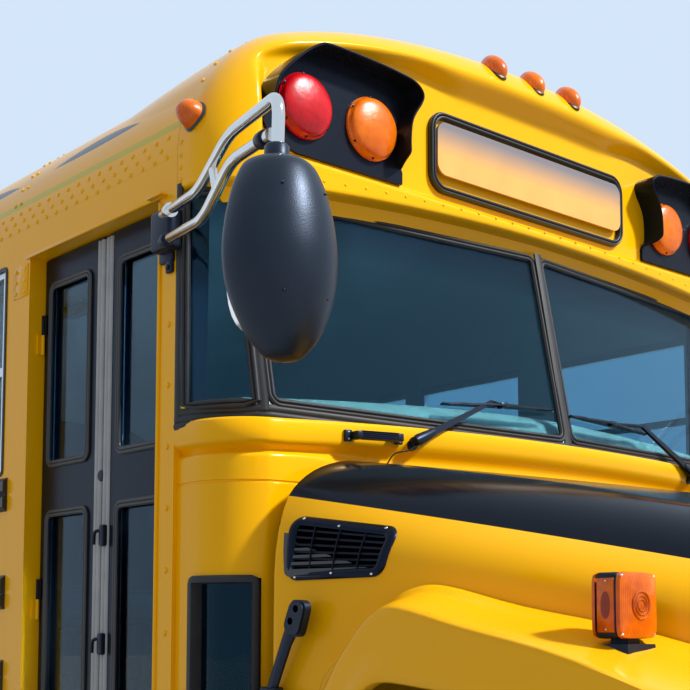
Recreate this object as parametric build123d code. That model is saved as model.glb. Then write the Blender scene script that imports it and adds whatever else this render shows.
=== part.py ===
from build123d import *
import math
import os

os.makedirs("parts", exist_ok=True)

# Lengths along the bus, from the front bumper's face to the rear bumper's face, in millimetres
BUMPER_TO_LAMPS = 2000
LAMPS_TO_WINDOWS = 1050
WINDOW_PITCH = 711
WINDOW_COUNT = 11
WINDOWS_TO_BACK = 169
BUMPER_DEPTH = 75
BUMPER_GAP = 25
BUMPER_TO_AXLE = 900
WHEELBASE = 6930

# Heights above the road
FLOOR_TOP = 1070
SKIRT_BOTTOM = 620
BELT = 1200
WINDOW_SILL = 1834
WINDOW_HEAD = 2485
EAVES = 2580
COWL_TOP = 1880
COWL_NOSE = 150

# Body shell
BODY_WIDTH = 2438
WALL = 40
ROOF_CORNER_R = 345
ROOF_CROWN_R = 3700
SEAM = 0.3
SEAT = 0.3
RUNNING_GAP = 6

# Wheels and axles
TYRE_DIAMETER = 1040
TYRE_WIDTH = 280
RIM_DIAMETER = 572
FRONT_TRACK = 2050
REAR_TRACK = 1800
TWIN_SPACING = 335
KINGPIN_INSET = 150
ARCH_RADIUS = 600

# Frame
RAIL_HEIGHT = 250
RAIL_WIDTH = 80
RAIL_SPACING = 860
RAIL_TOP = 930

# Entry door, measured back from the lamp plane
POST_FRONT = 135
POST_WIDTH = 78
DOOR_WIDTH = 722
DOOR_BOTTOM = 420
DOOR_HEAD = 2485
LEAF_THICKNESS = 40
DOOR_RECESS = 52
JAMB = 24

# Places worked out from the sizes above; the front of the bus looks along -Y
BODY_LENGTH = BUMPER_TO_LAMPS + LAMPS_TO_WINDOWS + WINDOW_COUNT * WINDOW_PITCH + WINDOWS_TO_BACK
LENGTH = BODY_LENGTH + BUMPER_DEPTH + BUMPER_GAP
FRONT = -LENGTH / 2
BACK = LENGTH / 2
LAMP_Y = FRONT + BUMPER_TO_LAMPS
SEAM_Y = LAMP_Y + POST_FRONT
cowl_y = LAMP_Y - COWL_NOSE
WINDOWS_Y = LAMP_Y + LAMPS_TO_WINDOWS
WINDOWS_END = WINDOWS_Y + WINDOW_COUNT * WINDOW_PITCH
REAR_FACE = WINDOWS_END + WINDOWS_TO_BACK
FRONT_AXLE = FRONT + BUMPER_TO_AXLE
REAR_AXLE = FRONT_AXLE + WHEELBASE
AXLE_Z = TYRE_DIAMETER / 2
HALF = BODY_WIDTH / 2
INNER = HALF - WALL
DOOR_Y = SEAM_Y + POST_WIDTH
DOOR_END = DOOR_Y + DOOR_WIDTH
LEAF_FACE = -HALF + DOOR_RECESS
JAMB_IN = LEAF_FACE + LEAF_THICKNESS + RUNNING_GAP

# Hinges of the entry leaves and of the rear exit: small barrels outside the skin
BARREL_R = 5.5
BARREL_OUT = 6
KNUCKLE_LENGTH = 60
HINGE_STRAP = 17


def box(x0, x1, y0, y1, z0, z1):
    """Block between two corners"""
    centre = Pos((x0 + x1) / 2, (y0 + y1) / 2, (z0 + z1) / 2)
    return centre * Box(abs(x1 - x0), abs(y1 - y0), abs(z1 - z0))


def face(*edges):
    return Face(Wire(list(edges)))


def prism_x(x0, x1, *points, radius=0):
    """Outline of (y, z) points run across the bus"""
    x0, x1 = sorted((x0, x1))
    path = [(x0, y, z) for y, z in points]
    line = FilletPolyline(*path, radius=radius, close=True) if radius else Polyline(*path, close=True)
    return extrude(Face(line), amount=x1 - x0, dir=(1, 0, 0))


def prism_y(y0, y1, *points, radius=0):
    """Outline of (x, z) points run along the bus"""
    y0, y1 = sorted((y0, y1))
    path = [(x, y0, z) for x, z in points]
    line = FilletPolyline(*path, radius=radius, close=True) if radius else Polyline(*path, close=True)
    return extrude(Face(line), amount=y1 - y0, dir=(0, 1, 0))


def prism_z(z0, z1, *points, radius=0):
    """Outline of (x, y) points run upwards"""
    path = [(x, y, z0) for x, y in points]
    line = FilletPolyline(*path, radius=radius, close=True) if radius else Polyline(*path, close=True)
    return extrude(Face(line), amount=z1 - z0, dir=(0, 0, 1))


def rod(start, end, radius):
    """Round bar between two points"""
    a = Vector(*start)
    along = Vector(*end) - a
    return Solid.make_cylinder(radius, along.length, Plane(origin=a, z_dir=along))


def pipe(points, radius, bend):
    """Bent tube along straight runs joined by arcs"""
    path = FilletPolyline(*points, radius=bend)
    start = Plane(origin=path @ 0, z_dir=path % 0)
    return sweep(start * Circle(radius), path=path)


def from_lamps(point):
    """Point whose y is measured back from the lamp plane"""
    return (point[0], LAMP_Y + point[1], point[2])


def mirrored(shape):
    return mirror(shape, about=Plane.YZ)


def both(shape):
    """A solid and its mirror image on the other side of the bus"""
    return [shape, mirrored(shape)]


def write(name, *shapes):
    """One STEP file for one piece, with all of its solids"""
    solids = []
    for shape in shapes:
        group = shape if isinstance(shape, (list, tuple, ShapeList)) else [shape]
        for item in group:
            solids += item.solids()
    part = solids[0] if len(solids) == 1 else Compound(solids)
    part.label = name
    export_step(part, f"parts/{name}.step")


def barrel_hinge(axis, frame_way, door_way, strap, plates, heights):
    """Two sets of hinge knuckles on an upright axis, the frame's below and the door's on top of it;
    frame_way and door_way are unit steps along the wall, and plates is where each strap meets its face"""
    x, y = axis
    frame_side, door_side = [], []
    for z in heights:
        lower = rod((x, y, z - KNUCKLE_LENGTH), (x, y, z - SEAT / 2), BARREL_R)
        upper = rod((x, y, z + SEAT / 2), (x, y, z + KNUCKLE_LENGTH), BARREL_R)
        for knuckle, way, plate, low, high, out in (
                (lower, frame_way, plates[0], z - KNUCKLE_LENGTH, z - SEAT / 2, frame_side),
                (upper, door_way, plates[1], z + SEAT / 2, z + KNUCKLE_LENGTH, door_side)):
            ax, ay = x + way[0] * SEAT, y + way[1] * SEAT
            bx, by = x + way[0] * strap, y + way[1] * strap
            if way[0]:
                knuckle += box(ax, bx, y, plate, low, high)
            else:
                knuckle += box(x, plate, ay, by, low, high)
            out.append(knuckle)
    return frame_side, door_side


# Cross-section of the roof: upright sides, tight corners and a shallow crown
CORNER_X = HALF - ROOF_CORNER_R
CROWN_Z = EAVES - math.sqrt((ROOF_CROWN_R - ROOF_CORNER_R) ** 2 - CORNER_X ** 2)
CROWN_TOP = CROWN_Z + ROOF_CROWN_R
CORNER_ANGLE = math.atan2(EAVES - CROWN_Z, CORNER_X)


def body_section(y, inset, base):
    """Face across the body at y, inset from the skin, from height base up to the crown"""
    half = HALF - inset
    r = ROOF_CORNER_R - inset

    def corner(angle, side):
        return (side * (CORNER_X + r * math.cos(angle)), y, EAVES + r * math.sin(angle))

    edges = [Line((half, y, base), (half, y, EAVES))] if base < EAVES else []
    edges.append(ThreePointArc(corner(0, 1), corner(CORNER_ANGLE / 2, 1), corner(CORNER_ANGLE, 1)))
    edges.append(ThreePointArc(corner(CORNER_ANGLE, 1), (0, y, CROWN_TOP - inset), corner(CORNER_ANGLE, -1)))
    edges.append(ThreePointArc(corner(CORNER_ANGLE, -1), corner(CORNER_ANGLE / 2, -1), corner(0, -1)))
    if base < EAVES:
        edges.append(Line((-half, y, EAVES), (-half, y, base)))
    edges.append(Line((-half, y, base), (half, y, base)))
    return face(*edges)


def along(section, length):
    return extrude(section, amount=length, dir=(0, 1, 0))


# Plan outline of the front of the body, shared by the cowl, the windshield and the cap:
# straight sides, tight corners and a slightly bowed front, given by how far the bow reaches
BOW = 34
CORNER_IN = 118
CORNER_REACH = 165


def plan(z, inset, nose, back, reach=CORNER_REACH):
    """Face at height z; nose is the front-most y on the centreline and back is the rear edge"""
    half = HALF - inset
    front = nose + inset
    shoulder = (HALF - CORNER_IN - inset * 0.5, front + BOW)
    start = (half, front + BOW + reach - inset)
    middle = (half - CORNER_IN * 0.30, front + BOW + reach * 0.34)
    edges = [
        Line((half, back, z), (half, start[1], z)),
        ThreePointArc((half, start[1], z), (middle[0], middle[1], z), (shoulder[0], shoulder[1], z)),
        ThreePointArc((shoulder[0], shoulder[1], z), (0, front, z), (-shoulder[0], shoulder[1], z)),
        ThreePointArc((-shoulder[0], shoulder[1], z), (-middle[0], middle[1], z), (-half, start[1], z)),
        Line((-half, start[1], z), (-half, back, z)),
        Line((-half, back, z), (half, back, z)),
    ]
    return face(*edges)


# Ladder frame: two rails and their crossmembers
RAIL_X = RAIL_SPACING / 2
RAIL_FRONT = FRONT + BUMPER_DEPTH + 5
RAIL_BACK = REAR_FACE - WALL - 5
HORN_TOP = RAIL_TOP - 145
CROSSMEMBERS = 7
MEMBER_LOW = RAIL_TOP - 100
FLANGE = 9
rail_outline = [
    (RAIL_X - RAIL_WIDTH / 2, RAIL_TOP - RAIL_HEIGHT), (RAIL_X + RAIL_WIDTH / 2, RAIL_TOP - RAIL_HEIGHT),
    (RAIL_X + RAIL_WIDTH / 2, RAIL_TOP), (RAIL_X - RAIL_WIDTH / 2, RAIL_TOP),
    (RAIL_X - RAIL_WIDTH / 2, RAIL_TOP - FLANGE), (RAIL_X + RAIL_WIDTH / 2 - FLANGE, RAIL_TOP - FLANGE),
    (RAIL_X + RAIL_WIDTH / 2 - FLANGE, RAIL_TOP - RAIL_HEIGHT + FLANGE),
    (RAIL_X - RAIL_WIDTH / 2, RAIL_TOP - RAIL_HEIGHT + FLANGE),
]
frame = Part() + both(prism_y(RAIL_FRONT, RAIL_BACK, *rail_outline))
MEMBER_START = SEAM_Y + 60
MEMBER_END = RAIL_BACK - 150
for i in range(CROSSMEMBERS):
    y = MEMBER_START + i * (MEMBER_END - MEMBER_START) / (CROSSMEMBERS - 1)
    inner = RAIL_X + RAIL_WIDTH / 2 - FLANGE
    frame += box(-inner, inner, y - 40, y + 40, MEMBER_LOW, RAIL_TOP - 5)
front_member = box(-RAIL_X, RAIL_X, RAIL_FRONT + 10, RAIL_FRONT + 70, RAIL_TOP - RAIL_HEIGHT + 9, HORN_TOP - 5)
frame += front_member
frame -= prism_x(-RAIL_X - RAIL_WIDTH, RAIL_X + RAIL_WIDTH, (RAIL_FRONT - 1, HORN_TOP),
                 (RAIL_FRONT + 250, HORN_TOP), (RAIL_FRONT + 400, RAIL_TOP + 1), (RAIL_FRONT - 1, RAIL_TOP + 1))
HOOD_FRONT = FRONT + BUMPER_DEPTH + 55
HINGE_INSET = 20
HINGE_Z = RAIL_TOP - 100
HINGE_PIN_R = 12
LUG_WIDTH = 36
EAR_WIDTH = 24
EAR_R = 34
hood_axis_y = HOOD_FRONT + HINGE_INSET
for side in (-1, 1):
    frame += box(side * (RAIL_X - RAIL_WIDTH / 2), side * (RAIL_X + RAIL_WIDTH / 2), RAIL_FRONT, RAIL_FRONT + 250,
                 HORN_TOP - FLANGE, HORN_TOP)
    lug_0, lug_1 = side * RAIL_X - LUG_WIDTH / 2, side * RAIL_X + LUG_WIDTH / 2
    frame += box(lug_0, lug_1, hood_axis_y - EAR_R + 8, hood_axis_y + EAR_R - 8, HORN_TOP - 1, HINGE_Z)
    frame += rod((lug_0, hood_axis_y, HINGE_Z), (lug_1, hood_axis_y, HINGE_Z), EAR_R - 8)
    frame += rod((lug_0 - EAR_WIDTH, hood_axis_y, HINGE_Z), (lug_1 + EAR_WIDTH, hood_axis_y, HINGE_Z), HINGE_PIN_R)
write("frame_rails", frame)

# Engine as one plain block between the rails, and the radiator ahead of it
ENGINE_WIDTH = 640
ENGINE_LENGTH = 1100
ENGINE_BOTTOM = 600
ENGINE_HEIGHT = 820
RADIATOR_WIDTH = 760
RADIATOR_DEPTH = 90
RADIATOR_TOP = 1300
engine_y = FRONT_AXLE - 300
engine = box(-ENGINE_WIDTH / 2, ENGINE_WIDTH / 2, engine_y, engine_y + ENGINE_LENGTH, ENGINE_BOTTOM,
             ENGINE_BOTTOM + ENGINE_HEIGHT)
mount_z = RAIL_TOP - 130
engine += box(-RAIL_X + 1, RAIL_X - 1, engine_y + 300, engine_y + 420, mount_z, mount_z + 60)
radiator_y = FRONT + BUMPER_DEPTH + BUMPER_GAP + 150
radiator_low = HORN_TOP + SEAT
radiator = box(-RADIATOR_WIDTH / 2, RADIATOR_WIDTH / 2, radiator_y, radiator_y + RADIATOR_DEPTH,
               radiator_low, RADIATOR_TOP)
radiator += box(-RAIL_X, RAIL_X, radiator_y, radiator_y + RADIATOR_DEPTH, radiator_low, radiator_low + 40)
write("engine_block", engine, radiator)

# Bumpers: deep steel channels with swept-back ends, each on two horns bolted to the rails
BUMPER_HEIGHT = 300
BUMPER_BOTTOM = 480
BUMPER_SWEEP = 110
REAR_SWEEP = 40
BUMPER_STEEL = 8
EYE_R = 22
EYE_OUTER = 40
EYE_THICK = 30
EYE_SETBACK = 45
EYE_Z = BUMPER_BOTTOM - 42


def bumper(face_y, inward):
    """Channel bent round at both ends; inward is +1 for the front bumper and -1 for the rear one"""
    depth = BUMPER_DEPTH * inward
    sweep_y = (BUMPER_SWEEP if inward > 0 else REAR_SWEEP) * inward
    skin = BUMPER_STEEL * inward
    outline = [
        (-HALF, face_y + sweep_y), (-HALF + 260, face_y), (HALF - 260, face_y), (HALF, face_y + sweep_y),
        (HALF, face_y + sweep_y + depth * 0.6), (HALF - 260, face_y + depth),
        (-HALF + 260, face_y + depth), (-HALF, face_y + sweep_y + depth * 0.6),
    ]
    hollow = [
        (-HALF + 10, face_y + sweep_y + skin), (-HALF + 260, face_y + skin), (HALF - 260, face_y + skin),
        (HALF - 10, face_y + sweep_y + skin), (HALF - 10, face_y + 4 * depth), (-HALF + 10, face_y + 4 * depth),
    ]
    solid = prism_z(BUMPER_BOTTOM, BUMPER_BOTTOM + BUMPER_HEIGHT, *outline)
    solid -= prism_z(BUMPER_BOTTOM + BUMPER_STEEL, BUMPER_BOTTOM + BUMPER_HEIGHT - BUMPER_STEEL, *hollow)
    horn_end = RAIL_FRONT - SEAT if inward > 0 else RAIL_BACK + SEAT
    for side in (-1, 1):
        x = side * RAIL_X
        solid += box(x - 35, x + 35, face_y + skin / 2, horn_end, RAIL_TOP - RAIL_HEIGHT + 10,
                     BUMPER_BOTTOM + BUMPER_HEIGHT - BUMPER_STEEL)
        eye_y = face_y + EYE_SETBACK * inward
        eye_x0, eye_x1 = x - EYE_THICK / 2, x + EYE_THICK / 2
        solid += box(eye_x0, eye_x1, eye_y - EYE_OUTER, eye_y + EYE_OUTER, EYE_Z, BUMPER_BOTTOM + BUMPER_STEEL / 2)
        solid += rod((eye_x0, eye_y, EYE_Z), (eye_x1, eye_y, EYE_Z), EYE_OUTER)
        solid -= rod((eye_x0 - 1, eye_y, EYE_Z), (eye_x1 + 1, eye_y, EYE_Z), EYE_R)
    return solid


write("bumpers", bumper(FRONT, 1), bumper(BACK, -1))

# Wheels: the profile of a tyre and of a disc wheel, turned about the axle
BEAD_R = RIM_DIAMETER / 2
TREAD_R = TYRE_DIAMETER / 2
RIM_WIDTH = 210
TYRE_STEP = 0.3
DISC_SKIN = 12
HUB_R = 70
HUB_INNER = 120
FRONT_DISH = 140
HAND_HOLES = 8
HAND_HOLE_R = 24
HAND_HOLE_AT = 222


def turn_x(points, centre, radius=0):
    """Solid of revolution about the axle line; points are (distance along X, radius)"""
    cx, cy, cz = centre
    path = [(cx + a, cy, cz + b) for a, b in points]
    line = FilletPolyline(*path, radius=radius, close=True) if radius else Polyline(*path, close=True)
    return revolve(Face(line), axis=Axis((cx, cy, cz), (1, 0, 0)))


def tyre(x, y):
    half = TYRE_WIDTH / 2
    outline = [
        (-RIM_WIDTH / 2 + 12, BEAD_R + TYRE_STEP), (RIM_WIDTH / 2 - 12, BEAD_R + TYRE_STEP),
        (RIM_WIDTH / 2 - 12, BEAD_R + 24), (half, (BEAD_R + TREAD_R) / 2), (half - 22, TREAD_R),
        (-half + 22, TREAD_R), (-half, (BEAD_R + TREAD_R) / 2), (-RIM_WIDTH / 2 + 12, BEAD_R + 24),
    ]
    return turn_x(outline, (x, y, AXLE_Z), radius=8)


def disc_wheel(x, y, side, dish):
    """Rim well, dished disc with hand holes and hub flange; dish is how far the disc stands outboard"""
    w = RIM_WIDTH / 2
    well = [
        (-w, BEAD_R - 4), (-w, BEAD_R + 14), (-w + 10, BEAD_R + 14), (-w + 10, BEAD_R), (w - 10, BEAD_R),
        (w - 10, BEAD_R + 14), (w, BEAD_R + 14), (w, BEAD_R - 4), (w - 60, BEAD_R - 26), (-w + 60, BEAD_R - 26),
    ]
    d = side * dish
    foot = math.copysign(w - 30, d)
    skin = side * DISC_SKIN
    disc = [
        (d, HUB_R - 10), (d, 190), (foot, BEAD_R - 8), (foot - skin, BEAD_R - 8), (d - skin, 186),
        (d - skin, HUB_R - 10),
    ]
    wheel = turn_x(well, (x, y, AXLE_Z)) + turn_x(disc, (x, y, AXLE_Z))
    for i in range(HAND_HOLES):
        angle = math.radians(22.5 + 360 / HAND_HOLES * i)
        hole_y = y + HAND_HOLE_AT * math.cos(angle)
        hole_z = AXLE_Z + HAND_HOLE_AT * math.sin(angle)
        wheel -= rod((x + min(d, foot) - 30, hole_y, hole_z), (x + max(d, foot) + 30, hole_y, hole_z), HAND_HOLE_R)
    return wheel


def hub(x, y, side, reach):
    """Hub drum from the knuckle or axle end out through the disc"""
    outline = [(0, 0), (0, HUB_R), (side * (reach - 60), HUB_R), (side * reach, 50), (side * reach, 0)]
    return turn_x(outline, (x, y, AXLE_Z))


FRONT_WHEEL_X = FRONT_TRACK / 2
REAR_WHEEL_X = REAR_TRACK / 2
SIDES = [("left", 1), ("right", -1)]
HUB_FACE = 40
for side_name, side in SIDES:
    x = side * FRONT_WHEEL_X
    wheel = disc_wheel(x, FRONT_AXLE, side, FRONT_DISH)
    wheel += hub(x - side * HUB_FACE, FRONT_AXLE, side, HUB_FACE + FRONT_DISH + 45)
    flange_out = side * (FRONT_DISH - DISC_SKIN + 1)
    flange_in = side * (FRONT_DISH - DISC_SKIN - 22)
    flange = [(flange_in, HUB_R - 10), (flange_in, 165), (flange_out, 165), (flange_out, HUB_R - 10)]
    wheel += turn_x(flange, (x, FRONT_AXLE, AXLE_Z))
    write(f"rim_front_{side_name}", wheel)
    write(f"tyre_front_{side_name}", tyre(x, FRONT_AXLE))

    inner_x = side * (REAR_WHEEL_X - TWIN_SPACING / 2)
    outer_x = side * (REAR_WHEEL_X + TWIN_SPACING / 2)
    mid_x = side * REAR_WHEEL_X
    twin = disc_wheel(outer_x, REAR_AXLE, side, DISC_SKIN - TWIN_SPACING / 2)
    twin += disc_wheel(inner_x, REAR_AXLE, side, TWIN_SPACING / 2)
    twin += hub(mid_x - side * HUB_INNER, REAR_AXLE, side, HUB_INNER + 180)
    drum = turn_x([(side * -60, 60), (side * -60, 175), (side * 1, 175), (side * 1, 60)], (mid_x, REAR_AXLE, AXLE_Z))
    write(f"rims_rear_{side_name}", twin + drum)
    write(f"tyres_rear_{side_name}", tyre(inner_x, REAR_AXLE), tyre(outer_x, REAR_AXLE))

# Front axle: dropped beam with leaf springs, and a steering knuckle on a kingpin at each end
KINGPIN_X = FRONT_WHEEL_X - KINGPIN_INSET
BEAM_WIDTH = 100
BEAM_DEPTH = 90
BEAM_DROP = 60
SPRING_WIDTH = 80
SPRING_LENGTH = 1300
SPRING_RISE = 110
KINGPIN_R = 24
EYE_HEIGHT = 70
BEAM_EYE_R = 50
YOKE_HALF = 50
YOKE_TAIL = 38
YOKE_REACH = 60
YOKE_PLATE = 25
YOKE_ARM = 34


def leaf_spring(x, axle_y, seat_z, length, eye_z):
    """Bowed pack of leaves that rests on the axle and hangs from the rail at both ends"""
    start = (x - SPRING_WIDTH / 2, axle_y - length / 2, eye_z)
    middle = (x - SPRING_WIDTH / 2, axle_y, seat_z)
    end = (x - SPRING_WIDTH / 2, axle_y + length / 2, eye_z)
    thick = 26

    def up(p, dz):
        return (p[0], p[1], p[2] + dz)

    outline = face(
        ThreePointArc(start, middle, end), Line(end, up(end, thick)),
        ThreePointArc(up(end, thick), up(middle, 2 * thick), up(start, thick)), Line(up(start, thick), start),
    )
    spring = extrude(outline, amount=SPRING_WIDTH, dir=(1, 0, 0))
    hanger_top = RAIL_TOP - RAIL_HEIGHT - SEAT
    for y in (start[1], end[1]):
        spring += box(x - SPRING_WIDTH / 2, x + SPRING_WIDTH / 2, y - 30, y + 30, eye_z, hanger_top)
    return spring


beam_low = AXLE_Z - BEAM_DROP
knuckle_gap = 6
beam_end = KINGPIN_X
beam = prism_y(FRONT_AXLE - BEAM_WIDTH / 2, FRONT_AXLE + BEAM_WIDTH / 2,
               (-beam_end, AXLE_Z + EYE_HEIGHT), (-beam_end, AXLE_Z - EYE_HEIGHT),
               (-beam_end + YOKE_REACH, AXLE_Z - EYE_HEIGHT),
               (-RAIL_X - 80, beam_low - BEAM_DEPTH), (RAIL_X + 80, beam_low - BEAM_DEPTH),
               (beam_end - YOKE_REACH, AXLE_Z - EYE_HEIGHT), (beam_end, AXLE_Z - EYE_HEIGHT),
               (beam_end, AXLE_Z + EYE_HEIGHT), (beam_end - 40, AXLE_Z + EYE_HEIGHT),
               (RAIL_X + 80, beam_low), (-RAIL_X - 80, beam_low), (-beam_end + 40, AXLE_Z + EYE_HEIGHT))
for side in (-1, 1):
    pin_x = side * KINGPIN_X
    beam += rod((pin_x, FRONT_AXLE, AXLE_Z - EYE_HEIGHT), (pin_x, FRONT_AXLE, AXLE_Z + EYE_HEIGHT), BEAM_EYE_R)
    beam -= rod((pin_x, FRONT_AXLE, AXLE_Z - 200), (pin_x, FRONT_AXLE, AXLE_Z + 200), KINGPIN_R + SEAT)
front_springs = [leaf_spring(side * RAIL_X, FRONT_AXLE, beam_low, SPRING_LENGTH, beam_low + 90)
                 for side in (-1, 1)]
front_axle = beam + front_springs

for side_name, side in SIDES:
    x = side * KINGPIN_X
    top = AXLE_Z + EYE_HEIGHT + knuckle_gap
    bottom = AXLE_Z - EYE_HEIGHT - knuckle_gap
    knuckle = rod((x, FRONT_AXLE, bottom - 30), (x, FRONT_AXLE, top + 30), KINGPIN_R)
    yoke_x = x + side * YOKE_REACH
    tail_x, outer_x = x - side * YOKE_TAIL, yoke_x + side * YOKE_PLATE
    y0, y1 = FRONT_AXLE - YOKE_HALF, FRONT_AXLE + YOKE_HALF
    knuckle += box(tail_x, outer_x, y0, y1, top, top + YOKE_ARM)
    knuckle += box(tail_x, outer_x, y0, y1, bottom - YOKE_ARM, bottom)
    knuckle += box(yoke_x, outer_x, y0, y1, bottom - YOKE_ARM, top + YOKE_ARM)
    spindle_end = side * (FRONT_WHEEL_X - HUB_FACE - SEAT)
    knuckle += rod((yoke_x + side * 10, FRONT_AXLE, AXLE_Z), (spindle_end, FRONT_AXLE, AXLE_Z), 40)
    write(f"knuckle_{side_name}", knuckle)

# Rear axle: tube housing with its differential bowl, leaf springs and the driveshaft ahead of it
TUBE_R = 65
BOWL_R = 190
SHAFT_R = 50
housing_end = REAR_WHEEL_X - HUB_INNER - SEAT
housing = rod((-housing_end, REAR_AXLE, AXLE_Z), (housing_end, REAR_AXLE, AXLE_Z), TUBE_R)
housing += turn_x([(-130, 0), (-130, TUBE_R), (-70, BOWL_R), (70, BOWL_R), (130, TUBE_R), (130, 0)],
                  (0, REAR_AXLE, AXLE_Z))
rear_springs = [leaf_spring(side * RAIL_X, REAR_AXLE, AXLE_Z + TUBE_R - 5, 1500, AXLE_Z + TUBE_R + 50)
                for side in (-1, 1)]
write("axles", front_axle, housing + rear_springs)
shaft_front = (0, engine_y + ENGINE_LENGTH + 30, 700)
shaft_back = (0, REAR_AXLE - BOWL_R - 30, AXLE_Z)
shaft = rod(shaft_front, shaft_back, SHAFT_R)
joint_r = SHAFT_R + 15
shaft += rod((0, engine_y + ENGINE_LENGTH + SEAT, shaft_front[2]), (0, shaft_front[1] + 20, shaft_front[2]), joint_r)
shaft += rod((0, shaft_back[1] - 20, AXLE_Z), (0, REAR_AXLE - BOWL_R - SEAT, AXLE_Z), joint_r)
for member in (1, 3):
    y = MEMBER_START + member * (MEMBER_END - MEMBER_START) / (CROSSMEMBERS - 1)
    share = (y - shaft_front[1]) / (shaft_back[1] - shaft_front[1])
    z = shaft_front[2] + share * (shaft_back[2] - shaft_front[2])
    shaft += box(-90, 90, y - 30, y + 30, z - 70, MEMBER_LOW - SEAT)
write("driveshaft", shaft)

# Exhaust on the left of the frame and the fuel tank on the right
MUFFLER_R = 120
TAIL_R = 38
TAIL_X = RAIL_X + RAIL_WIDTH / 2 + 60
muffler_x = RAIL_X + RAIL_WIDTH / 2 + MUFFLER_R + 30
muffler_z = SKIRT_BOTTOM + 80
muffler_y = SEAM_Y + 1500
exhaust = rod((muffler_x, muffler_y, muffler_z), (muffler_x, muffler_y + 1100, muffler_z), MUFFLER_R)
exhaust += pipe([(muffler_x, muffler_y + 1050, muffler_z), (muffler_x, REAR_AXLE - 800, muffler_z),
                 (TAIL_X, REAR_AXLE - 600, 860), (TAIL_X, REAR_AXLE + 600, 860),
                 (muffler_x, REAR_AXLE + 900, muffler_z), (muffler_x, REAR_FACE + 20, muffler_z)], TAIL_R, 120)
exhaust += box(RAIL_X + RAIL_WIDTH / 2 + SEAT, muffler_x, muffler_y + 200, muffler_y + 240,
               muffler_z - 20, muffler_z + 40)
write("exhaust", exhaust)
TANK_LENGTH = 1300
TANK_HEIGHT = 355
tank_x = RAIL_X + RAIL_WIDTH / 2 + SEAT
tank = prism_x(-tank_x - 560, -tank_x, (SEAM_Y + 2200, 560), (SEAM_Y + 2200 + TANK_LENGTH, 560),
               (SEAM_Y + 2200 + TANK_LENGTH, 560 + TANK_HEIGHT), (SEAM_Y + 2200, 560 + TANK_HEIGHT), radius=70)
write("fuel_tank", tank)

# Floor on its sills, with a box over each pair of rear wheels and a notch for the stepwell
SILL_PITCH = 1000
WHEEL_BOX_TOP = FLOOR_TOP + 140
WHEEL_BOX_IN = 560
WHEEL_BOX_LENGTH = 1240
STEP_IN = 620
STEP_Y = DOOR_Y
STEP_END = DOOR_END
STEP_OUT = -JAMB_IN
floor_front = LAMP_Y - 60
floor_low = FLOOR_TOP - WALL
floor = box(-INNER + SEAM, INNER - SEAM, floor_front, REAR_FACE - WALL - SEAM, floor_low, FLOOR_TOP)
floor -= box(-INNER, -STEP_OUT + STEP_IN, STEP_Y, STEP_END, floor_low - 1, FLOOR_TOP + 1)
floor -= box(-INNER, JAMB_IN + SEAM, STEP_Y - JAMB - SEAM, STEP_END + JAMB + SEAM, floor_low - 1, FLOOR_TOP + 1)
for side in (-1, 1):
    outer = box(side * WHEEL_BOX_IN, side * (INNER - SEAM), REAR_AXLE - WHEEL_BOX_LENGTH / 2 - WALL,
                REAR_AXLE + WHEEL_BOX_LENGTH / 2 + WALL, FLOOR_TOP - 1, WHEEL_BOX_TOP)
    hollow = box(side * (WHEEL_BOX_IN + WALL), side * INNER, REAR_AXLE - WHEEL_BOX_LENGTH / 2,
                 REAR_AXLE + WHEEL_BOX_LENGTH / 2, floor_low - 1, WHEEL_BOX_TOP - WALL / 2)
    floor += outer
    floor -= hollow
nose_floor = box(-HALF, HALF, floor_front - 1, SEAM_Y, floor_low - 1, FLOOR_TOP + 1)
nose_floor -= extrude(plan(floor_low - 2, WALL + SEAM, cowl_y, SEAM_Y + 1), amount=WALL + 4, dir=(0, 0, 1))
floor -= nose_floor
sill_count = int((REAR_FACE - SEAM_Y - 1400) / SILL_PITCH)
for i in range(sill_count):
    y = SEAM_Y + 1250 + i * SILL_PITCH
    if abs(y - REAR_AXLE) > WHEEL_BOX_LENGTH / 2 + 80:
        floor += box(-INNER + SEAM, INNER - SEAM, y - 25, y + 25, RAIL_TOP + SEAT, floor_low)
write("floor", floor)

# Stepwell: three treads down to the entry door
STEPS = 3
STEP_SKIN = 25
step_low = DOOR_BOTTOM - 20
riser = (FLOOR_TOP - step_low) / STEPS
going = STEP_IN / STEPS
treads = []
for i in range(STEPS):
    treads += [(-STEP_OUT + going * i, step_low + riser * i), (-STEP_OUT + going * (i + 1), step_low + riser * i)]
step_top = floor_low - SEAT
last_riser = -STEP_OUT + STEP_IN + STEP_SKIN
under = [(-STEP_OUT + STEP_IN, step_top), (last_riser, step_top), (last_riser, step_low + 2 * riser - 120),
         (-STEP_OUT + going, step_low - STEP_SKIN), (-STEP_OUT, step_low - STEP_SKIN)]
stepwell = prism_y(STEP_Y + SEAM, STEP_END - SEAM, *(treads + under))
cheek = [(-STEP_OUT, step_top)] + under[1:]
stepwell += prism_y(STEP_Y + SEAM, STEP_Y + SEAM + STEP_SKIN, *cheek)
stepwell += prism_y(STEP_END - SEAM - STEP_SKIN, STEP_END - SEAM, *cheek)
write("stepwell", stepwell)

# Side walls above the belt: one panel a side, with a window cut in each module
PILLAR = 71
WINDOW_WIDTH = WINDOW_PITCH - PILLAR


def side_wall(side, front):
    inner, outer = side * INNER, side * HALF
    wall = box(inner, outer, front, WINDOWS_END - SEAM, BELT + SEAM, EAVES - SEAM)
    for i in range(WINDOW_COUNT):
        y = WINDOWS_Y + i * WINDOW_PITCH + PILLAR / 2
        wall -= box(inner - side, outer + side, y, y + WINDOW_WIDTH, WINDOW_SILL, WINDOW_HEAD)
    return wall


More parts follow.
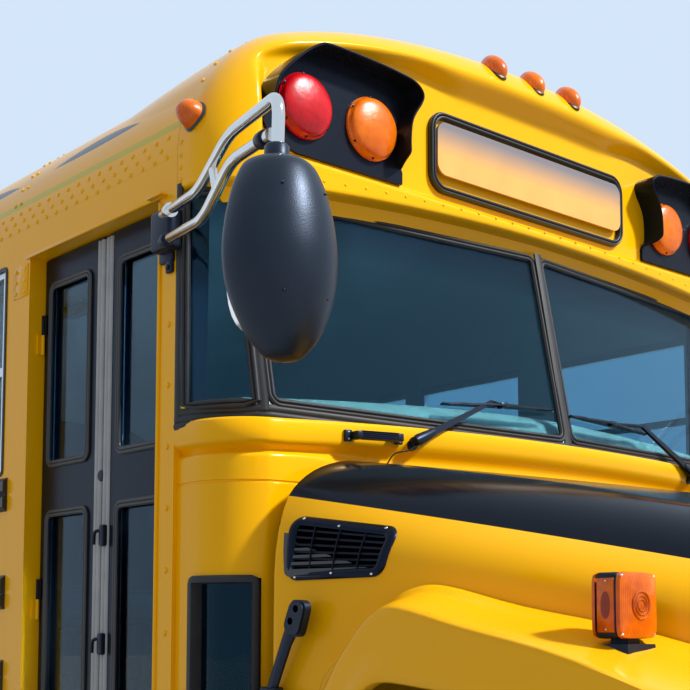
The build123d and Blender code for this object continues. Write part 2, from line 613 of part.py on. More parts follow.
wall_left = side_wall(1, SEAM_Y + SEAM)
wall_left -= box(INNER - 1, HALF + 1, DOOR_Y + 20, DOOR_END - 20, WINDOW_SILL, WINDOW_HEAD)
write("side_wall_left", wall_left)
write("side_wall_right", side_wall(-1, WINDOWS_Y))

# Door frame: front post, header and rear pillar, with deep jambs that the recessed leaves hang in
frame_outline = [
    (SEAM_Y + SEAM, SKIRT_BOTTOM), (DOOR_Y, SKIRT_BOTTOM), (DOOR_Y, DOOR_HEAD), (DOOR_END, DOOR_HEAD),
    (DOOR_END, SKIRT_BOTTOM), (WINDOWS_Y - SEAM, SKIRT_BOTTOM), (WINDOWS_Y - SEAM, EAVES - SEAM),
    (SEAM_Y + SEAM, EAVES - SEAM),
]
door_frame = prism_x(-HALF, -INNER, *frame_outline)
door_frame += box(-HALF, JAMB_IN, DOOR_Y - JAMB, DOOR_Y, SKIRT_BOTTOM, DOOR_HEAD + JAMB)
door_frame += box(-HALF, JAMB_IN, DOOR_END, DOOR_END + JAMB, SKIRT_BOTTOM, DOOR_HEAD + JAMB)
door_frame += box(-HALF, JAMB_IN, DOOR_Y, DOOR_END, DOOR_HEAD, DOOR_HEAD + JAMB)
LEAF_HINGES = (760, 1450, 2250)
hinge_x = LEAF_FACE - BARREL_OUT
front_hinges = barrel_hinge((hinge_x, DOOR_Y + BARREL_OUT), (-1, 0), (0, 1), HINGE_STRAP, (DOOR_Y, LEAF_FACE),
                            LEAF_HINGES)
rear_hinges = barrel_hinge((hinge_x, DOOR_END - BARREL_OUT), (-1, 0), (0, -1), HINGE_STRAP, (DOOR_END, LEAF_FACE),
                           LEAF_HINGES)
for knuckle in front_hinges[0] + rear_hinges[0]:
    door_frame += knuckle
write("door_frame", door_frame)

# Skirts below the belt, with the rear wheel arches cut
def skirt(side, front):
    panel = box(side * INNER, side * HALF, front, WINDOWS_END - SEAM, SKIRT_BOTTOM, BELT)
    return panel - rod((0, REAR_AXLE, AXLE_Z), (side * 2 * HALF, REAR_AXLE, AXLE_Z), ARCH_RADIUS)


write("skirts", skirt(1, SEAM_Y + SEAM), skirt(-1, WINDOWS_Y))

# Rub rails: black double-ribbed strips pressed out of the side
RAIL_DEPTH = 16
RAIL_RIB = 30
RUB_RAILS = [1719, 1421, 1165, 760]
rub_solids = []
for low in RUB_RAILS:
    high = low + 104
    outline = [
        (HALF + SEAT, low), (HALF + RAIL_DEPTH, low + 12), (HALF + RAIL_DEPTH, low + 12 + RAIL_RIB),
        (HALF + 4, low + 52), (HALF + RAIL_DEPTH, high - 12 - RAIL_RIB), (HALF + RAIL_DEPTH, high - 12),
        (HALF + SEAT, high),
    ]
    spans = [(WINDOWS_Y, WINDOWS_END)]
    if low < BELT - 150:
        arch = ARCH_RADIUS + 40
        spans = [(WINDOWS_Y, REAR_AXLE - arch), (REAR_AXLE + arch, WINDOWS_END)]
    for start, end in spans:
        rub_solids += both(prism_y(start, end, *outline))
write("rub_rails", rub_solids)

# Window sashes: aluminium frames with a middle bar, and their panes
SASH = 28
SASH_DEPTH = 30
PANE = 5
sashes = []
panes = []
sash_out = HALF - 4
openings = [(WINDOWS_Y + i * WINDOW_PITCH + PILLAR / 2, WINDOW_WIDTH) for i in range(WINDOW_COUNT)]


def sash(side, y, width):
    gap = SEAT
    x0, x1 = side * (sash_out - SASH_DEPTH), side * sash_out
    low, high = WINDOW_SILL + gap, WINDOW_HEAD - gap
    middle = (low + high) / 2
    ring = box(x0, x1, y + gap, y + width - gap, low, high)
    ring -= box(x0 - side, x1 + side, y + SASH, y + width - SASH, low + SASH, middle - SASH / 2)
    ring -= box(x0 - side, x1 + side, y + SASH, y + width - SASH, middle + SASH / 2, high - SASH)
    glass = []
    for z0, z1 in ((low + SASH, middle - SASH / 2), (middle + SASH / 2, high - SASH)):
        glass.append(box(side * (sash_out - 18), side * (sash_out - 18 + PANE), y + SASH + gap,
                         y + width - SASH - gap, z0 + gap, z1 - gap))
    return ring, glass


for side in (-1, 1):
    places = list(openings)
    if side == 1:
        places.append((DOOR_Y + 20, DOOR_WIDTH - 40))
    for y, width in places:
        ring, glass = sash(side, y, width)
        sashes.append(ring)
        panes += glass
write("window_sashes", sashes)

# Roof: one long arch from the front cap to the rear cap, with a hatch opening
HATCH_SIZE = 600
HATCH_Y = WINDOWS_Y + 2.5 * WINDOW_PITCH
roof = along(body_section(SEAM_Y + SEAM, 0, EAVES), WINDOWS_END - SEAM_Y - 2 * SEAM)
roof -= along(body_section(SEAM_Y - 5, WALL, EAVES - 5), WINDOWS_END - SEAM_Y + 10)
roof -= box(-HATCH_SIZE / 2, HATCH_SIZE / 2, HATCH_Y, HATCH_Y + HATCH_SIZE, EAVES + 100, CROWN_TOP + 100)
hatch_seat = CROWN_TOP + 12
curb = box(-HATCH_SIZE / 2 - 30, HATCH_SIZE / 2 + 30, HATCH_Y - 30, HATCH_Y + HATCH_SIZE + 30,
           CROWN_TOP - WALL, hatch_seat)
curb -= box(-HATCH_SIZE / 2, HATCH_SIZE / 2, HATCH_Y, HATCH_Y + HATCH_SIZE, EAVES, CROWN_TOP + 100)
roof += curb
lid_low = hatch_seat + SEAT
LID_LIP = 45
hatch_axis = (HATCH_Y + HATCH_SIZE + LID_LIP + BARREL_OUT, lid_low + BARREL_OUT)
for side in (-1, 1):
    roof += rod((side * 100, *hatch_axis), (side * (160 - SEAT), *hatch_axis), BARREL_R)
    roof += box(side * 100, side * (160 - SEAT), HATCH_Y + HATCH_SIZE + 28, hatch_axis[0], lid_low - 8, lid_low - 1)
    roof += box(side * 100, side * (160 - SEAT), hatch_axis[0] - 2, hatch_axis[0] + 2, lid_low - 8, hatch_axis[1])
write("roof", roof)
lid = box(-HATCH_SIZE / 2 - LID_LIP, HATCH_SIZE / 2 + LID_LIP, HATCH_Y - LID_LIP, HATCH_Y + HATCH_SIZE + LID_LIP,
          lid_low, lid_low + 55)
lid = fillet(lid.faces().sort_by(Axis.Z)[-1].edges(), 25)
for side in (-1, 1):
    lid += rod((side * 160, *hatch_axis), (side * 220, *hatch_axis), BARREL_R)
    lid += box(side * 160, side * 220, hatch_axis[0] - BARREL_OUT - 2, hatch_axis[0],
               hatch_axis[1] - 3, hatch_axis[1] + 3)
write("roof_hatch", lid)

# Front cap: moulded shell with rounded front edges, a brow over a shallow pocket, and lamp recesses
CAP_NOSE = 60
CAP_LOW = 2515
CAP_ROUND = 150
BAND_TOP = 2640
POCKET_DEPTH = 46
POCKET_SOFT = 16
POCKET_CORNER = 60
PLATE_DEPTH = 62
CAP_SKIN = 26
POCKET_HALF = 1010
cap_front = LAMP_Y - CAP_NOSE
cap = along(body_section(cap_front, 0, CAP_LOW), SEAM_Y - SEAM - cap_front)
front_edges = cap.faces().sort_by(Axis.Y)[0].edges().sort_by(Axis.Z)[1:]
cap = fillet(front_edges, CAP_ROUND)
cap_skin = cap
cap -= along(body_section(cap_front + PLATE_DEPTH + CAP_SKIN, WALL, CAP_LOW - 5), 400)
brow_side, brow_top = 2800, 2915
pocket = face(
    Line((-POCKET_HALF, cap_front - 1, BAND_TOP), (POCKET_HALF, cap_front - 1, BAND_TOP)),
    Line((POCKET_HALF, cap_front - 1, BAND_TOP), (POCKET_HALF, cap_front - 1, brow_side)),
    ThreePointArc((POCKET_HALF, cap_front - 1, brow_side), (0, cap_front - 1, brow_top),
                  (-POCKET_HALF, cap_front - 1, brow_side)),
    Line((-POCKET_HALF, cap_front - 1, brow_side), (-POCKET_HALF, cap_front - 1, BAND_TOP)),
)
hollow = extrude(pocket, amount=POCKET_DEPTH + 1, dir=(0, 1, 0))
hollow = fillet(hollow.edges().filter_by(Axis.Y), POCKET_CORNER)
hollow = fillet(hollow.faces().sort_by(Axis.Y)[-1].edges(), POCKET_SOFT)
cap -= hollow
cap -= prism_x(-HALF + 140, HALF - 140, (cap_front - 1, CAP_LOW - 1), (cap_front + 40, CAP_LOW - 1),
               (cap_front - 1, CAP_LOW + 45))
# Lamp plates: black boxes with a visor, in front and at the rear, and the round warning lamps in them
LAMP_R = 89
RED_X = 886
AMBER_X = 656
LAMP_Z = 2750
PLATE_IN = 545
PLATE_OUT = 1005
PLATE_LOW = 2600
PLATE_HIGH = 2885
PLATE_SKIN = 14
VISOR = 62
pocket_y = cap_front + POCKET_DEPTH
plate_y = cap_front + PLATE_DEPTH


def plate_outline(grow):
    """Outline of the left plate as (x, z) points, grown outwards by a clearance"""
    low, high = PLATE_LOW - grow, PLATE_HIGH + grow
    inner, outer = PLATE_IN - grow, PLATE_OUT + grow
    return [(inner, low + 50), (outer - 40, low), (outer, low + 60), (outer, high - 90), (outer - 120, high),
            (inner + 30, high), (inner, high - 40)]


def lamp_plate(wall_y, outward):
    """Plate on the wall with a rim that is deepest at the top; outward is the sign of Y away from the bus"""
    back = wall_y + outward * SEAT
    front = back + outward * (PLATE_SKIN + VISOR)
    outline = plate_outline(0)
    hollow = [(PLATE_IN + 12, PLATE_LOW + 40), (PLATE_OUT - 42, PLATE_LOW - 60),
              (PLATE_OUT - 12, PLATE_LOW + 60), (PLATE_OUT - 12, PLATE_HIGH - 94),
              (PLATE_OUT - 124, PLATE_HIGH - 12), (PLATE_IN + 34, PLATE_HIGH - 12), (PLATE_IN + 12, PLATE_HIGH - 44)]
    body = prism_y(back, front, *outline) - prism_y(back + outward * PLATE_SKIN, front + outward, *hollow)
    slope = [(back + outward * PLATE_SKIN, PLATE_LOW - 80), (front + outward, PLATE_LOW - 80),
             (front + outward, PLATE_HIGH - 60), (back + outward * PLATE_SKIN, PLATE_LOW + 20)]
    return body - prism_x(PLATE_IN - 5, PLATE_OUT + 5, *slope)


rear_wall_y = REAR_FACE
plates = both(lamp_plate(plate_y, -1)) + both(lamp_plate(rear_wall_y, 1))
write("lamp_plates", plates)
for recess in both(prism_y(cap_front - 1, plate_y, *plate_outline(0.5))):
    cap -= recess
write("front_cap", cap)


def lamp(x, z, wall_y, outward, radius=LAMP_R, height=34):
    """Shallow domed lens on its seat"""
    seat = wall_y + outward * SEAT
    rim = height / 2
    sphere_r = (radius ** 2 + rim ** 2) / (2 * rim)
    drum = rod((x, seat, z), (x, seat + outward * height, z), radius)
    centre_y = seat + outward * (height - sphere_r)
    return drum & (Pos(x, centre_y, z) * Sphere(sphere_r))


front_seat = plate_y - SEAT - PLATE_SKIN
rear_seat = rear_wall_y + SEAT + PLATE_SKIN
TAIL_LAMPS = [(860, 1330, 88), (1050, 1330, 55)]
TURN_LAMP = (860, 1560, 88)
reds = both(lamp(RED_X, LAMP_Z, front_seat, -1)) + both(lamp(RED_X, LAMP_Z, rear_seat, 1))
for x, z, radius in TAIL_LAMPS:
    reds += both(lamp(x, z, rear_wall_y, 1, radius, 26))
ambers = both(lamp(AMBER_X, LAMP_Z, front_seat, -1)) + both(lamp(AMBER_X, LAMP_Z, rear_seat, 1))
ambers += both(lamp(TURN_LAMP[0], TURN_LAMP[1], rear_wall_y, 1, TURN_LAMP[2], 26))
write("red_lamps", reds)
# Marker lamps: three on the brow, one on each front corner and five at the rear
MARKER_X = (-175, 0, 175)
MARKER_HALF = 32
MARKER_LOW = 3010
markers = []
for x in MARKER_X:
    wedge = prism_x(x - MARKER_HALF, x + MARKER_HALF,
                    (cap_front + 4, MARKER_LOW), (cap_front + 12, MARKER_LOW + 62),
                    (cap_front + 70, MARKER_LOW + 88), (cap_front + 145, MARKER_LOW + 20),
                    (cap_front + 120, MARKER_LOW - 30), (cap_front + 50, MARKER_LOW - 10))
    markers.append(wedge - cap_skin)
side_marker = prism_y(SEAM_Y - 125, SEAM_Y - 40, (HALF - 120, 2700), (HALF + 22, 2700), (HALF + 22, 2745),
                      (HALF - 10, 2790), (HALF - 120, 2790))
markers += both(side_marker - cap_skin)
write("amber_lamps", ambers, markers)

# Sign over the windshield: rounded panel in a rubber surround, left blank
SIGN_HALF = 450
SIGN_LOW = 2657
SIGN_HIGH = 2860
SIGN_RUBBER = 22
sign_y = pocket_y - SEAT


def sign_outline(inset):
    a, low, high = SIGN_HALF - inset, SIGN_LOW + inset, SIGN_HIGH - inset
    return [(-a, low), (a, low), (a, high), (-a, high)]


sign_ring = prism_y(sign_y - 18, sign_y, *sign_outline(0), radius=55)
sign_ring -= prism_y(sign_y - 19, sign_y + 1, *sign_outline(SIGN_RUBBER), radius=35)
sign_panel = prism_y(sign_y - 8, sign_y, *sign_outline(SIGN_RUBBER + SEAT), radius=35)
write("sign_panel", sign_panel)

# Cowl: wraps round under the windshield, with a ledge on top and a window low in each corner
COWL_BAND = 1815
GROOVE_LOW = 1797
GROOVE_DEPTH = 14
COWL_INSET = 12
TUNNEL_HALF = 560
CORNER_WINDOW_LOW = 900
CORNER_WINDOW_HIGH = 1497
upper = extrude(plan(COWL_BAND, 0, cowl_y, SEAM_Y), amount=COWL_TOP - COWL_BAND, dir=(0, 0, 1))
neck_depth = COWL_INSET + GROOVE_DEPTH
neck = extrude(plan(GROOVE_LOW, neck_depth, cowl_y, SEAM_Y), amount=COWL_BAND - GROOVE_LOW, dir=(0, 0, 1))
lower = extrude(plan(SKIRT_BOTTOM, COWL_INSET, cowl_y, SEAM_Y), amount=GROOVE_LOW - SKIRT_BOTTOM, dir=(0, 0, 1))
cowl = upper + neck + lower
cowl_inside = plan(SKIRT_BOTTOM - 1, WALL, cowl_y, SEAM_Y + 5)
cowl -= extrude(cowl_inside, amount=COWL_TOP - SKIRT_BOTTOM - WALL, dir=(0, 0, 1))
cowl -= extrude(plan(COWL_TOP - WALL - 5, 110, cowl_y, SEAM_Y + 5), amount=WALL + 10, dir=(0, 0, 1))
WINDOW_BACK = SEAM_Y - 46
WINDOW_FRONT = SEAM_Y - 235
CORNER_FRAME = 26
FRAME_PROUD = 4


def corner_opening(grow):
    """Prisms through the two low corner windows, grown outwards by a clearance"""
    outline = [(WINDOW_BACK + grow, CORNER_WINDOW_LOW - grow), (WINDOW_BACK + grow, CORNER_WINDOW_HIGH + grow),
               (WINDOW_FRONT - grow, CORNER_WINDOW_HIGH + grow), (WINDOW_FRONT - grow, CORNER_WINDOW_LOW - grow)]
    return both(prism_x(HALF - CORNER_IN, HALF + 50, *outline))


def corner_band(outer, inner):
    """Upright band that follows the plan outline between two insets, over the corner windows' height"""
    height = CORNER_WINDOW_HIGH - CORNER_WINDOW_LOW + 100
    band = extrude(plan(CORNER_WINDOW_LOW - 50, outer, cowl_y, SEAM_Y), amount=height, dir=(0, 0, 1))
    band -= extrude(plan(CORNER_WINDOW_LOW - 51, inner, cowl_y, SEAM_Y + 1), amount=height + 2, dir=(0, 0, 1))
    return band & box(-HALF - 50, HALF + 50, cowl_y + BOW + 5, SEAM_Y, 0, 3000)


for opening in corner_opening(0):
    cowl -= opening
seal_band = corner_band(COWL_INSET - FRAME_PROUD, WALL - FRAME_PROUD)
pane_band = corner_band(COWL_INSET + FRAME_PROUD, COWL_INSET + FRAME_PROUD + PANE)
corner_seals, corner_panes = [], []
for hole, inner, sheet in zip(corner_opening(-SEAT), corner_opening(-CORNER_FRAME),
                              corner_opening(-CORNER_FRAME - SEAT)):
    corner_seals.append((seal_band & hole) - inner)
    corner_panes.append(pane_band & sheet)
cowl -= box(-TUNNEL_HALF, TUNNEL_HALF, cowl_y - 10, SEAM_Y, SKIRT_BOTTOM - 5, FLOOR_TOP - WALL)
write("cowl", cowl)

# Windshield: a raked band between the cowl and the cap, split into rubber surround and panes
SHIELD_LOW_Y = -133
SHIELD_HIGH_Y = -22
SHIELD_THICK = 34
SHIELD_TOP_REACH = 112
PANE_EDGE = 52
MULLION = 22
CORNER_BAR_X = 1085
shield_low = COWL_TOP + SEAT
shield_high = CAP_LOW - SEAT


def shield_band(inset):
    low = plan(shield_low, inset, LAMP_Y + SHIELD_LOW_Y, SEAM_Y - SEAM)
    high = plan(shield_high, inset, LAMP_Y + SHIELD_HIGH_Y, SEAM_Y - SEAM, SHIELD_TOP_REACH)
    return loft([low, high], ruled=True)


band = shield_band(0) - shield_band(SHIELD_THICK)
glass_band = shield_band(12) - shield_band(12 + 6)
front_cut = [
    (MULLION, shield_low + PANE_EDGE), (CORNER_BAR_X - MULLION, shield_low + PANE_EDGE),
    (CORNER_BAR_X - MULLION, shield_high - PANE_EDGE * 0.6), (MULLION, shield_high - PANE_EDGE * 0.6),
]
front_pane = prism_y(LAMP_Y - 400, LAMP_Y + 60, *front_cut, radius=18)
side_cut = [
    (LAMP_Y - 60, shield_low + PANE_EDGE), (LAMP_Y + 78, shield_low + PANE_EDGE),
    (LAMP_Y + 92, shield_high - PANE_EDGE * 0.6), (LAMP_Y + 42, shield_high - PANE_EDGE * 0.6),
]
side_pane = prism_x(HALF - 200, HALF + 30, *side_cut, radius=12)
pane_cuts = both(front_pane) + both(side_pane)
seal = band
shield_panes = []
for cut in pane_cuts:
    seal -= cut
    shield_panes += (glass_band & cut).solids()
write("rubber_surrounds", seal, sign_ring, corner_seals)
write("windshield_glass", shield_panes, corner_panes)

# Wipers: a pivot on the cowl at each side, an arm that rises beside the glass and a blade near the middle
WIPER_PIVOT = (626, -158, 1858)
WIPER_ELBOW = (350, -165, 2003)
WIPER_MIDDLE = (262, -152, 2004)
BLADE_HALF = 218
BLADE_RISE = 9
wiper = rod(from_lamps(WIPER_PIVOT), from_lamps(WIPER_ELBOW), 9)
wiper += rod(from_lamps(WIPER_ELBOW), from_lamps(WIPER_MIDDLE), 7)
wiper += rod(from_lamps((WIPER_PIVOT[0], -COWL_NOSE + BOW * 0.3 + SEAT, WIPER_PIVOT[2])),
             from_lamps((WIPER_PIVOT[0], WIPER_PIVOT[1] - 14, WIPER_PIVOT[2])), 17)
blade_in = (WIPER_MIDDLE[0] - BLADE_HALF, WIPER_MIDDLE[1], WIPER_MIDDLE[2] + BLADE_RISE)
blade_out = (WIPER_MIDDLE[0] + BLADE_HALF, WIPER_MIDDLE[1] + 4, WIPER_MIDDLE[2] - BLADE_RISE)
wiper += rod(from_lamps(blade_in), from_lamps(blade_out), 7)
wiper -= cowl
write("wipers", both(wiper))

# Rear cap: end wall with rounded edges and the emergency doorway
REAR_ROUND = 90
EXIT_HALF = 480
EXIT_LOW = FLOOR_TOP + 40
EXIT_HIGH = 2440
REAR_WINDOW_IN = 600
REAR_WINDOW_OUT = 1030
rear = along(body_section(WINDOWS_END, 0, SKIRT_BOTTOM), REAR_FACE - WINDOWS_END)
rear = fillet(rear.faces().sort_by(Axis.Y)[-1].edges().sort_by(Axis.Z)[1:], REAR_ROUND)
rear -= along(body_section(WINDOWS_END - 1, WALL, SKIRT_BOTTOM - 1), REAR_FACE - WALL - WINDOWS_END + 1)
rear -= box(-EXIT_HALF, EXIT_HALF, REAR_FACE - 2 * WALL, REAR_FACE + 1, EXIT_LOW, EXIT_HIGH)
rear_glass = []
for side in (-1, 1):
    rear -= box(side * REAR_WINDOW_IN, side * REAR_WINDOW_OUT, REAR_FACE - 2 * WALL, REAR_FACE + 1, WINDOW_SILL,
                WINDOW_HEAD - 60)
    rear_glass.append(box(side * (REAR_WINDOW_IN + SEAT), side * (REAR_WINDOW_OUT - SEAT), REAR_FACE - 25,
                          REAR_FACE - 25 + PANE, WINDOW_SILL + SEAT, WINDOW_HEAD - 60 - SEAT))
rear -= box(-HALF + 130, HALF - 130, WINDOWS_END - 5, REAR_FACE + 5,
            SKIRT_BOTTOM - 5, BUMPER_BOTTOM + BUMPER_HEIGHT + 5)
exit_face = REAR_FACE - 2
EXIT_HINGES = (1400, 1700, 2300)
exit_hinges = barrel_hinge((-EXIT_HALF, REAR_FACE + BARREL_OUT), (-1, 0), (1, 0), HINGE_STRAP,
                           (REAR_FACE, exit_face), EXIT_HINGES)
for knuckle in exit_hinges[0]:
    rear += knuckle
write("rear_wall", rear)
write("window_panes", panes, rear_glass)

# Emergency door: hinged at the bus's right, with an upper and a lower pane
door_x = EXIT_HALF - RUNNING_GAP
exit_door = box(-door_x, door_x, REAR_FACE - WALL, exit_face, EXIT_LOW + RUNNING_GAP, EXIT_HIGH - RUNNING_GAP)
exit_glass = []
for low, high in ((WINDOW_SILL, EXIT_HIGH - 90), (EXIT_LOW + 150, WINDOW_SILL - 180)):
    exit_door -= box(-door_x + 90, door_x - 90, REAR_FACE - 2 * WALL, REAR_FACE + 1, low, high)
    exit_glass.append(box(-door_x + 90 + SEAT, door_x - 90 - SEAT, REAR_FACE - 25, REAR_FACE - 25 + PANE,
                          low + SEAT, high - SEAT))
exit_door += box(door_x - 90, door_x - 50, REAR_FACE - 2.5, REAR_FACE + 30, 1680, 1810)
for knuckle in exit_hinges[1]:
    exit_door += knuckle
write("emergency_door", exit_door)
write("emergency_glass", exit_glass)

# Entry door: two leaves that swing outwards from their outer edges, each with two panes and a soft leading edge
LEAF_GAP = 13
STILE_OUT = 42
STILE_IN = 43
STRIP_WIDTH = 34
STRIP_NOSE = 12
UPPER_PANE = (1851, 2392)
LOWER_PANE = (520, 1702)
leaf_width = (DOOR_WIDTH - LEAF_GAP) / 2 - RUNNING_GAP
leaf_top = DOOR_HEAD - RUNNING_GAP
leaf_back = LEAF_FACE + LEAF_THICKNESS
for name, hinge_y, way, knuckles in (("front", DOOR_Y + RUNNING_GAP, 1, front_hinges[1]),
                                     ("rear", DOOR_END - RUNNING_GAP, -1, rear_hinges[1])):
    strip_y = hinge_y + way * (leaf_width - STRIP_WIDTH)
    leaf = box(LEAF_FACE, leaf_back, hinge_y, strip_y, DOOR_BOTTOM, leaf_top)
    strip = box(LEAF_FACE + 2, leaf_back - 2, strip_y, hinge_y + way * leaf_width, DOOR_BOTTOM, leaf_top)
    leaf += fillet(strip.edges().filter_by(Axis.Z).group_by(Axis.Y)[-1 if way > 0 else 0], STRIP_NOSE)
    glass = []
    pane_0, pane_1 = sorted((hinge_y + way * STILE_OUT, strip_y - way * STILE_IN))
    for low, high in (UPPER_PANE, LOWER_PANE):
        leaf -= box(LEAF_FACE - 1, leaf_back + 1, pane_0, pane_1, low, high)
        glass.append(box(LEAF_FACE + 12, LEAF_FACE + 12 + PANE, pane_0 + SEAT, pane_1 - SEAT,
                         low + SEAT, high - SEAT))
    for knuckle in knuckles:
        leaf += knuckle
    write(f"entry_leaf_{name}", leaf)
    write(f"entry_glass_{name}", glass)

# Mirrors on two bent tubes from a bracket on the front post
TUBE = 11
MIRROR_AT = (-1570, -740, 2060)
MIRROR_TOP = 200
NECK_R = 30
NECK_LENGTH = 45
neck_z = MIRROR_AT[2] + MIRROR_TOP
upper_run = [(-HALF - 20, 165, 2425), (-1262, 120, 2430), (-1555, -690, 2370), (-1570, -740, neck_z + 25)]
lower_run = [(-HALF - 20, 165, 2355), (-1262, 115, 2345), (-1400, -280, 2240), (-1560, -720, neck_z + 22)]


arm = pipe([from_lamps(p) for p in upper_run], TUBE, 40)
arm += pipe([from_lamps(p) for p in lower_run], TUBE, 40)
arm += box(-HALF - 40, -HALF - SEAT, LAMP_Y + 140, LAMP_Y + 195, 2320, 2460)
neck = from_lamps(MIRROR_AT)
arm += rod((neck[0], neck[1], neck_z + SEAT), (neck[0], neck[1], neck_z + NECK_LENGTH), NECK_R)
write("mirror_arms", both(arm))
MIRROR_R = 104
egg = face(
    Line((0, 0, -MIRROR_TOP), (0, 0, MIRROR_TOP)),
    Line((0, 0, MIRROR_TOP), (NECK_R + 8, 0, MIRROR_TOP)),
    ThreePointArc((NECK_R + 8, 0, MIRROR_TOP), (MIRROR_R - 14, 0, MIRROR_TOP - 95), (MIRROR_R, 0, 0)),
    ThreePointArc((MIRROR_R, 0, 0), (MIRROR_R - 22, 0, -MIRROR_TOP + 75), (NECK_R, 0, -MIRROR_TOP)),
    Line((NECK_R, 0, -MIRROR_TOP), (0, 0, -MIRROR_TOP)),
)
head = revolve(egg, axis=Axis.Z)
head -= box(-200, 200, 45, 200, -300, 300)
head = Pos(*from_lamps(MIRROR_AT)) * head
write("mirror_heads", both(head))

# Hood: one tilting shell with the engine cover, a lobe over each wheel and an open arch under it
HOOD_BACK = -165
HOOD_SKIN = 30
HOOD_LOW = HORN_TOP + 15
FENDER_OUT = 1165
FENDER_IN = 700
GRILLE_HALF = 430
GRILLE_LOW = HINGE_Z + EAR_R + 16
GRILLE_HIGH = 1290
hood_back = LAMP_Y + HOOD_BACK
# Sections of the engine cover: y, half width at the shoulder, shoulder height, half width at the hip, hip height,
# half width of the flat top, height of the crown, half width at the foot
HOOD_SECTIONS = [
    (hood_back, 1058, 1690, 1128, 1500, 900, 1800, 1135),
    (FRONT_AXLE, 790, 1500, 880, 1350, 600, 1650, 890),
    (HOOD_FRONT, 560, 1330, 610, 1170, 420, 1410, 620),
]
HIP_BULGE = 12


def hood_section(y, shoulder_x, shoulder_z, hip_x, hip_z, top_x, crown_z, foot_x, inset, base):
    sx, hx, tx, fx = shoulder_x - inset, hip_x - inset, top_x - inset, foot_x - inset
    sz, cz = shoulder_z - inset * 0.5, crown_z - inset
    edge_z = cz - 22
    hip_mid = ((sx + hx) / 2 + HIP_BULGE, y, (sz + hip_z) / 2)
    top_mid = (sx * 0.35 + tx * 0.65 + 18, y, sz * 0.3 + edge_z * 0.7)

    def other(point):
        return (-point[0], point[1], point[2])

    return face(
        Line((-fx, y, base), (fx, y, base)),
        Line((fx, y, base), (hx, y, hip_z)),
        ThreePointArc((hx, y, hip_z), hip_mid, (sx, y, sz)),
        ThreePointArc((sx, y, sz), top_mid, (tx, y, edge_z)),
        ThreePointArc((tx, y, edge_z), (0, y, cz), (-tx, y, edge_z)),
        ThreePointArc((-tx, y, edge_z), other(top_mid), (-sx, y, sz)),
        ThreePointArc((-sx, y, sz), other(hip_mid), (-hx, y, hip_z)),
        Line((-hx, y, hip_z), (-fx, y, base)),
    )


def cover(inset, base):
    return loft([hood_section(*row, inset, base) for row in HOOD_SECTIONS])


fender_side = [
    (HOOD_FRONT, HOOD_LOW), (HOOD_FRONT, 1060), (HOOD_FRONT + 170, 1170), (FRONT_AXLE, 1300),
    (LAMP_Y - 500, 1425), (LAMP_Y - 390, 1330), (LAMP_Y - 300, 1100), (LAMP_Y - 300, HOOD_LOW),
]
arch_profile = [
    (FRONT_AXLE - 630, HOOD_LOW - 1), (FRONT_AXLE - 560, 1010), (FRONT_AXLE - 330, 1140),
    (FRONT_AXLE + 500, 1250), (FRONT_AXLE + 640, 1100), (FRONT_AXLE + 690, HOOD_LOW - 1),
]
half_skin = cover(0, HOOD_LOW) & box(0, HALF, HOOD_FRONT - 1, LAMP_Y, 0, 2000)
half_skin += prism_x(FENDER_IN - 300, FENDER_OUT, *fender_side, radius=60)
nose_wall = box(-HALF, HALF, HOOD_FRONT - 1, HOOD_FRONT + HOOD_SKIN, 0, 2000)
half_shell = half_skin - (cover(HOOD_SKIN, HOOD_LOW - 1) - nose_wall)
half_shell -= prism_x(300, FENDER_OUT + 5, *arch_profile, radius=60)
half_shell -= box(-1, GRILLE_HALF, HOOD_FRONT - 1, HOOD_FRONT + HOOD_SKIN + 1, GRILLE_LOW, GRILLE_HIGH)
notch_half = LUG_WIDTH / 2 + SEAT
half_shell -= box(RAIL_X - notch_half, RAIL_X + notch_half, HOOD_FRONT - 1, HOOD_FRONT + HOOD_SKIN + 1,
                  HOOD_LOW - 1, HINGE_Z + EAR_R)
for way in (-1, 1):
    ear_0, ear_1 = RAIL_X + way * notch_half, RAIL_X + way * (notch_half + EAR_WIDTH)
    half_shell += rod((ear_0, hood_axis_y, HINGE_Z), (ear_1, hood_axis_y, HINGE_Z), EAR_R)
bore_half = notch_half + EAR_WIDTH + 1
half_shell -= rod((RAIL_X - bore_half, hood_axis_y, HINGE_Z), (RAIL_X + bore_half, hood_axis_y, HINGE_Z),
                  HINGE_PIN_R + SEAT)
# Louvred vent on each side: outline and opening as (y, z) points, the frame's height above the skin, louvres
vent_outline = [(LAMP_Y - 172, 1634), (LAMP_Y - 469, 1591), (LAMP_Y - 463, 1481), (LAMP_Y - 207, 1482)]
vent_hole = [(LAMP_Y - 195, 1614), (LAMP_Y - 446, 1578), (LAMP_Y - 441, 1497), (LAMP_Y - 224, 1498)]
VENT_PROUD = 9
VENT_LOUVRES = 7
vent_low = vent_hole[2][1]
vent_high = vent_hole[0][1]
half_shell -= prism_x(700, HALF, *vent_hole, radius=12)
vent = (cover(-VENT_PROUD, HOOD_LOW) - cover(-SEAT, HOOD_LOW - 1)) & prism_x(700, HALF, *vent_outline, radius=18)
louvre_pitch = (vent_high - vent_low) / VENT_LOUVRES
for i in range(VENT_LOUVRES):
    z = vent_low + i * louvre_pitch
    slot = prism_x(700, HALF + 1, *vent_hole, radius=12)
    vent -= slot & box(700, HALF + 1, vent_outline[1][0] - 30, vent_outline[0][0] + 20, z + 3, z + louvre_pitch - 4)
write("hood", half_shell + mirrored(half_shell))

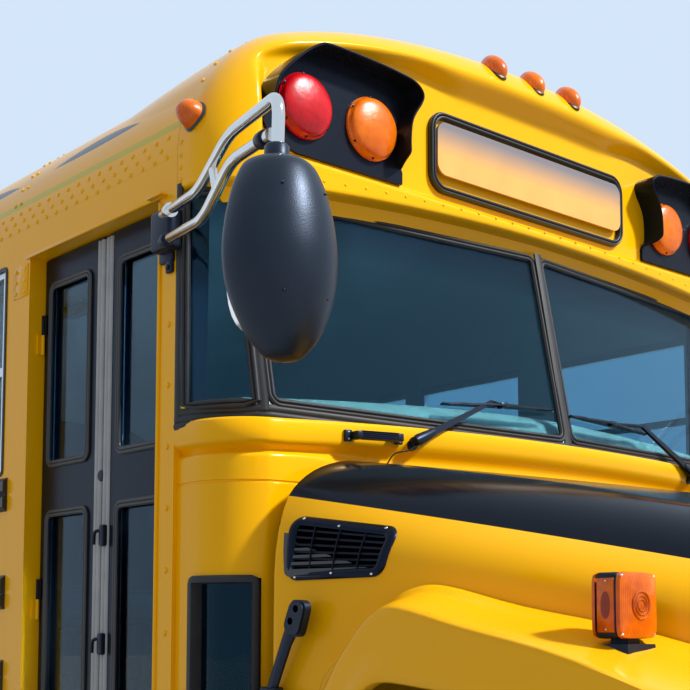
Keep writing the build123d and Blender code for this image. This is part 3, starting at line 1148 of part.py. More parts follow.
# Grille and headlamps in the nose of the hood, with the louvred vents on its sides
GRILLE_BARS = 6
GRILLE_FRAME = 34
grille = box(-GRILLE_HALF + SEAT, GRILLE_HALF - SEAT, HOOD_FRONT - 12, HOOD_FRONT + 20,
             GRILLE_LOW + SEAT, GRILLE_HIGH - SEAT)
bar_pitch = (GRILLE_HIGH - GRILLE_LOW - GRILLE_FRAME) / GRILLE_BARS
for i in range(GRILLE_BARS):
    z = GRILLE_LOW + GRILLE_FRAME + i * bar_pitch
    grille -= box(-GRILLE_HALF + 40, GRILLE_HALF - 40, HOOD_FRONT - 13, HOOD_FRONT + 21,
                  z, z + bar_pitch - GRILLE_FRAME)
write("grille", grille, both(vent))
headlamp = box(640, 900, HOOD_FRONT - 24, HOOD_FRONT - SEAT, 920, 1070)
headlamp = fillet(headlamp.edges().filter_by(Axis.Y), 30)
write("headlamps", both(headlamp))
SIGNAL_WIDTH = 100
SIGNAL_DEPTH = 80
SIGNAL_LOW = 1340
SIGNAL_HEIGHT = 127
SIGNAL_X = 1000
SIGNAL_SOFT = 9
signal_y = FRONT_AXLE + 12
signal = box(SIGNAL_X - SIGNAL_WIDTH / 2, SIGNAL_X + SIGNAL_WIDTH / 2, signal_y - SIGNAL_DEPTH / 2,
             signal_y + SIGNAL_DEPTH / 2, SIGNAL_LOW, SIGNAL_LOW + SIGNAL_HEIGHT)
signal = fillet(signal.edges(), SIGNAL_SOFT)
signal += box(SIGNAL_X - 30, SIGNAL_X + 30, signal_y - 30, signal_y + 30, SIGNAL_LOW - 60, SIGNAL_LOW)
signal -= half_skin
write("turn_signals", both(signal))

# Cross-view mirrors: convex heads on stalks at the front of the fenders
VIEW_R = 135
VIEW_AT = (1010, 130, 1640)
view_y = HOOD_FRONT + VIEW_AT[1]
view_head = Pos(VIEW_AT[0], view_y, VIEW_AT[2]) * Sphere(VIEW_R)
view_head -= box(0, HALF, view_y + 20, view_y + 2 * VIEW_R, 1000, 2000)
stalk = rod((VIEW_AT[0], view_y + 10, 1100), (VIEW_AT[0], view_y + 10, VIEW_AT[2] - 60), 12)
brace = rod((VIEW_AT[0] - 20, view_y + 330, 1150), (VIEW_AT[0], view_y + 12, VIEW_AT[2] - 150), 10)
view_mirror = view_head + (stalk + brace - half_skin)
write("crossview_mirrors", both(view_mirror))

# Seats: two rows of benches with an aisle between, on wall rails and aisle legs
SEAT_WIDTH = 985
SEAT_WALL_GAP = 25
SEAT_HEIGHT = 430
SEAT_BACK_TOP = 1100
SEAT_DEPTH = 400
SEAT_ROWS = 10
seats = []
legs = []
seat_x1 = INNER - SEAT_WALL_GAP
seat_x0 = seat_x1 - SEAT_WIDTH
for i in range(SEAT_ROWS):
    y = WINDOWS_Y + 360 + i * WINDOW_PITCH
    profile = [
        (y, FLOOR_TOP + SEAT_HEIGHT - 110), (y + SEAT_DEPTH + 90, FLOOR_TOP + SEAT_HEIGHT - 110),
        (y + SEAT_DEPTH + 150, FLOOR_TOP + SEAT_BACK_TOP), (y + SEAT_DEPTH + 70, FLOOR_TOP + SEAT_BACK_TOP),
        (y + SEAT_DEPTH, FLOOR_TOP + SEAT_HEIGHT), (y, FLOOR_TOP + SEAT_HEIGHT),
    ]
    seats += both(prism_x(seat_x0, seat_x1, *profile))
    leg_top = FLOOR_TOP + SEAT_HEIGHT - 110 - SEAT
    leg = box(seat_x0 + 60, seat_x0 + 100, y + 60, y + 100, FLOOR_TOP + SEAT, leg_top)
    leg += box(seat_x0 + 60, seat_x0 + 100, y + 380, y + 420, FLOOR_TOP + SEAT, leg_top)
    leg += box(seat_x0 + 60, seat_x0 + 100, y + 60, y + 420, leg_top - 30, leg_top)
    legs += both(leg)
write("passenger_seats", seats)
write("seat_legs", legs)

# Driver's place: seat on its pedestal, dashboard and steering wheel
driver_x = 610
driver_y = LAMP_Y + 620
seat_profile = [
    (driver_y, FLOOR_TOP + 380), (driver_y + 440, FLOOR_TOP + 380), (driver_y + 560, FLOOR_TOP + 1120),
    (driver_y + 470, FLOOR_TOP + 1120), (driver_y + 390, FLOOR_TOP + 490), (driver_y, FLOOR_TOP + 490),
]
driver_seat = prism_x(driver_x - 260, driver_x + 260, *seat_profile)
driver_seat += box(driver_x - 160, driver_x + 160, driver_y + 60, driver_y + 360, FLOOR_TOP + SEAT, FLOOR_TOP + 381)
write("driver_seat", driver_seat)
dash_back = LAMP_Y + 190
dash = prism_x(-INNER + 300, INNER, (cowl_y, 1350), (dash_back - 60, 1350), (dash_back, 1640),
               (dash_back - 80, 1790), (cowl_y, 1830))
dash &= extrude(plan(1300, WALL + SEAT, cowl_y, dash_back + 1), amount=600, dir=(0, 0, 1))
write("dashboard", dash)
wheel_centre = (driver_x, LAMP_Y + 330, 1810)
rake = Plane(origin=wheel_centre, z_dir=(0, 0.55, 0.83))
steering = rake * Torus(215, 14)
for angle in (90, 210, 330):
    spoke = rake * Rot(0, 0, angle) * Pos(108, 0, 0) * Box(216, 24, 12)
    steering += spoke
steering += rake * Cylinder(40, 30)
column_foot = (driver_x, LAMP_Y + 150, 1538)
steering += rod(wheel_centre, column_foot, 24)
steering -= dash
write("steering_wheel", steering)

# Stop arm: blank octagon folded flat on the left wall, on a bracket
STOP_SIZE = 450
STOP_Z = 1622
STOP_LUG = 62
stop_y = WINDOWS_Y + 60
stop_x = HALF + 52
octagon = extrude(Plane(origin=(stop_x, stop_y + 60 + STOP_SIZE / 2, STOP_Z), z_dir=(1, 0, 0)) *
                  RegularPolygon(STOP_SIZE / 2, 8, major_radius=False, rotation=22.5), amount=12)
arm_plate = box(stop_x, stop_x + 12, stop_y, stop_y + 120, STOP_Z - STOP_LUG, STOP_Z + STOP_LUG)
pin = rod((stop_x + 6, stop_y, STOP_Z - STOP_LUG), (stop_x + 6, stop_y, STOP_Z + STOP_LUG), 12)
write("stop_arm", octagon + arm_plate + pin)
mount = box(HALF + SEAT, stop_x + 20, stop_y - 60, stop_y + 12, STOP_Z - STOP_LUG - 25, STOP_Z + STOP_LUG + 25)
mount -= box(HALF + 20, stop_x + 21, stop_y - 25, stop_y + 13, STOP_Z - STOP_LUG - SEAT, STOP_Z + STOP_LUG + SEAT)
write("stop_arm_mount", mount)
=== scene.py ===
import math
import random
import bpy
import bmesh
import numpy as np
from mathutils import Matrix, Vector


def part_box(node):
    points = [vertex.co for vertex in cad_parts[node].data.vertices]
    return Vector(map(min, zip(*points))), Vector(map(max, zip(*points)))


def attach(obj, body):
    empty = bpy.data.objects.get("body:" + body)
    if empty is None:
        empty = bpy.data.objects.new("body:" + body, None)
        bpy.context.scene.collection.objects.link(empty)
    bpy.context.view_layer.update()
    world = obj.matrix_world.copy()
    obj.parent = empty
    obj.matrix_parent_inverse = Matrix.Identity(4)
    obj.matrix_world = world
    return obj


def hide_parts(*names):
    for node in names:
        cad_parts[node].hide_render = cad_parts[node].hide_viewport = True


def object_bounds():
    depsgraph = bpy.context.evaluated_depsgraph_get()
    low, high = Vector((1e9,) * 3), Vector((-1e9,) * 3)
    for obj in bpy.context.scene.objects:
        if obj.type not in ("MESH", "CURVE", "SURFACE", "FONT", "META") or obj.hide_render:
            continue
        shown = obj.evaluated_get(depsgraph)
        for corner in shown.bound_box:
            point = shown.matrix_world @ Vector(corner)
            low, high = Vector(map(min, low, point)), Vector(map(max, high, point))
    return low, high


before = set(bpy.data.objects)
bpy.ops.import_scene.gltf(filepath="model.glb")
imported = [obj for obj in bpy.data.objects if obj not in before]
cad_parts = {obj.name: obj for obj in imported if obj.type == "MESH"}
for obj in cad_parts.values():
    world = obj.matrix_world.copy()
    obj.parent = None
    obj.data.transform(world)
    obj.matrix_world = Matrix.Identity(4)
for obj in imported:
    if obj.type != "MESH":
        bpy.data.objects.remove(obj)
cad_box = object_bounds()
scene = bpy.context.scene
random.seed(7)

# Camera: stands on the ground right of the bus's nose at eye height, looking up and back along the body.
CAMERA_AT = (-3.0268, -6.1997, 1.3529)
CAMERA_YAW = 41.54
CAMERA_PITCH = 5.0
camera_data = bpy.data.cameras.new("camera")
camera_data.sensor_width = 36
camera_data.lens = 67.96
camera_data.shift_x = -0.0268
camera_data.shift_y = 0.2508
camera_data.clip_end = 200
camera = bpy.data.objects.new("camera", camera_data)
scene.collection.objects.link(camera)
camera.location = CAMERA_AT
camera.rotation_euler = (math.radians(90 + CAMERA_PITCH), 0, -math.radians(CAMERA_YAW))
scene.camera = camera
scene.view_settings.view_transform = "Standard"

# Studio: a pale floor, a pale surround and one broad key light from the front left of the bus, high up.
WORLD_LIGHT = 0.48
WORLD_PALE = (0.66, 0.79, 0.95, 1)
KEY_FROM = (0.45, -0.72, 0.78)
KEY_STRENGTH = 4.7
KEY_SPREAD = 6
world = bpy.data.worlds.new("studio")
scene.world = world
world.use_nodes = True
nodes, links = world.node_tree.nodes, world.node_tree.links
nodes.clear()
lit = nodes.new("ShaderNodeBackground")
lit.inputs["Color"].default_value = (1, 1, 1, 1)
lit.inputs["Strength"].default_value = WORLD_LIGHT
seen = nodes.new("ShaderNodeBackground")
seen.inputs["Color"].default_value = WORLD_PALE
path = nodes.new("ShaderNodeLightPath")
either = nodes.new("ShaderNodeMath")
either.operation = "MAXIMUM"
any_ray = nodes.new("ShaderNodeMath")
any_ray.operation = "MAXIMUM"
chosen = nodes.new("ShaderNodeMixShader")
world_out = nodes.new("ShaderNodeOutputWorld")
links.new(path.outputs["Is Camera Ray"], either.inputs[0])
links.new(path.outputs["Is Glossy Ray"], either.inputs[1])
links.new(either.outputs[0], any_ray.inputs[0])
links.new(path.outputs["Is Transmission Ray"], any_ray.inputs[1])
links.new(any_ray.outputs[0], chosen.inputs[0])
links.new(lit.outputs[0], chosen.inputs[1])
links.new(seen.outputs[0], chosen.inputs[2])
links.new(chosen.outputs[0], world_out.inputs[0])
key = bpy.data.lights.new("key_light", "SUN")
key.energy = KEY_STRENGTH
key.angle = math.radians(KEY_SPREAD)
key_light = bpy.data.objects.new("key_light", key)
key_light.rotation_mode = "QUATERNION"
key_light.rotation_quaternion = Vector(KEY_FROM).to_track_quat("Z", "Y")
scene.collection.objects.link(key_light)
FLOOR_HALF = 60
floor_mesh = bpy.data.meshes.new("studio_floor")
floor_mesh.from_pydata([(-FLOOR_HALF, -FLOOR_HALF, 0), (FLOOR_HALF, -FLOOR_HALF, 0),
                        (FLOOR_HALF, FLOOR_HALF, 0), (-FLOOR_HALF, FLOOR_HALF, 0)], [], [(0, 1, 2, 3)])
studio_floor = bpy.data.objects.new("studio_floor", floor_mesh)
scene.collection.objects.link(studio_floor)
pale = bpy.data.materials.new("pale_floor")
pale.use_nodes = True
FLOOR_SEEN = (0.6, 0.63, 0.66, 1)
FLOOR_BOUNCE = (0.3, 0.3, 0.3, 1)
shade = pale.node_tree.nodes.new("ShaderNodeMix")
shade.data_type = "RGBA"
shade.inputs[6].default_value = FLOOR_BOUNCE
shade.inputs[7].default_value = FLOOR_SEEN
floor_ray = pale.node_tree.nodes.new("ShaderNodeLightPath")
floor_either = pale.node_tree.nodes.new("ShaderNodeMath")
floor_either.operation = "MAXIMUM"
floor_any = pale.node_tree.nodes.new("ShaderNodeMath")
floor_any.operation = "MAXIMUM"
pale.node_tree.links.new(floor_ray.outputs["Is Camera Ray"], floor_either.inputs[0])
pale.node_tree.links.new(floor_ray.outputs["Is Glossy Ray"], floor_either.inputs[1])
pale.node_tree.links.new(floor_either.outputs[0], floor_any.inputs[0])
pale.node_tree.links.new(floor_ray.outputs["Is Transmission Ray"], floor_any.inputs[1])
pale.node_tree.links.new(floor_any.outputs[0], shade.inputs[0])
pale.node_tree.links.new(shade.outputs[2], pale.node_tree.nodes["Principled BSDF"].inputs["Base Color"])
pale.node_tree.nodes["Principled BSDF"].inputs["Roughness"].default_value = 0.85
floor_mesh.materials.append(pale)

# Body shell: steel panels in gloss yellow enamel, riveted to bows, with lap seams and reflective tape.
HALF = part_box("roof")[1].x
SEAM_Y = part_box("door_frame")[0].y
LAMP_Y = SEAM_Y - 0.135
WINDOWS_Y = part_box("side_wall_right")[0].y
WINDOWS_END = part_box("side_wall_right")[1].y
WINDOW_COUNT = 11
WINDOW_PITCH = (WINDOWS_END - WINDOWS_Y) / WINDOW_COUNT


def group(name, inputs, outputs):
    """Empty shader group with named float or colour sockets"""
    tree = bpy.data.node_groups.new(name, "ShaderNodeTree")
    for label, kind, value in inputs:
        socket = tree.interface.new_socket(label, in_out="INPUT", socket_type=kind)
        socket.default_value = value
    for label, kind in outputs:
        tree.interface.new_socket(label, in_out="OUTPUT", socket_type=kind)
    return tree, tree.nodes.new("NodeGroupInput"), tree.nodes.new("NodeGroupOutput")


def node(tree, kind, **values):
    """Shader node with its settings and default inputs"""
    made = tree.nodes.new(kind)
    for label, value in values.items():
        if hasattr(made, label):
            setattr(made, label, value)
        else:
            made.inputs[label.replace("_", " ")].default_value = value
    return made


def math_node(tree, operation, first, second=0.0, third=None):
    made = node(tree, "ShaderNodeMath", operation=operation)
    for i, value in enumerate((first, second) if third is None else (first, second, third)):
        if isinstance(value, (int, float)):
            made.inputs[i].default_value = value
        else:
            tree.links.new(value, made.inputs[i])
    return made.outputs[0]


def mix_color(tree, share, first, second):
    """Colour between two colours; each may be a fixed colour or a socket"""
    made = node(tree, "ShaderNodeMix", data_type="RGBA")
    for i, value in ((0, share), (6, first), (7, second)):
        if isinstance(value, (tuple, float, int)):
            made.inputs[i].default_value = value
        else:
            tree.links.new(value, made.inputs[i])
    return made.outputs[2]


def ramp(tree, value, low, high):
    """0 to 1 as a value runs from low to high"""
    made = node(tree, "ShaderNodeMapRange")
    made.inputs["From Min"].default_value = low
    made.inputs["From Max"].default_value = high
    tree.links.new(value, made.inputs["Value"])
    return made.outputs[0]


# One group for dust and tone: a slow change of tone, fine mottling and road dust that gathers low down
DUST_COLOR = (0.33, 0.29, 0.23, 1)
tone_tree, tone_in, tone_out = group(
    "tone_and_dust",
    [("Color", "NodeSocketColor", (1, 1, 1, 1)), ("Variation", "NodeSocketFloat", 0.06),
     ("Scale", "NodeSocketFloat", 3.0), ("Dust", "NodeSocketFloat", 0.1),
     ("Roughness", "NodeSocketFloat", 0.3)],
    [("Color", "NodeSocketColor"), ("Roughness", "NodeSocketFloat")])
place = node(tone_tree, "ShaderNodeTexCoord")
slow = node(tone_tree, "ShaderNodeTexNoise", Detail=4.0)
fine = node(tone_tree, "ShaderNodeTexNoise", Scale=140.0, Detail=3.0)
tone_tree.links.new(place.outputs["Object"], slow.inputs["Vector"])
tone_tree.links.new(place.outputs["Object"], fine.inputs["Vector"])
tone_tree.links.new(tone_in.outputs["Scale"], slow.inputs["Scale"])
split = node(tone_tree, "ShaderNodeSeparateXYZ")
tone_tree.links.new(place.outputs["Object"], split.inputs[0])
both_noise = math_node(tone_tree, "MULTIPLY_ADD", fine.outputs["Fac"], 0.35, slow.outputs["Fac"])
swing = math_node(tone_tree, "SUBTRACT", both_noise, 0.67)
level = math_node(tone_tree, "MULTIPLY_ADD", swing, tone_in.outputs["Variation"], 1.0)
toned = node(tone_tree, "ShaderNodeVectorMath", operation="SCALE")
tone_tree.links.new(tone_in.outputs["Color"], toned.inputs[0])
tone_tree.links.new(level, toned.inputs["Scale"])
low_down = ramp(tone_tree, split.outputs["Z"], 1.5, 0.25)
patchy = math_node(tone_tree, "MULTIPLY", low_down, slow.outputs["Fac"])
dusty = math_node(tone_tree, "MULTIPLY", patchy, tone_in.outputs["Dust"])
dusted = mix_color(tone_tree, dusty, toned.outputs[0], DUST_COLOR)
tone_tree.links.new(dusted, tone_out.inputs["Color"])
rough_base = math_node(tone_tree, "MULTIPLY_ADD", swing, 0.25, 1.0)
rough_clean = math_node(tone_tree, "MULTIPLY", tone_in.outputs["Roughness"], rough_base)
tone_tree.links.new(math_node(tone_tree, "ADD", rough_clean, dusty), tone_out.inputs["Roughness"])

# One group for relief: orange peel of sprayed paint or moulding grain, plus a long wave in the sheet
relief_tree, relief_in, relief_out = group(
    "sheet_relief",
    [("Grain Scale", "NodeSocketFloat", 260.0), ("Grain", "NodeSocketFloat", 0.3),
     ("Wave Scale", "NodeSocketFloat", 3.0), ("Wave", "NodeSocketFloat", 0.5)],
    [("Height", "NodeSocketFloat")])
relief_place = node(relief_tree, "ShaderNodeTexCoord")
peel = node(relief_tree, "ShaderNodeTexNoise", Detail=2.0)
wave = node(relief_tree, "ShaderNodeTexNoise", Detail=1.0)
for texture, label in ((peel, "Grain Scale"), (wave, "Wave Scale")):
    relief_tree.links.new(relief_place.outputs["Object"], texture.inputs["Vector"])
    relief_tree.links.new(relief_in.outputs[label], texture.inputs["Scale"])
peel_height = math_node(relief_tree, "MULTIPLY", peel.outputs["Fac"], relief_in.outputs["Grain"])
relief_height = math_node(relief_tree, "MULTIPLY_ADD", wave.outputs["Fac"], relief_in.outputs["Wave"], peel_height)
relief_tree.links.new(relief_height, relief_out.inputs["Height"])


def finish(name, color, roughness, metallic=0.0, variation=0.06, tone_scale=3.0, dust=0.1, grain=(260.0, 0.3),
           wave=(3.0, 0.5), bump=0.05, distance=0.002, coat=0.0, specular=0.5, sheen=(1.0, 1.0, 1.0)):
    """Opaque material: tone and dust drive colour and roughness, the relief drives the normal"""
    made = bpy.data.materials.new(name)
    made.use_nodes = True
    tree = made.node_tree
    shader = tree.nodes["Principled BSDF"]
    shader.inputs["Metallic"].default_value = metallic
    shader.inputs["Coat Weight"].default_value = coat
    shader.inputs["Coat Roughness"].default_value = 0.05
    shader.inputs["Specular IOR Level"].default_value = specular
    # Specular Tint takes the sheen colour; where it is not white it is a painted reflection colour.
    shader.inputs["Specular Tint"].default_value = (*sheen, 1)
    tone = node(tree, "ShaderNodeGroup")
    tone.node_tree = tone_tree
    tone.inputs["Color"].default_value = (*color, 1)
    tone.inputs["Variation"].default_value = variation
    tone.inputs["Scale"].default_value = tone_scale
    tone.inputs["Dust"].default_value = dust
    tone.inputs["Roughness"].default_value = roughness
    tree.links.new(tone.outputs["Color"], shader.inputs["Base Color"])
    tree.links.new(tone.outputs["Roughness"], shader.inputs["Roughness"])
    relief = node(tree, "ShaderNodeGroup")
    relief.node_tree = relief_tree
    for label, value in (("Grain Scale", grain[0]), ("Grain", grain[1]), ("Wave Scale", wave[0]), ("Wave", wave[1])):
        relief.inputs[label].default_value = value
    raised = node(tree, "ShaderNodeBump", Strength=bump, Distance=distance)
    tree.links.new(relief.outputs["Height"], raised.inputs["Height"])
    tree.links.new(raised.outputs["Normal"], shader.inputs["Normal"])
    return made


def places(tree):
    """Object coordinates of a material as separate x, y and z"""
    spot = node(tree, "ShaderNodeTexCoord")
    parts = node(tree, "ShaderNodeSeparateXYZ")
    tree.links.new(spot.outputs["Object"], parts.inputs[0])
    return spot.outputs["Object"], parts.outputs["X"], parts.outputs["Y"], parts.outputs["Z"]


def paint_node(name, material):
    """Puts a material on a CAD node that stays as it is"""
    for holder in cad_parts[name].material_slots:
        holder.material = material


def piece(name, shape, material, body="root", sharp=35, weld=0.0):
    """Mesh object from (points, faces), shaded smooth except at its edges, riding on a body"""
    points, faces = shape
    mesh = bpy.data.meshes.new(name)
    mesh.from_pydata([tuple(p) for p in points], [], [tuple(f) for f in faces])
    if weld:
        welded = bmesh.new()
        welded.from_mesh(mesh)
        bmesh.ops.remove_doubles(welded, verts=welded.verts, dist=weld)
        bmesh.ops.recalc_face_normals(welded, faces=welded.faces)
        welded.to_mesh(mesh)
        welded.free()
    mesh.validate()
    mesh.materials.append(material)
    mesh.shade_smooth()
    mesh.set_sharp_from_angle(angle=math.radians(sharp))
    made = bpy.data.objects.new(name, mesh)
    scene.collection.objects.link(made)
    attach(made, body)
    return made


def join(*shapes):
    """Several (points, faces) shapes as one"""
    points, faces = [], []
    for shape in shapes:
        start = len(points)
        points.extend(tuple(p) for p in shape[0])
        faces.extend(tuple(i + start for i in f) for f in shape[1])
    return points, faces


def flip(shape):
    """Mirror image across the bus, with its faces turned the right way out"""
    points, faces = shape
    return [(-x, y, z) for x, y, z in points], [tuple(reversed(f)) for f in faces]


def pair(shape):
    return join(shape, flip(shape))


def dome(at, normal, radius, height, sides=8):
    """Round rivet head"""
    at, normal = Vector(at), Vector(normal).normalized()
    across = normal.orthogonal().normalized()
    other = normal.cross(across)
    points, faces = [], []
    for share, lift in ((1.0, -0.3), (0.85, 0.62)):
        for i in range(sides):
            angle = 2 * math.pi * i / sides
            out = across * math.cos(angle) + other * math.sin(angle)
            points.append(at + out * radius * share + normal * height * lift)
    points.append(at + normal * height)
    for i in range(sides):
        j = (i + 1) % sides
        faces.append((i, j, sides + j, sides + i))
        faces.append((sides + i, sides + j, 2 * sides))
    return [tuple(p) for p in points], faces


ROOF_CORNER_R = 0.345
ROOF_CROWN_R = 3.7
EAVES = 2.58
CORNER_X = HALF - ROOF_CORNER_R
CROWN_Z = EAVES - math.sqrt((ROOF_CROWN_R - ROOF_CORNER_R) ** 2 - CORNER_X ** 2)
CORNER_ANGLE = math.atan2(EAVES - CROWN_Z, CORNER_X)


def roof_point(angle, outward=0.0):
    """Point (x, z) and outward direction on the roof section at an angle from level, on the left half"""
    if angle < CORNER_ANGLE:
        centre, radius = (CORNER_X, EAVES), ROOF_CORNER_R + outward
    else:
        centre, radius = (0.0, CROWN_Z), ROOF_CROWN_R + outward
    way = (math.cos(angle), math.sin(angle))
    return centre[0] + radius * way[0], centre[1] + radius * way[1], way


def roof_arc(arc):
    """Angle on the roof section at a distance along it from the eaves"""
    angle = arc / ROOF_CORNER_R
    if angle > CORNER_ANGLE:
        angle = CORNER_ANGLE + (arc - CORNER_ANGLE * ROOF_CORNER_R) / ROOF_CROWN_R
    return angle


YELLOW = (0.97, 0.485, 0.001)
# Painted reflection colour: the yellow paints' reflections are tinted warm.
PAINTED_WARM_SHEEN = (1.0, 0.72, 0.3)
# Painted reflection colour: the black finishes' reflections are tinted blue, standing in for a sky reflection.
PAINTED_SKY_SHEEN = (0.3, 0.45, 0.85)
yellow_enamel = finish("yellow_enamel", YELLOW, 0.22, variation=0.07, dust=0.3, wave=(2.2, 1.2), bump=0.12, coat=0.04,
                       specular=0.3, sheen=PAINTED_WARM_SHEEN)
yellow_shell = finish("yellow_shell", YELLOW, 0.2, variation=0.05, dust=0.2, wave=(5.0, 0.5), bump=0.05, coat=0.05,
                      specular=0.3, sheen=PAINTED_WARM_SHEEN)


def band_mask(tree, value, low, high):
    above = math_node(tree, "GREATER_THAN", value, low)
    below = math_node(tree, "LESS_THAN", value, high)
    return math_node(tree, "MULTIPLY", above, below)


# The roof panels carry yellow-green tape above the rivets and one dark pointed flash in each bay
TAPE = (2.658, 2.68)
TAPE_COLOR = (0.62, 0.5, 0.01, 1)
FLASH_LOW = 2.748
FLASH_RISE = 0.042
FLASH_SHARE = 0.8
FLASH_COLOR = (0.012, 0.018, 0.03, 1)
LINER_COLOR = (0.6, 0.7, 0.7, 1)
SKIN = 0.012


def lined(made, inside_of):
    """Paints the inner faces of a shell's material in the grey-green of the cabin lining"""
    tree = made.node_tree
    shader = tree.nodes["Principled BSDF"]
    _, x, y, z = places(tree)
    base = shader.inputs["Base Color"].links[0].from_socket
    tree.links.new(mix_color(tree, inside_of(tree, x, z), base, LINER_COLOR), shader.inputs["Base Color"])
    return made


def inside_roof(tree, x, z):
    side = math_node(tree, "ABSOLUTE", x)
    out = math_node(tree, "SUBTRACT", side, CORNER_X)
    rise = math_node(tree, "MAXIMUM", math_node(tree, "SUBTRACT", z, EAVES), 0.0)
    corner = math_node(tree, "SQRT", math_node(tree, "ADD", math_node(tree, "MULTIPLY", out, out),
                                              math_node(tree, "MULTIPLY", rise, rise)))
    high = math_node(tree, "SUBTRACT", z, CROWN_Z)
    crown = math_node(tree, "SQRT", math_node(tree, "ADD", math_node(tree, "MULTIPLY", side, side),
                                             math_node(tree, "MULTIPLY", high, high)))
    in_corner = math_node(tree, "GREATER_THAN", side, HALF - SKIN * 20)
    under_corner = math_node(tree, "LESS_THAN", corner, ROOF_CORNER_R - SKIN)
    under_crown = math_node(tree, "LESS_THAN", crown, ROOF_CROWN_R - SKIN)
    both = math_node(tree, "MULTIPLY", in_corner, under_corner)
    other = math_node(tree, "MULTIPLY", math_node(tree, "SUBTRACT", 1.0, in_corner), under_crown)
    return math_node(tree, "ADD", both, other)


def inside_wall(tree, x, z):
    return math_node(tree, "LESS_THAN", math_node(tree, "ABSOLUTE", x), HALF - SKIN)


wall_enamel = lined(finish("wall_enamel", YELLOW, 0.22, variation=0.07, dust=0.3, wave=(2.2, 1.2), bump=0.12, coat=0.04,
                           specular=0.3, sheen=PAINTED_WARM_SHEEN), inside_wall)
roof_enamel = finish("roof_enamel", YELLOW, 0.22, variation=0.07, dust=0.0, wave=(2.2, 1.2), bump=0.12, coat=0.04,
                     specular=0.3, sheen=PAINTED_WARM_SHEEN)
tree = roof_enamel.node_tree
shader = tree.nodes["Principled BSDF"]
_, x_at, y_at, z_at = places(tree)
tape = band_mask(tree, z_at, *TAPE)
along_bay = math_node(tree, "ADD", y_at, -(WINDOWS_Y - WINDOW_PITCH * 20.97))
share = math_node(tree, "FRACT", math_node(tree, "DIVIDE", along_bay, WINDOW_PITCH))
inner = math_node(tree, "MULTIPLY", share, 1 / FLASH_SHARE)
hump = math_node(tree, "MULTIPLY", math_node(tree, "SUBTRACT", 1.0, inner), inner)
top_edge = math_node(tree, "MULTIPLY_ADD", hump, 4 * FLASH_RISE, FLASH_LOW)
low_edge = math_node(tree, "MULTIPLY_ADD", hump, -0.8 * FLASH_RISE, FLASH_LOW + 0.012)
over = math_node(tree, "GREATER_THAN", z_at, low_edge)
under = math_node(tree, "LESS_THAN", z_at, top_edge)
flash = math_node(tree, "MULTIPLY", over, under)
shown = math_node(tree, "MULTIPLY", flash, math_node(tree, "GREATER_THAN", hump, 0.0))
base = shader.inputs["Base Color"].links[0].from_socket
taped = mix_color(tree, tape, base, TAPE_COLOR)
tree.links.new(mix_color(tree, shown, taped, FLASH_COLOR), shader.inputs["Base Color"])
lined(roof_enamel, inside_roof)
for name in ("skirts", "door_frame", "rear_wall", "emergency_door"):
    paint_node(name, yellow_enamel)
for name in ("side_wall_left", "side_wall_right"):
    paint_node(name, wall_enamel)
paint_node("roof", roof_enamel)

RIVET_R = 0.0075
RIVET_H = 0.004
ARC_PITCH = 0.062
rivet_heads = []
for row_z, pitch, shift in ((2.64, 0.0592, 0.0), (2.612, 0.0592, 0.03), (2.586, 0.0592, 0.0)):
    angle = math.asin((row_z - EAVES) / ROOF_CORNER_R)
    x, z, way = roof_point(angle)
    count = int((WINDOWS_END - SEAM_Y - 0.06) / pitch)
    for i in range(count):
        rivet_heads.append(dome((x, SEAM_Y + 0.05 + shift + i * pitch, z), (way[0], 0, way[1]), RIVET_R, RIVET_H))
for bay in range(WINDOW_COUNT + 1):
    for offset in (-0.018, 0.018):
        y = WINDOWS_Y + bay * WINDOW_PITCH + offset
        if y > WINDOWS_END - 0.02:
            continue
        arc = 0.1
        while arc < HALF + 0.25:
            angle = roof_arc(arc)
            if angle < math.pi / 2:
                x, z, way = roof_point(angle)
                rivet_heads.append(dome((x, y, z), (way[0], 0, way[1]), RIVET_R, RIVET_H, 6))
            arc += ARC_PITCH
piece("roof_rivets", pair(join(*rivet_heads)), roof_enamel, sharp=60)


def grid(rows, close=False):
    """Quads between rows of points that all have the same count; close joins each row's end to its start"""
    points = [tuple(p) for row in rows for p in row]
    count = len(rows[0])
    span = count if close else count - 1
    faces = []
    for i in range(len(rows) - 1):
        for j in range(span):
            k = (j + 1) % count
            faces.append((i * count + j, i * count + k, (i + 1) * count + k, (i + 1) * count + j))
    return points, faces


def smooth(value):
    t = min(max(value, 0.0), 1.0)
    return t * t * (3 - 2 * t)


def mix(a, b, share):
    return a + (b - a) * share


def at(x, y, z):
    """Point whose y is measured back from the plane of the warning lamps"""
    return (x, LAMP_Y + y, z)


# Front cap: one moulding in gel-coated fibreglass, screwed to the cowl posts and riveted to the first roof bow.
# A soft brow runs over a shallow pocket that holds the sign and the lamp plates.
CAP_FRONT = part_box("front_cap")[0].y
CAP_ROUND = 0.15
POCKET_DEPTH = 0.058
CAP_LIP = 2.56
CAP_LIP_DROP = 0.07
CAP_UNDER = 0.045
CAP_INNER = 0.06
CAP_DROP = 0.035
GLASS_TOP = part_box("rubber_surrounds")[1].z
CAP_RISE = 0.074
CAP_RISE_REACH = 1.19
FAIRING = 0.6


def lip_height(x):
    return CAP_LIP - CAP_LIP_DROP * (min(abs(x), 1.1) / 1.1) ** 2


def cap_rise(x):
    """How far the cap's brow stands above the line of the roof"""
    return CAP_RISE * max(0.0, 1 - (abs(x) / CAP_RISE_REACH) ** 5)


def pocket_mask(x, z):
    brow = 3.01 - 0.05 * (abs(x) / 0.77) ** 3
    cove = mix(0.08, 0.042, smooth((abs(x) - 0.3) / 0.25))
    return smooth((z - 2.574) / 0.038) * smooth((brow - z) / cove) * smooth((1.098 - abs(x)) / 0.05)


def cap_point(x, y, z):
    """Moves a point of the plain shell back into the pocket"""
    return (x, mix(y, max(y, CAP_FRONT + POCKET_DEPTH), pocket_mask(x, z)), z)


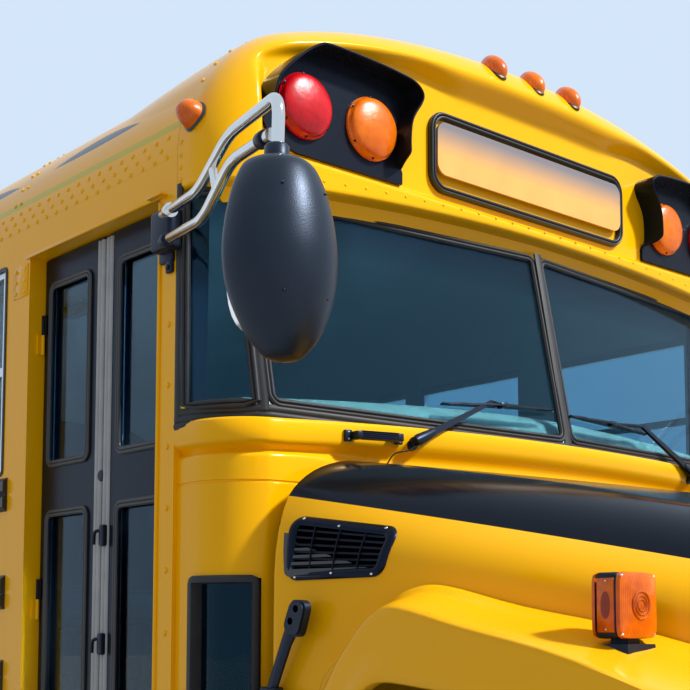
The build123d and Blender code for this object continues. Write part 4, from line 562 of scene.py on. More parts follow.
arc_angles = [CORNER_ANGLE * i / 30 for i in range(30)]
arc_angles += [CORNER_ANGLE + (math.pi / 2 - CORNER_ANGLE) * i / 150 for i in range(151)]
over = [(a, 1) for a in arc_angles] + [(a, -1) for a in reversed(arc_angles[:-1])]
ring_steps = [math.pi / 2 * i / 30 for i in range(31)]
side_rows = 60


def ring(step_angle, extra=0.0):
    """The shell's outline at one step round the front edge: right side up, over the top, left side down"""
    inset = CAP_ROUND * (1 - math.sin(step_angle))
    y = CAP_FRONT + CAP_ROUND * (1 - math.cos(step_angle)) + extra
    low = lip_height(HALF - CAP_ROUND)
    side = [(HALF - inset, y, mix(low, EAVES, i / side_rows)) for i in range(side_rows)]
    top = []
    for angle, sign in over:
        x, z, way = roof_point(angle, -inset)
        top.append((sign * x, y, z + cap_rise(x)))
    back = [(-x, y, z) for x, y, z in reversed(side)]
    return side + top + back


rings = [ring(a) for a in ring_steps]
seam_gap = SEAM_Y - CAP_FRONT - CAP_ROUND
rings += [ring(math.pi / 2, seam_gap * share) for share in (0.3, 0.65, 0.97)]
shell = grid([[cap_point(*p) for p in row] for row in rings])
fairing_rows = []
for i in range(13):
    fade = 1 - smooth(i / 12)
    row = []
    for angle, sign in over[1:-1]:
        x, z, way = roof_point(angle)
        rise = cap_rise(x) * fade
        sunk = 0.004 * max(0.0, 1 - rise / 0.012)
        row.append((sign * (x - way[0] * sunk), SEAM_Y - 0.008 + FAIRING * i / 12, z + rise - way[1] * sunk))
    fairing_rows.append(row)
front_rows = []
front_ring = rings[0][side_rows:-side_rows]
for x, y, z in front_ring:
    low = lip_height(x)
    front_rows.append([cap_point(x, CAP_FRONT, mix(low, z, i / side_rows)) for i in range(side_rows + 1)])
front_face = grid(front_rows)
under_rows = []
edge = [(r[0], -math.sin(a), math.cos(a)) for r, a in zip(rings, ring_steps + [math.pi / 2] * 3)]
edge = list(reversed(edge)) + [((x, CAP_FRONT, lip_height(x)), 0.0, 1.0) for x, y, z in front_ring[1:-1]]
edge += [((-p[0], p[1], p[2]), -nx, ny) for p, nx, ny in reversed(edge[:len(rings)])]
for p, nx, ny in edge:
    low = min(p[2] - 0.012, GLASS_TOP)
    under_rows.append([p, (p[0] + nx * 0.004, p[1] + ny * 0.004, p[2] - 0.005),
                       (p[0] + nx * 0.012, p[1] + ny * 0.012, p[2] - 0.009),
                       (p[0] + nx * CAP_UNDER, p[1] + ny * CAP_UNDER, low),
                       (p[0] + nx * CAP_INNER, p[1] + ny * CAP_INNER, low - CAP_DROP)])
cap = piece("front_cap_shell", join(shell, front_face, grid(under_rows), grid(fairing_rows)), yellow_shell, sharp=50,
            weld=0.0002)
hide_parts("front_cap")

# Rivets down the cap's rear edge, and the row of small screws along its lower lip
cap_rivets = []
for side in (-1, 1):
    for i in range(3):
        z = 2.51 + 0.032 * i
        cap_rivets.append(dome((side * HALF, SEAM_Y - 0.016, z), (side, 0, 0), RIVET_R, RIVET_H))
arc = 0.03
while arc < HALF + 0.25:
    angle = arc / ROOF_CORNER_R
    if angle > CORNER_ANGLE:
        angle = CORNER_ANGLE + (arc - CORNER_ANGLE * ROOF_CORNER_R) / ROOF_CROWN_R
    if angle < math.pi / 2:
        x, z, way = roof_point(angle)
        for side in (-1, 1):
            cap_rivets.append(dome((side * x, SEAM_Y - 0.016, z + cap_rise(x)), (side * way[0], 0, way[1]), RIVET_R,
                                   RIVET_H))
    arc += ARC_PITCH
for i in range(-14, 15):
    x = i * 0.074
    cap_rivets.append(dome((x, CAP_FRONT, lip_height(x) + 0.022), (0, -1, 0), 0.0045, 0.002))
piece("cap_rivets", join(*cap_rivets), yellow_shell, sharp=60)

# Lamp plates: black ABS housings with deep visors, screwed into their seats in the cap and on the end wall.
plate_plastic = finish("plate_plastic", (0.006, 0.007, 0.009), 0.28, variation=0.2, dust=0.0, grain=(420.0, 0.5),
                       bump=0.06, specular=0.25, sheen=PAINTED_SKY_SHEEN)
PLATE_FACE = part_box("lamp_plates")[0].y + 0.062
REAR_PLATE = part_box("lamp_plates")[1].y - 0.062
PLATE_LINE = [(1.055, 2.675), (1.06, 2.71), (1.052, 2.76), (1.025, 2.8), (0.97, 2.853), (0.92, 2.89), (0.875, 2.903),
              (0.72, 2.903), (0.61, 2.896), (0.565, 2.887), (0.542, 2.867), (0.547, 2.842), (0.575, 2.8), (0.588, 2.765),
              (0.592, 2.71), (0.586, 2.675), (0.565, 2.66)]
PLATE_FOOT = [(0.56, 2.65), (0.56, 2.617), (0.565, 2.613), (0.94, 2.613), (1.0, 2.626), (1.04, 2.65)]
VISOR_WALL = 0.006
VISOR_DEPTH = 0.066


def through(points, steps):
    """Smooth line through points of any size, with steps pieces between each two"""
    line = []
    for i in range(len(points) - 1):
        a, b, c, d = (points[max(i - 1, 0)], points[i], points[i + 1], points[min(i + 2, len(points) - 1)])
        for k in range(steps):
            t = k / steps
            line.append(tuple(0.5 * (2 * q + (r - p) * t + (2 * p - 5 * q + 4 * r - s) * t * t
                                     + (3 * q - p - 3 * r + s) * t ** 3) for p, q, r, s in zip(a, b, c, d)))
    return line + [tuple(points[-1])]


def lamp_plate(face_y, way):
    """Flat plate with a visor round its upper edge, facing forwards (-1) or backwards (1)"""
    middle = (0.81, 2.77)
    visor = through(PLATE_LINE, 4)
    outline = visor + PLATE_FOOT
    points = [(x, face_y, z) for x, z in outline] + [(x, face_y - way * 0.03, z) for x, z in outline]
    count = len(outline)
    faces = [tuple(range(count))] + [(i, i + count, (i + 1) % count + count, (i + 1) % count) for i in range(count)]
    rows = []
    for i, (x, z) in enumerate(visor):
        before, after = visor[max(i - 1, 0)], visor[min(i + 1, len(visor) - 1)]
        along = Vector((after[0] - before[0], 0, after[1] - before[1])).normalized()
        out = Vector((along.z, 0, -along.x))
        if out.dot(Vector((x - middle[0], 0, z - middle[1]))) < 0:
            out = -out
        depth = VISOR_DEPTH * smooth(min(i, len(visor) - 1 - i) / 7 + 0.1)
        spot_at = Vector((x, face_y, z))
        rows.append([spot_at, spot_at + Vector((0, way * depth, 0)), spot_at + out * VISOR_WALL * 0.5
                     + Vector((0, way * (depth + 0.002), 0)), spot_at + out * VISOR_WALL + Vector((0, way * depth, 0)),
                     spot_at + out * VISOR_WALL + Vector((0, -way * 0.03, 0))])
    return join((points, faces), grid([through_row for through_row in rows]))


plates = piece("lamp_housings", pair(join(lamp_plate(PLATE_FACE, -1), lamp_plate(REAR_PLATE, 1))), plate_plastic,
               sharp=50)
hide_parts("lamp_plates")


def lathe(profile, centre, axis, sides=64):
    """Surface of revolution; profile is (radius, height along the axis) from the rim to the middle"""
    axis = Vector(axis).normalized()
    across = axis.orthogonal().normalized()
    other = axis.cross(across)
    rows = []
    for radius, height in profile:
        row = []
        for i in range(sides):
            angle = 2 * math.pi * i / sides
            out = across * math.cos(angle) + other * math.sin(angle)
            row.append(tuple(Vector(centre) + axis * height + out * radius))
        rows.append(row)
    return grid(rows, close=True)


# Warning lamps: sealed 178 mm lamps with a moulded lens, a flat flange and three screws.
# The lens is smooth acrylic with fine flutes inside; its bright and dark cells are painted glints and painted shade of
# the reflector behind it.
LAMP_R = 0.089
LENS_RISE = 0.04


def lens_material(name, painted_shade_tone, painted_glint_tone, flutes=520.0):
    """Coloured acrylic with a glossy face; cells, flutes and noise paint glints and shade between two tones"""
    made = finish(name, painted_glint_tone, 0.26, variation=0.0, dust=0.0, grain=(flutes, 0.5), wave=(60.0, 0.6), bump=0.4,
                  specular=0.35)
    tree = made.node_tree
    spot, _, _, _ = places(tree)
    cells = node(tree, "ShaderNodeTexVoronoi", Scale=55.0)
    lines = node(tree, "ShaderNodeTexWave", Scale=70.0, Distortion=0.4, bands_direction="X")
    tree.links.new(spot, cells.inputs["Vector"])
    tree.links.new(spot, lines.inputs["Vector"])
    half_lines = math_node(tree, "MULTIPLY", lines.outputs["Fac"], 0.5)
    # Painted glints: a slow noise brightens patches of the lens like sparkles from the reflector.
    painted_glints = node(tree, "ShaderNodeTexNoise", Scale=9.0, Detail=2.0)
    tree.links.new(spot, painted_glints.inputs["Vector"])
    share = math_node(tree, "MULTIPLY_ADD", painted_glints.outputs["Fac"], 1.4, math_node(tree, "MULTIPLY", half_lines, 0.5))
    share = math_node(tree, "MULTIPLY_ADD", cells.outputs["Distance"], 0.25, share)
    color = mix_color(tree, ramp(tree, share, 0.45, 1.35), (*painted_shade_tone, 1), (*painted_glint_tone, 1))
    tree.links.new(color, tree.nodes["Principled BSDF"].inputs["Base Color"])
    return made


red_lens = lens_material("red_lens", (0.22, 0.0, 0.003), (0.78, 0.004, 0.012))
amber_lens = lens_material("amber_lens", (0.5, 0.06, 0.0), (0.95, 0.22, 0.002))
LENS_SIDE = 0.017
lamp_profile = [(LAMP_R, 0.0), (LAMP_R, 0.007), (LAMP_R - 0.003, 0.009), (LAMP_R - 0.006, LENS_SIDE)]
for i in range(1, 11):
    spread = math.pi / 2 * i / 10
    lamp_profile.append(((LAMP_R - 0.006) * math.cos(spread) + 1e-5, LENS_SIDE + (LENS_RISE - LENS_SIDE) * math.sin(spread)))
END_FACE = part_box("rear_wall")[1].y - 0.0115
RED_X, AMBER_X, LAMP_Z = 0.921, 0.683, 2.744
TAIL_R = 0.088


def lamp(x, z, y, way, radius=LAMP_R):
    scale = radius / LAMP_R
    lamp_screws.extend(dome((x + math.cos(a) * radius * 0.955, y + way * 0.013, z + math.sin(a) * radius * 0.955), (0, way, 0),
                            0.0042, 0.003, 6) for a in (0.6, 1.7, 2.6, 3.8, 4.7, 5.7))
    return lathe([(r * scale, h * scale) for r, h in lamp_profile], (x, y, z), (0, way, 0))


reds, ambers, lamp_screws = [], [], []
for side in (-1, 1):
    reds += [lamp(side * RED_X, LAMP_Z, PLATE_FACE, -1), lamp(side * RED_X, LAMP_Z, REAR_PLATE, 1)]
    reds += [lamp(side * 0.86, 1.33, END_FACE, 1, TAIL_R), lamp(side * 1.05, 1.33, END_FACE, 1, 0.055)]
    ambers += [lamp(side * AMBER_X, LAMP_Z, PLATE_FACE, -1), lamp(side * AMBER_X, LAMP_Z, REAR_PLATE, 1)]
    ambers.append(lamp(side * 0.86, 1.56, END_FACE, 1, TAIL_R))
red_glass = piece("red_lamp_lenses", join(*reds), red_lens, sharp=40)
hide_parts("red_lamps")
amber_glass = piece("amber_lamp_lenses", join(*ambers), amber_lens, sharp=40)
piece("lamp_screws", join(*lamp_screws), plate_plastic, sharp=50)


# Marker lamps: teardrop lenses on thin gaskets, three on the brow and one on each front corner.
def teardrop(centre, out, up, half_width, half_height, depth, rings_count=10, sides=40):
    """Domed lens with a round lower end and a narrower upper end, standing on a surface"""
    out, up = Vector(out).normalized(), Vector(up).normalized()
    across = out.cross(up).normalized()
    rows = []
    for k in range(rings_count + 1):
        share = math.cos(math.pi / 2 * k / rings_count)
        lift = depth * math.sin(math.pi / 2 * k / rings_count) ** 0.8
        row = []
        for i in range(sides):
            angle = 2 * math.pi * i / sides
            tall = math.sin(angle)
            wide = math.cos(angle) * (1 - 0.34 * smooth(-tall))
            row.append(tuple(Vector(centre) + across * (half_width * share * wide)
                             + up * (half_height * share * tall) + out * lift))
        rows.append(row)
    return grid(rows, close=True)


marker_lenses, marker_gaskets = [], []
gasket_rubber = finish("gasket_rubber", (0.012, 0.012, 0.013), 0.42, variation=0.3, dust=0.02, grain=(500.0, 0.5), bump=0.1)
for x in (-0.175, 0.0, 0.175):
    spot_at = Vector((x, CAP_FRONT + 0.055, 3.028 + 0.5 * cap_rise(x)))
    marker_lenses.append(teardrop(spot_at, (0, -0.62, 0.78), (0, -0.78, -0.62), 0.034, 0.058, 0.045))
    marker_gaskets.append(teardrop(spot_at, (0, -0.62, 0.78), (0, -0.78, -0.62), 0.038, 0.063, 0.012, 3))
side_spot = (HALF - 0.012, SEAM_Y - 0.055, 2.668)
for side in (-1, 1):
    spot_at = (side * side_spot[0], side_spot[1], side_spot[2])
    facing = (side * 0.95, -0.12, 0.26)
    marker_lenses.append(teardrop(spot_at, facing, (side * -0.26, 0, 0.96), 0.038, 0.038, 0.052))
    marker_gaskets.append(teardrop(spot_at, facing, (side * -0.26, 0, 0.96), 0.043, 0.043, 0.012, 3))
marker_glass = piece("marker_lenses", join(*marker_lenses), amber_lens, sharp=60)
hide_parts("amber_lamps")
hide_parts("amber_lamps")
piece("marker_gaskets", join(*marker_gaskets), gasket_rubber)


# Sign box: a blank amber face behind flat glass, darkened at its top by painted shade, held by a ribbed rubber
# extrusion with rounded corners.
def rounded(corners, radius, steps=6):
    """Outline of (point, outward) pairs through the corners of a flat shape, each corner turned by an arc"""
    outline = []
    corners = [Vector(c) for c in corners]
    count = len(corners)
    for i, corner in enumerate(corners):
        before = (corners[i - 1] - corner).normalized()
        after = (corners[(i + 1) % count] - corner).normalized()
        half_angle = before.angle(after) / 2
        bisector = (before + after).normalized()
        centre = corner + bisector * radius / math.sin(half_angle)
        first = corner + before * radius / math.tan(half_angle) - centre
        last = corner + after * radius / math.tan(half_angle) - centre
        turn = first.angle(last)
        for k in range(steps + 1):
            share = k / steps
            out = (first * math.sin(turn * (1 - share)) + last * math.sin(turn * share)) / math.sin(turn)
            outline.append((centre + out, out.normalized()))
    return outline


def ribs(width, height, count, start=0.0):
    """Across a rubber strip: (outward, lift) pairs with rounded ribs on its face"""
    profile = [(start, 0.0), (start, height * 0.6)]
    steps = count * 6
    for i in range(steps + 1):
        lift = abs(math.sin(math.pi * count * i / steps)) ** 0.6
        profile.append((start + width * mix(0.03, 0.97, i / steps), height * (0.6 + 0.4 * lift)))
    return profile + [(start + width, height * 0.6), (start + width, 0.0)]


def strip(outline, facing, profile, closed=True):
    """Sweeps a profile of (outward, lift) pairs along an outline that faces one way"""
    facing = Vector(facing).normalized()
    rows = [[point + out * w + facing * h for w, h in profile] for point, out in outline]
    return grid(rows + rows[:1] if closed else rows)


def slab(outline, facing, front, back):
    """Flat plate inside an outline, between two depths along the way it faces"""
    facing = Vector(facing).normalized()
    points = [p + facing * front for p, out in outline] + [p + facing * back for p, out in outline]
    count = len(outline)
    faces = [tuple(range(count)), tuple(reversed(range(count, 2 * count)))]
    faces += [(i, i + count, (i + 1) % count + count, (i + 1) % count) for i in range(count)]
    return points, faces


def facing_of(corners, toward):
    """Direction that a flat outline faces, on the side of a given direction"""
    a, b, c = [Vector(p) for p in corners[:3]]
    normal = (b - a).cross(c - a).normalized()
    return normal if normal.dot(Vector(toward)) > 0 else -normal


SIGN_HALF = 0.45
SIGN_Z = 2.75
SIGN_HALF_HIGH = 0.122
SIGN_RUBBER = 0.022
SIGN_WALL = CAP_FRONT + POCKET_DEPTH
inner_x, inner_z = SIGN_HALF - SIGN_RUBBER, SIGN_HALF_HIGH - SIGN_RUBBER
sign_corners = [(-inner_x, SIGN_WALL, SIGN_Z - inner_z), (inner_x, SIGN_WALL, SIGN_Z - inner_z),
                (inner_x, SIGN_WALL, SIGN_Z + inner_z), (-inner_x, SIGN_WALL, SIGN_Z + inner_z)]
sign_seal = strip(rounded(sign_corners, 0.036), (0, -1, 0), ribs(SIGN_RUBBER, 0.018, 2))
sign_paint = finish("sign_paint", (0.93, 0.47, 0.11), 0.3, variation=0.25, tone_scale=9.0, dust=0.0, coat=0.2, bump=0.02)
tree = sign_paint.node_tree
shader = tree.nodes["Principled BSDF"]
_, x_at, y_at, z_at = places(tree)
# Painted shade: the top of the amber face turns dark grey, standing in for the shadow of the sign's housing.
shade = ramp(tree, z_at, SIGN_Z - 0.01, SIGN_Z + 0.075)
base = shader.inputs["Base Color"].links[0].from_socket
tree.links.new(mix_color(tree, shade, base, (0.22, 0.2, 0.22, 1)), shader.inputs["Base Color"])
paint_node("sign_panel", sign_paint)
piece("sign_seal", sign_seal, gasket_rubber, sharp=40)
# Windshield: two flat raked panes and a bent pane at each corner, laminated glass with a green-blue tint and a
# dark shade band along the top. Each pane sits in a ribbed black rubber extrusion pressed over the steel edge.
PANE_THICK = 0.006
SEAL_WIDTH = 0.024
PANE_FRONT = [at(0.022, -0.13, 1.93), at(1.075, -0.086, 1.925), at(1.075, 0.023, 2.468), at(0.022, -0.016, 2.498)]
PANE_CORNER = [at(1.118, -0.068, 1.925), at(1.206, 0.088, 1.925), at(1.206, 0.096, 2.462), at(1.118, 0.034, 2.466)]


LIGHT_THROUGH = (0.86, 0.9, 0.9, 1)
# Painted reflection colour: the glass's reflections are tinted blue like a sky.
PAINTED_GLASS_SKY_SHEEN = (0.4, 0.75, 1.0, 1)


def glass_material(name, tint, roughness=0.0):
    """Clear glass that lets light through to what is behind it"""
    made = bpy.data.materials.new(name)
    made.use_nodes = True
    tree = made.node_tree
    shader = tree.nodes["Principled BSDF"]
    shader.inputs["Transmission Weight"].default_value = 1.0
    shader.inputs["IOR"].default_value = 1.3
    shader.inputs["Specular Tint"].default_value = PAINTED_GLASS_SKY_SHEEN
    shader.inputs["Roughness"].default_value = roughness
    spot = node(tree, "ShaderNodeTexCoord")
    cloudy = node(tree, "ShaderNodeTexNoise", Scale=2.5, Detail=3.0)
    tree.links.new(spot.outputs["Object"], cloudy.inputs["Vector"])
    lighter = tuple(min(1.0, c * 1.08 + 0.02) for c in tint)
    tree.links.new(mix_color(tree, cloudy.outputs["Fac"], (*tint, 1), (*lighter, 1)), shader.inputs["Base Color"])
    clear = node(tree, "ShaderNodeBsdfTransparent")
    clear.inputs["Color"].default_value = LIGHT_THROUGH
    either = node(tree, "ShaderNodeMixShader")
    path = node(tree, "ShaderNodeLightPath")
    tree.links.new(path.outputs["Is Shadow Ray"], either.inputs[0])
    tree.links.new(shader.outputs[0], either.inputs[1])
    tree.links.new(clear.outputs[0], either.inputs[2])
    tree.links.new(either.outputs[0], tree.nodes["Material Output"].inputs["Surface"])
    return made


SHADE_BAND = (2.36, 2.5)
shield_glass = glass_material("shield_glass", (0.17, 0.42, 0.58))
tree = shield_glass.node_tree
shader = tree.nodes["Principled BSDF"]
_, x_at, y_at, z_at = places(tree)
base = shader.inputs["Base Color"].links[0].from_socket
tree.links.new(mix_color(tree, ramp(tree, z_at, *SHADE_BAND), base, (0.05, 0.13, 0.3, 1)), shader.inputs["Base Color"])
side_glass = glass_material("side_glass", (0.42, 0.53, 0.6))
shield_rubber = finish("shield_rubber", (0.02, 0.02, 0.022), 0.5, variation=0.9, tone_scale=22.0, dust=0.03,
                       grain=(240.0, 0.6), bump=0.15, specular=0.3)


def patch(corners, columns, rows_count, bulge=0.0, away=(0, 0, 1)):
    """Rows of points over a four-cornered patch, bowed outwards in the middle of its width"""
    a, b, c, d = [Vector(p) for p in corners]
    rows = []
    for i in range(rows_count + 1):
        left, right = a.lerp(d, i / rows_count), b.lerp(c, i / rows_count)
        rows.append([left.lerp(right, j / columns) + Vector(away) * bulge * math.sin(math.pi * j / columns)
                     for j in range(columns + 1)])
    return rows


def bent_pane(rows, inward, thick):
    """Closed sheet of glass from its outer rows"""
    back = [[p + Vector(inward) * thick for p in row] for row in rows]
    edge = [rows[0]] + [[row[-1] for row in rows], list(reversed(rows[-1])), [row[0] for row in reversed(rows)]]
    back_edge = [back[0]] + [[row[-1] for row in back], list(reversed(back[-1])), [row[0] for row in reversed(back)]]
    sides = [grid([outer, behind]) for outer, behind in zip(edge, back_edge)]
    return join(grid(rows), grid(back), *sides)


front_facing = facing_of(PANE_FRONT, (0, -1, 0.2))
front_outline = rounded(PANE_FRONT, 0.02)
front_pane = slab(front_outline, front_facing, 0.0, -PANE_THICK)
front_frame = strip(front_outline, front_facing, ribs(SEAL_WIDTH, 0.012, 2, -0.006))
corner_away = Vector((0.8, -0.6, 0))
corner_rows = patch(PANE_CORNER, 8, 8, 0.016, corner_away)
corner_pane = bent_pane(corner_rows, -corner_away, PANE_THICK)
edge_points = corner_rows[0] + [row[-1] for row in corner_rows[1:]]
edge_points += list(reversed(corner_rows[-1][:-1])) + [row[0] for row in reversed(corner_rows[1:-1])]
middle = sum((Vector(p) for p in PANE_CORNER), Vector()) / 4
corner_facing = facing_of(PANE_CORNER, (1, -1, 0))


def closed_outline(points, facing):
    """Outward directions for a closed line of points that need no rounding"""
    outline = []
    count = len(points)
    centre = sum(points, Vector()) / count
    for i, point in enumerate(points):
        along = (points[(i + 1) % count] - points[i - 1]).normalized()
        out = along.cross(facing).normalized()
        outline.append((point, out if out.dot(point - centre) > 0 else -out))
    return outline


corner_frame = strip(closed_outline(edge_points, corner_facing), corner_facing, ribs(SEAL_WIDTH, 0.012, 2, -0.004))
# The apron of ribbed rubber that runs round under all four panes, and the upright behind each corner pane
low_line = [Vector(at(x, y, z)) for x, y, z in ((0, -0.135, 1.917), (0.55, -0.112, 1.915), (1.085, -0.09, 1.914),
                                                (1.112, -0.075, 1.914), (1.17, 0.005, 1.914), (1.206, 0.07, 1.914),
                                                (1.211, 0.132, 1.914))]
apron_rows = []
for i, point in enumerate(low_line):
    before, after = low_line[max(i - 1, 0)], low_line[min(i + 1, len(low_line) - 1)]
    along = (after - before).normalized()
    away = along.cross(Vector((0, 0, 1))).normalized()
    down = Vector((0, 0, -1)) + away * 0.08
    apron_rows.append([point + down * w + away * h for w, h in ribs(0.053, 0.009, 3)])
apron = grid(apron_rows)
post_corners = [Vector(at(1.214, 0.112, 1.88)), Vector(at(1.214, 0.112, 2.5))]
post_rows = []
for point in post_corners:
    post_rows.append([point + Vector((0, 1, 0)) * w + Vector((1, 0, 0)) * h for w, h in ribs(0.024, 0.008, 1)])
mullion_corners = [Vector(at(1.097, -0.086, 1.9)), Vector(at(1.097, 0.028, 2.5))]
mullion_rows = []
for point in mullion_corners:
    mullion_rows.append([point + Vector((0.75, 0.65, 0)) * w + corner_away * h for w, h in ribs(0.03, 0.01, 1, -0.012)])
centre_rows = []
for point in (Vector(at(0, -0.14, 1.9)), Vector(at(0, -0.024, 2.52))):
    centre_rows.append([point + Vector((1, 0, 0)) * w + Vector((0, -1, 0)) * h for w, h in ribs(0.03, 0.008, 1, -0.015)])
shield_seals = pair(join(front_frame, corner_frame, apron, grid(post_rows), grid(mullion_rows)))
seals = piece("windshield_seals", join(shield_seals, grid(centre_rows)), shield_rubber, sharp=50)
panes = piece("windshield_panes", pair(join(front_pane, corner_pane)), shield_glass, sharp=30,
              weld=0.0002)
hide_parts("rubber_surrounds")
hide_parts("windshield_glass")


# Cowl: one pressing that wraps the corners, with a rounded ledge under the glass, a sunk gutter and a lap seam.
# A low window is let into each corner, in a rubber frame, for a view of the kerb.
COWL_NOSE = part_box("cowl")[0].y
COWL_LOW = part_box("cowl")[0].z
COWL_BOW = 0.034
COWL_SHOULDER = 0.118
COWL_REACH = 0.165


def arc_through(a, m, b, steps):
    """Points on the circle through three plan points, from the first to the last"""
    (ax, ay), (mx, my), (bx, by) = a, m, b
    d = 2 * (ax * (my - by) + mx * (by - ay) + bx * (ay - my))
    ux = ((ax * ax + ay * ay) * (my - by) + (mx * mx + my * my) * (by - ay) + (bx * bx + by * by) * (ay - my)) / d
    uy = ((ax * ax + ay * ay) * (bx - mx) + (mx * mx + my * my) * (ax - bx) + (bx * bx + by * by) * (mx - ax)) / d
    radius = math.hypot(ax - ux, ay - uy)
    start, middle_turn = math.atan2(ay - uy, ax - ux), math.atan2(my - uy, mx - ux)
    end = math.atan2(by - uy, bx - ux)
    swing = (end - start) % (2 * math.pi)
    if (middle_turn - start) % (2 * math.pi) > swing:
        swing -= 2 * math.pi
    return [(ux + radius * math.cos(start + swing * i / steps), uy + radius * math.sin(start + swing * i / steps))
            for i in range(steps + 1)]


def cowl_plan(inset, back=SEAM_Y):
    """Left half of the plan outline, from the rear seam round to the centreline"""
    half = HALF - inset
    nose = COWL_NOSE + inset
    shoulder = (HALF - COWL_SHOULDER - inset * 0.5, nose + COWL_BOW)
    start = (half, nose + COWL_BOW + COWL_REACH - inset)
    middle = (half - COWL_SHOULDER * 0.3, nose + COWL_BOW + COWL_REACH * 0.34)
    side = [(half, mix(back, start[1], i / 4)) for i in range(4)]
    corner = arc_through(start, middle, shoulder, 20)
    bow = arc_through(shoulder, (0, nose), (-shoulder[0], shoulder[1]), 48)[1:25]
    return side + corner + bow


# Sections of the cowl: height and inset at the corners, then height and inset along the front behind the hood
COWL_SECTION = [
    (1.862, 0.1, 1.862, 0.1), (1.878, 0.06, 1.878, 0.06), (1.8805, 0.014, 1.8805, 0.014),
    (1.878, 0.004, 1.878, 0.004), (1.871, 0.0, 1.871, 0.0), (1.845, 0.0, 1.85, 0.0),
    (1.826, 0.0005, 1.832, 0.002), (1.818, 0.004, 1.822, 0.006), (1.8125, 0.012, 1.812, 0.013),
    (1.8075, 0.022, 1.802, 0.021), (1.802, 0.026, 1.792, 0.027), (1.798, 0.0245, 1.782, 0.028),
    (1.794, 0.018, 1.77, 0.026), (1.788, 0.0125, 1.758, 0.021), (1.78, 0.012, 1.748, 0.015),
    (1.755, 0.012, 1.738, 0.0125), (1.726, 0.012, 1.726, 0.012), (1.7245, 0.0145, 1.7245, 0.0145),
    (1.7195, 0.0145, 1.7195, 0.0145), (1.718, 0.012, 1.718, 0.012), (1.65, 0.012, 1.65, 0.012),
    (1.55, 0.012, 1.55, 0.012), (1.484, 0.012, 1.484, 0.012), (1.3, 0.012, 1.3, 0.012), (1.1, 0.012, 1.1, 0.012),
    (0.905, 0.012, 0.905, 0.012), (0.75, 0.012, 0.75, 0.012), (COWL_LOW, 0.012, COWL_LOW, 0.012),
    (COWL_LOW, 0.04, COWL_LOW, 0.04),
]
COWL_CROWN = 0.03
CORNER_WINDOW = (SEAM_Y - 0.235, SEAM_Y - 0.06, 0.9, 1.49)


def cowl_row(side_z, side_inset, front_z, front_inset):
    row = []
    outer, inner_line = cowl_plan(side_inset), cowl_plan(front_inset)
    for (x0, y0), (x1, y1) in zip(outer, inner_line):
        front_share = smooth((1.02 - x0) / 0.35)
        z = mix(side_z, front_z, front_share)
        rise = COWL_CROWN * (1 - min(1.0, x0 / 1.08) ** 2) * smooth((z - 1.72) / 0.05)
        row.append((mix(x0, x1, front_share), mix(y0, y1, front_share), z + rise))
    return row


cowl_points, cowl_faces = grid([cowl_row(*row) for row in COWL_SECTION])
kept = []
for face in cowl_faces:
    y = sum(cowl_points[i][1] for i in face) / 4
    z = sum(cowl_points[i][2] for i in face) / 4
    in_window = CORNER_WINDOW[0] + 0.004 < y < CORNER_WINDOW[1] and CORNER_WINDOW[2] < z < CORNER_WINDOW[3]
    x = sum(cowl_points[i][0] for i in face) / 4
    if not (in_window and x > 1.102):
        kept.append(face)
cowl = piece("cowl_panel", pair((cowl_points, kept)), yellow_shell, sharp=50, weld=0.0002)
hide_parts("cowl")

side_run = cowl_plan(0.012)
run_length = [0.0]
for (ax, ay), (bx, by) in zip(side_run, side_run[1:]):
    run_length.append(run_length[-1] + math.hypot(bx - ax, by - ay))


def cowl_at(distance, z, outward=0.0):
    """Point on the cowl's lower skin at a distance from the rear seam, and its outward and forward directions"""
    i = max(k for k in range(len(side_run) - 1) if run_length[k] <= distance)
    share = (distance - run_length[i]) / (run_length[i + 1] - run_length[i])
    (ax, ay), (bx, by) = side_run[i], side_run[i + 1]
    ahead = Vector((bx - ax, by - ay, 0)).normalized()
    out = Vector((-ahead.y, ahead.x, 0)) if -ahead.y > 0 else Vector((ahead.y, -ahead.x, 0))
    return Vector((mix(ax, bx, share), mix(ay, by, share), z)) + out * outward, out, ahead


WINDOW_START, WINDOW_STOP = 0.082, 0.246
WINDOW_LOW, WINDOW_TOP = 0.916, 1.4735
frame_2d = rounded([(WINDOW_START, WINDOW_LOW, 0), (WINDOW_STOP, WINDOW_LOW, 0), (WINDOW_STOP, WINDOW_TOP, 0),
                    (WINDOW_START, WINDOW_TOP, 0)], 0.002, 2)
dense = []
for (p, out), (q, out_next) in zip(frame_2d, frame_2d[1:] + frame_2d[:1]):
    pieces_in = max(1, int((q - p).length / 0.03))
    dense += [(p.lerp(q, i / pieces_in), out.lerp(out_next, i / pieces_in)) for i in range(pieces_in)]
frame_rows = []
for p, out in dense:
    rowed = []
    for w, h in [(-0.003, -0.034), (-0.002, 0.004), (0.0, 0.011), (0.013, 0.012), (0.017, 0.009), (0.018, 0.0)]:
        spot_2d = p + out * w
        point, away, ahead = cowl_at(spot_2d.x, spot_2d.y, h)
        rowed.append(point)
    frame_rows.append(rowed)
kerb_frame = grid(frame_rows + frame_rows[:1])
kerb_rows = []
for i in range(5):
    z = mix(WINDOW_LOW, WINDOW_TOP, i / 4)
    kerb_rows.append([cowl_at(mix(WINDOW_START - 0.004, WINDOW_STOP + 0.004, j / 10), z, -0.02)[0] for j in range(11)])
kerb_seals = piece("kerb_window_seals", pair(kerb_frame), shield_rubber, sharp=45)
kerb_pane = bent_pane(kerb_rows, Vector((-0.6, 0.6, 0)).normalized(), 0.004)
kerb_panes = piece("kerb_window_panes", pair(kerb_pane), shield_glass, weld=0.0002)
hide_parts("rubber_surrounds")
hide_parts("windshield_glass")


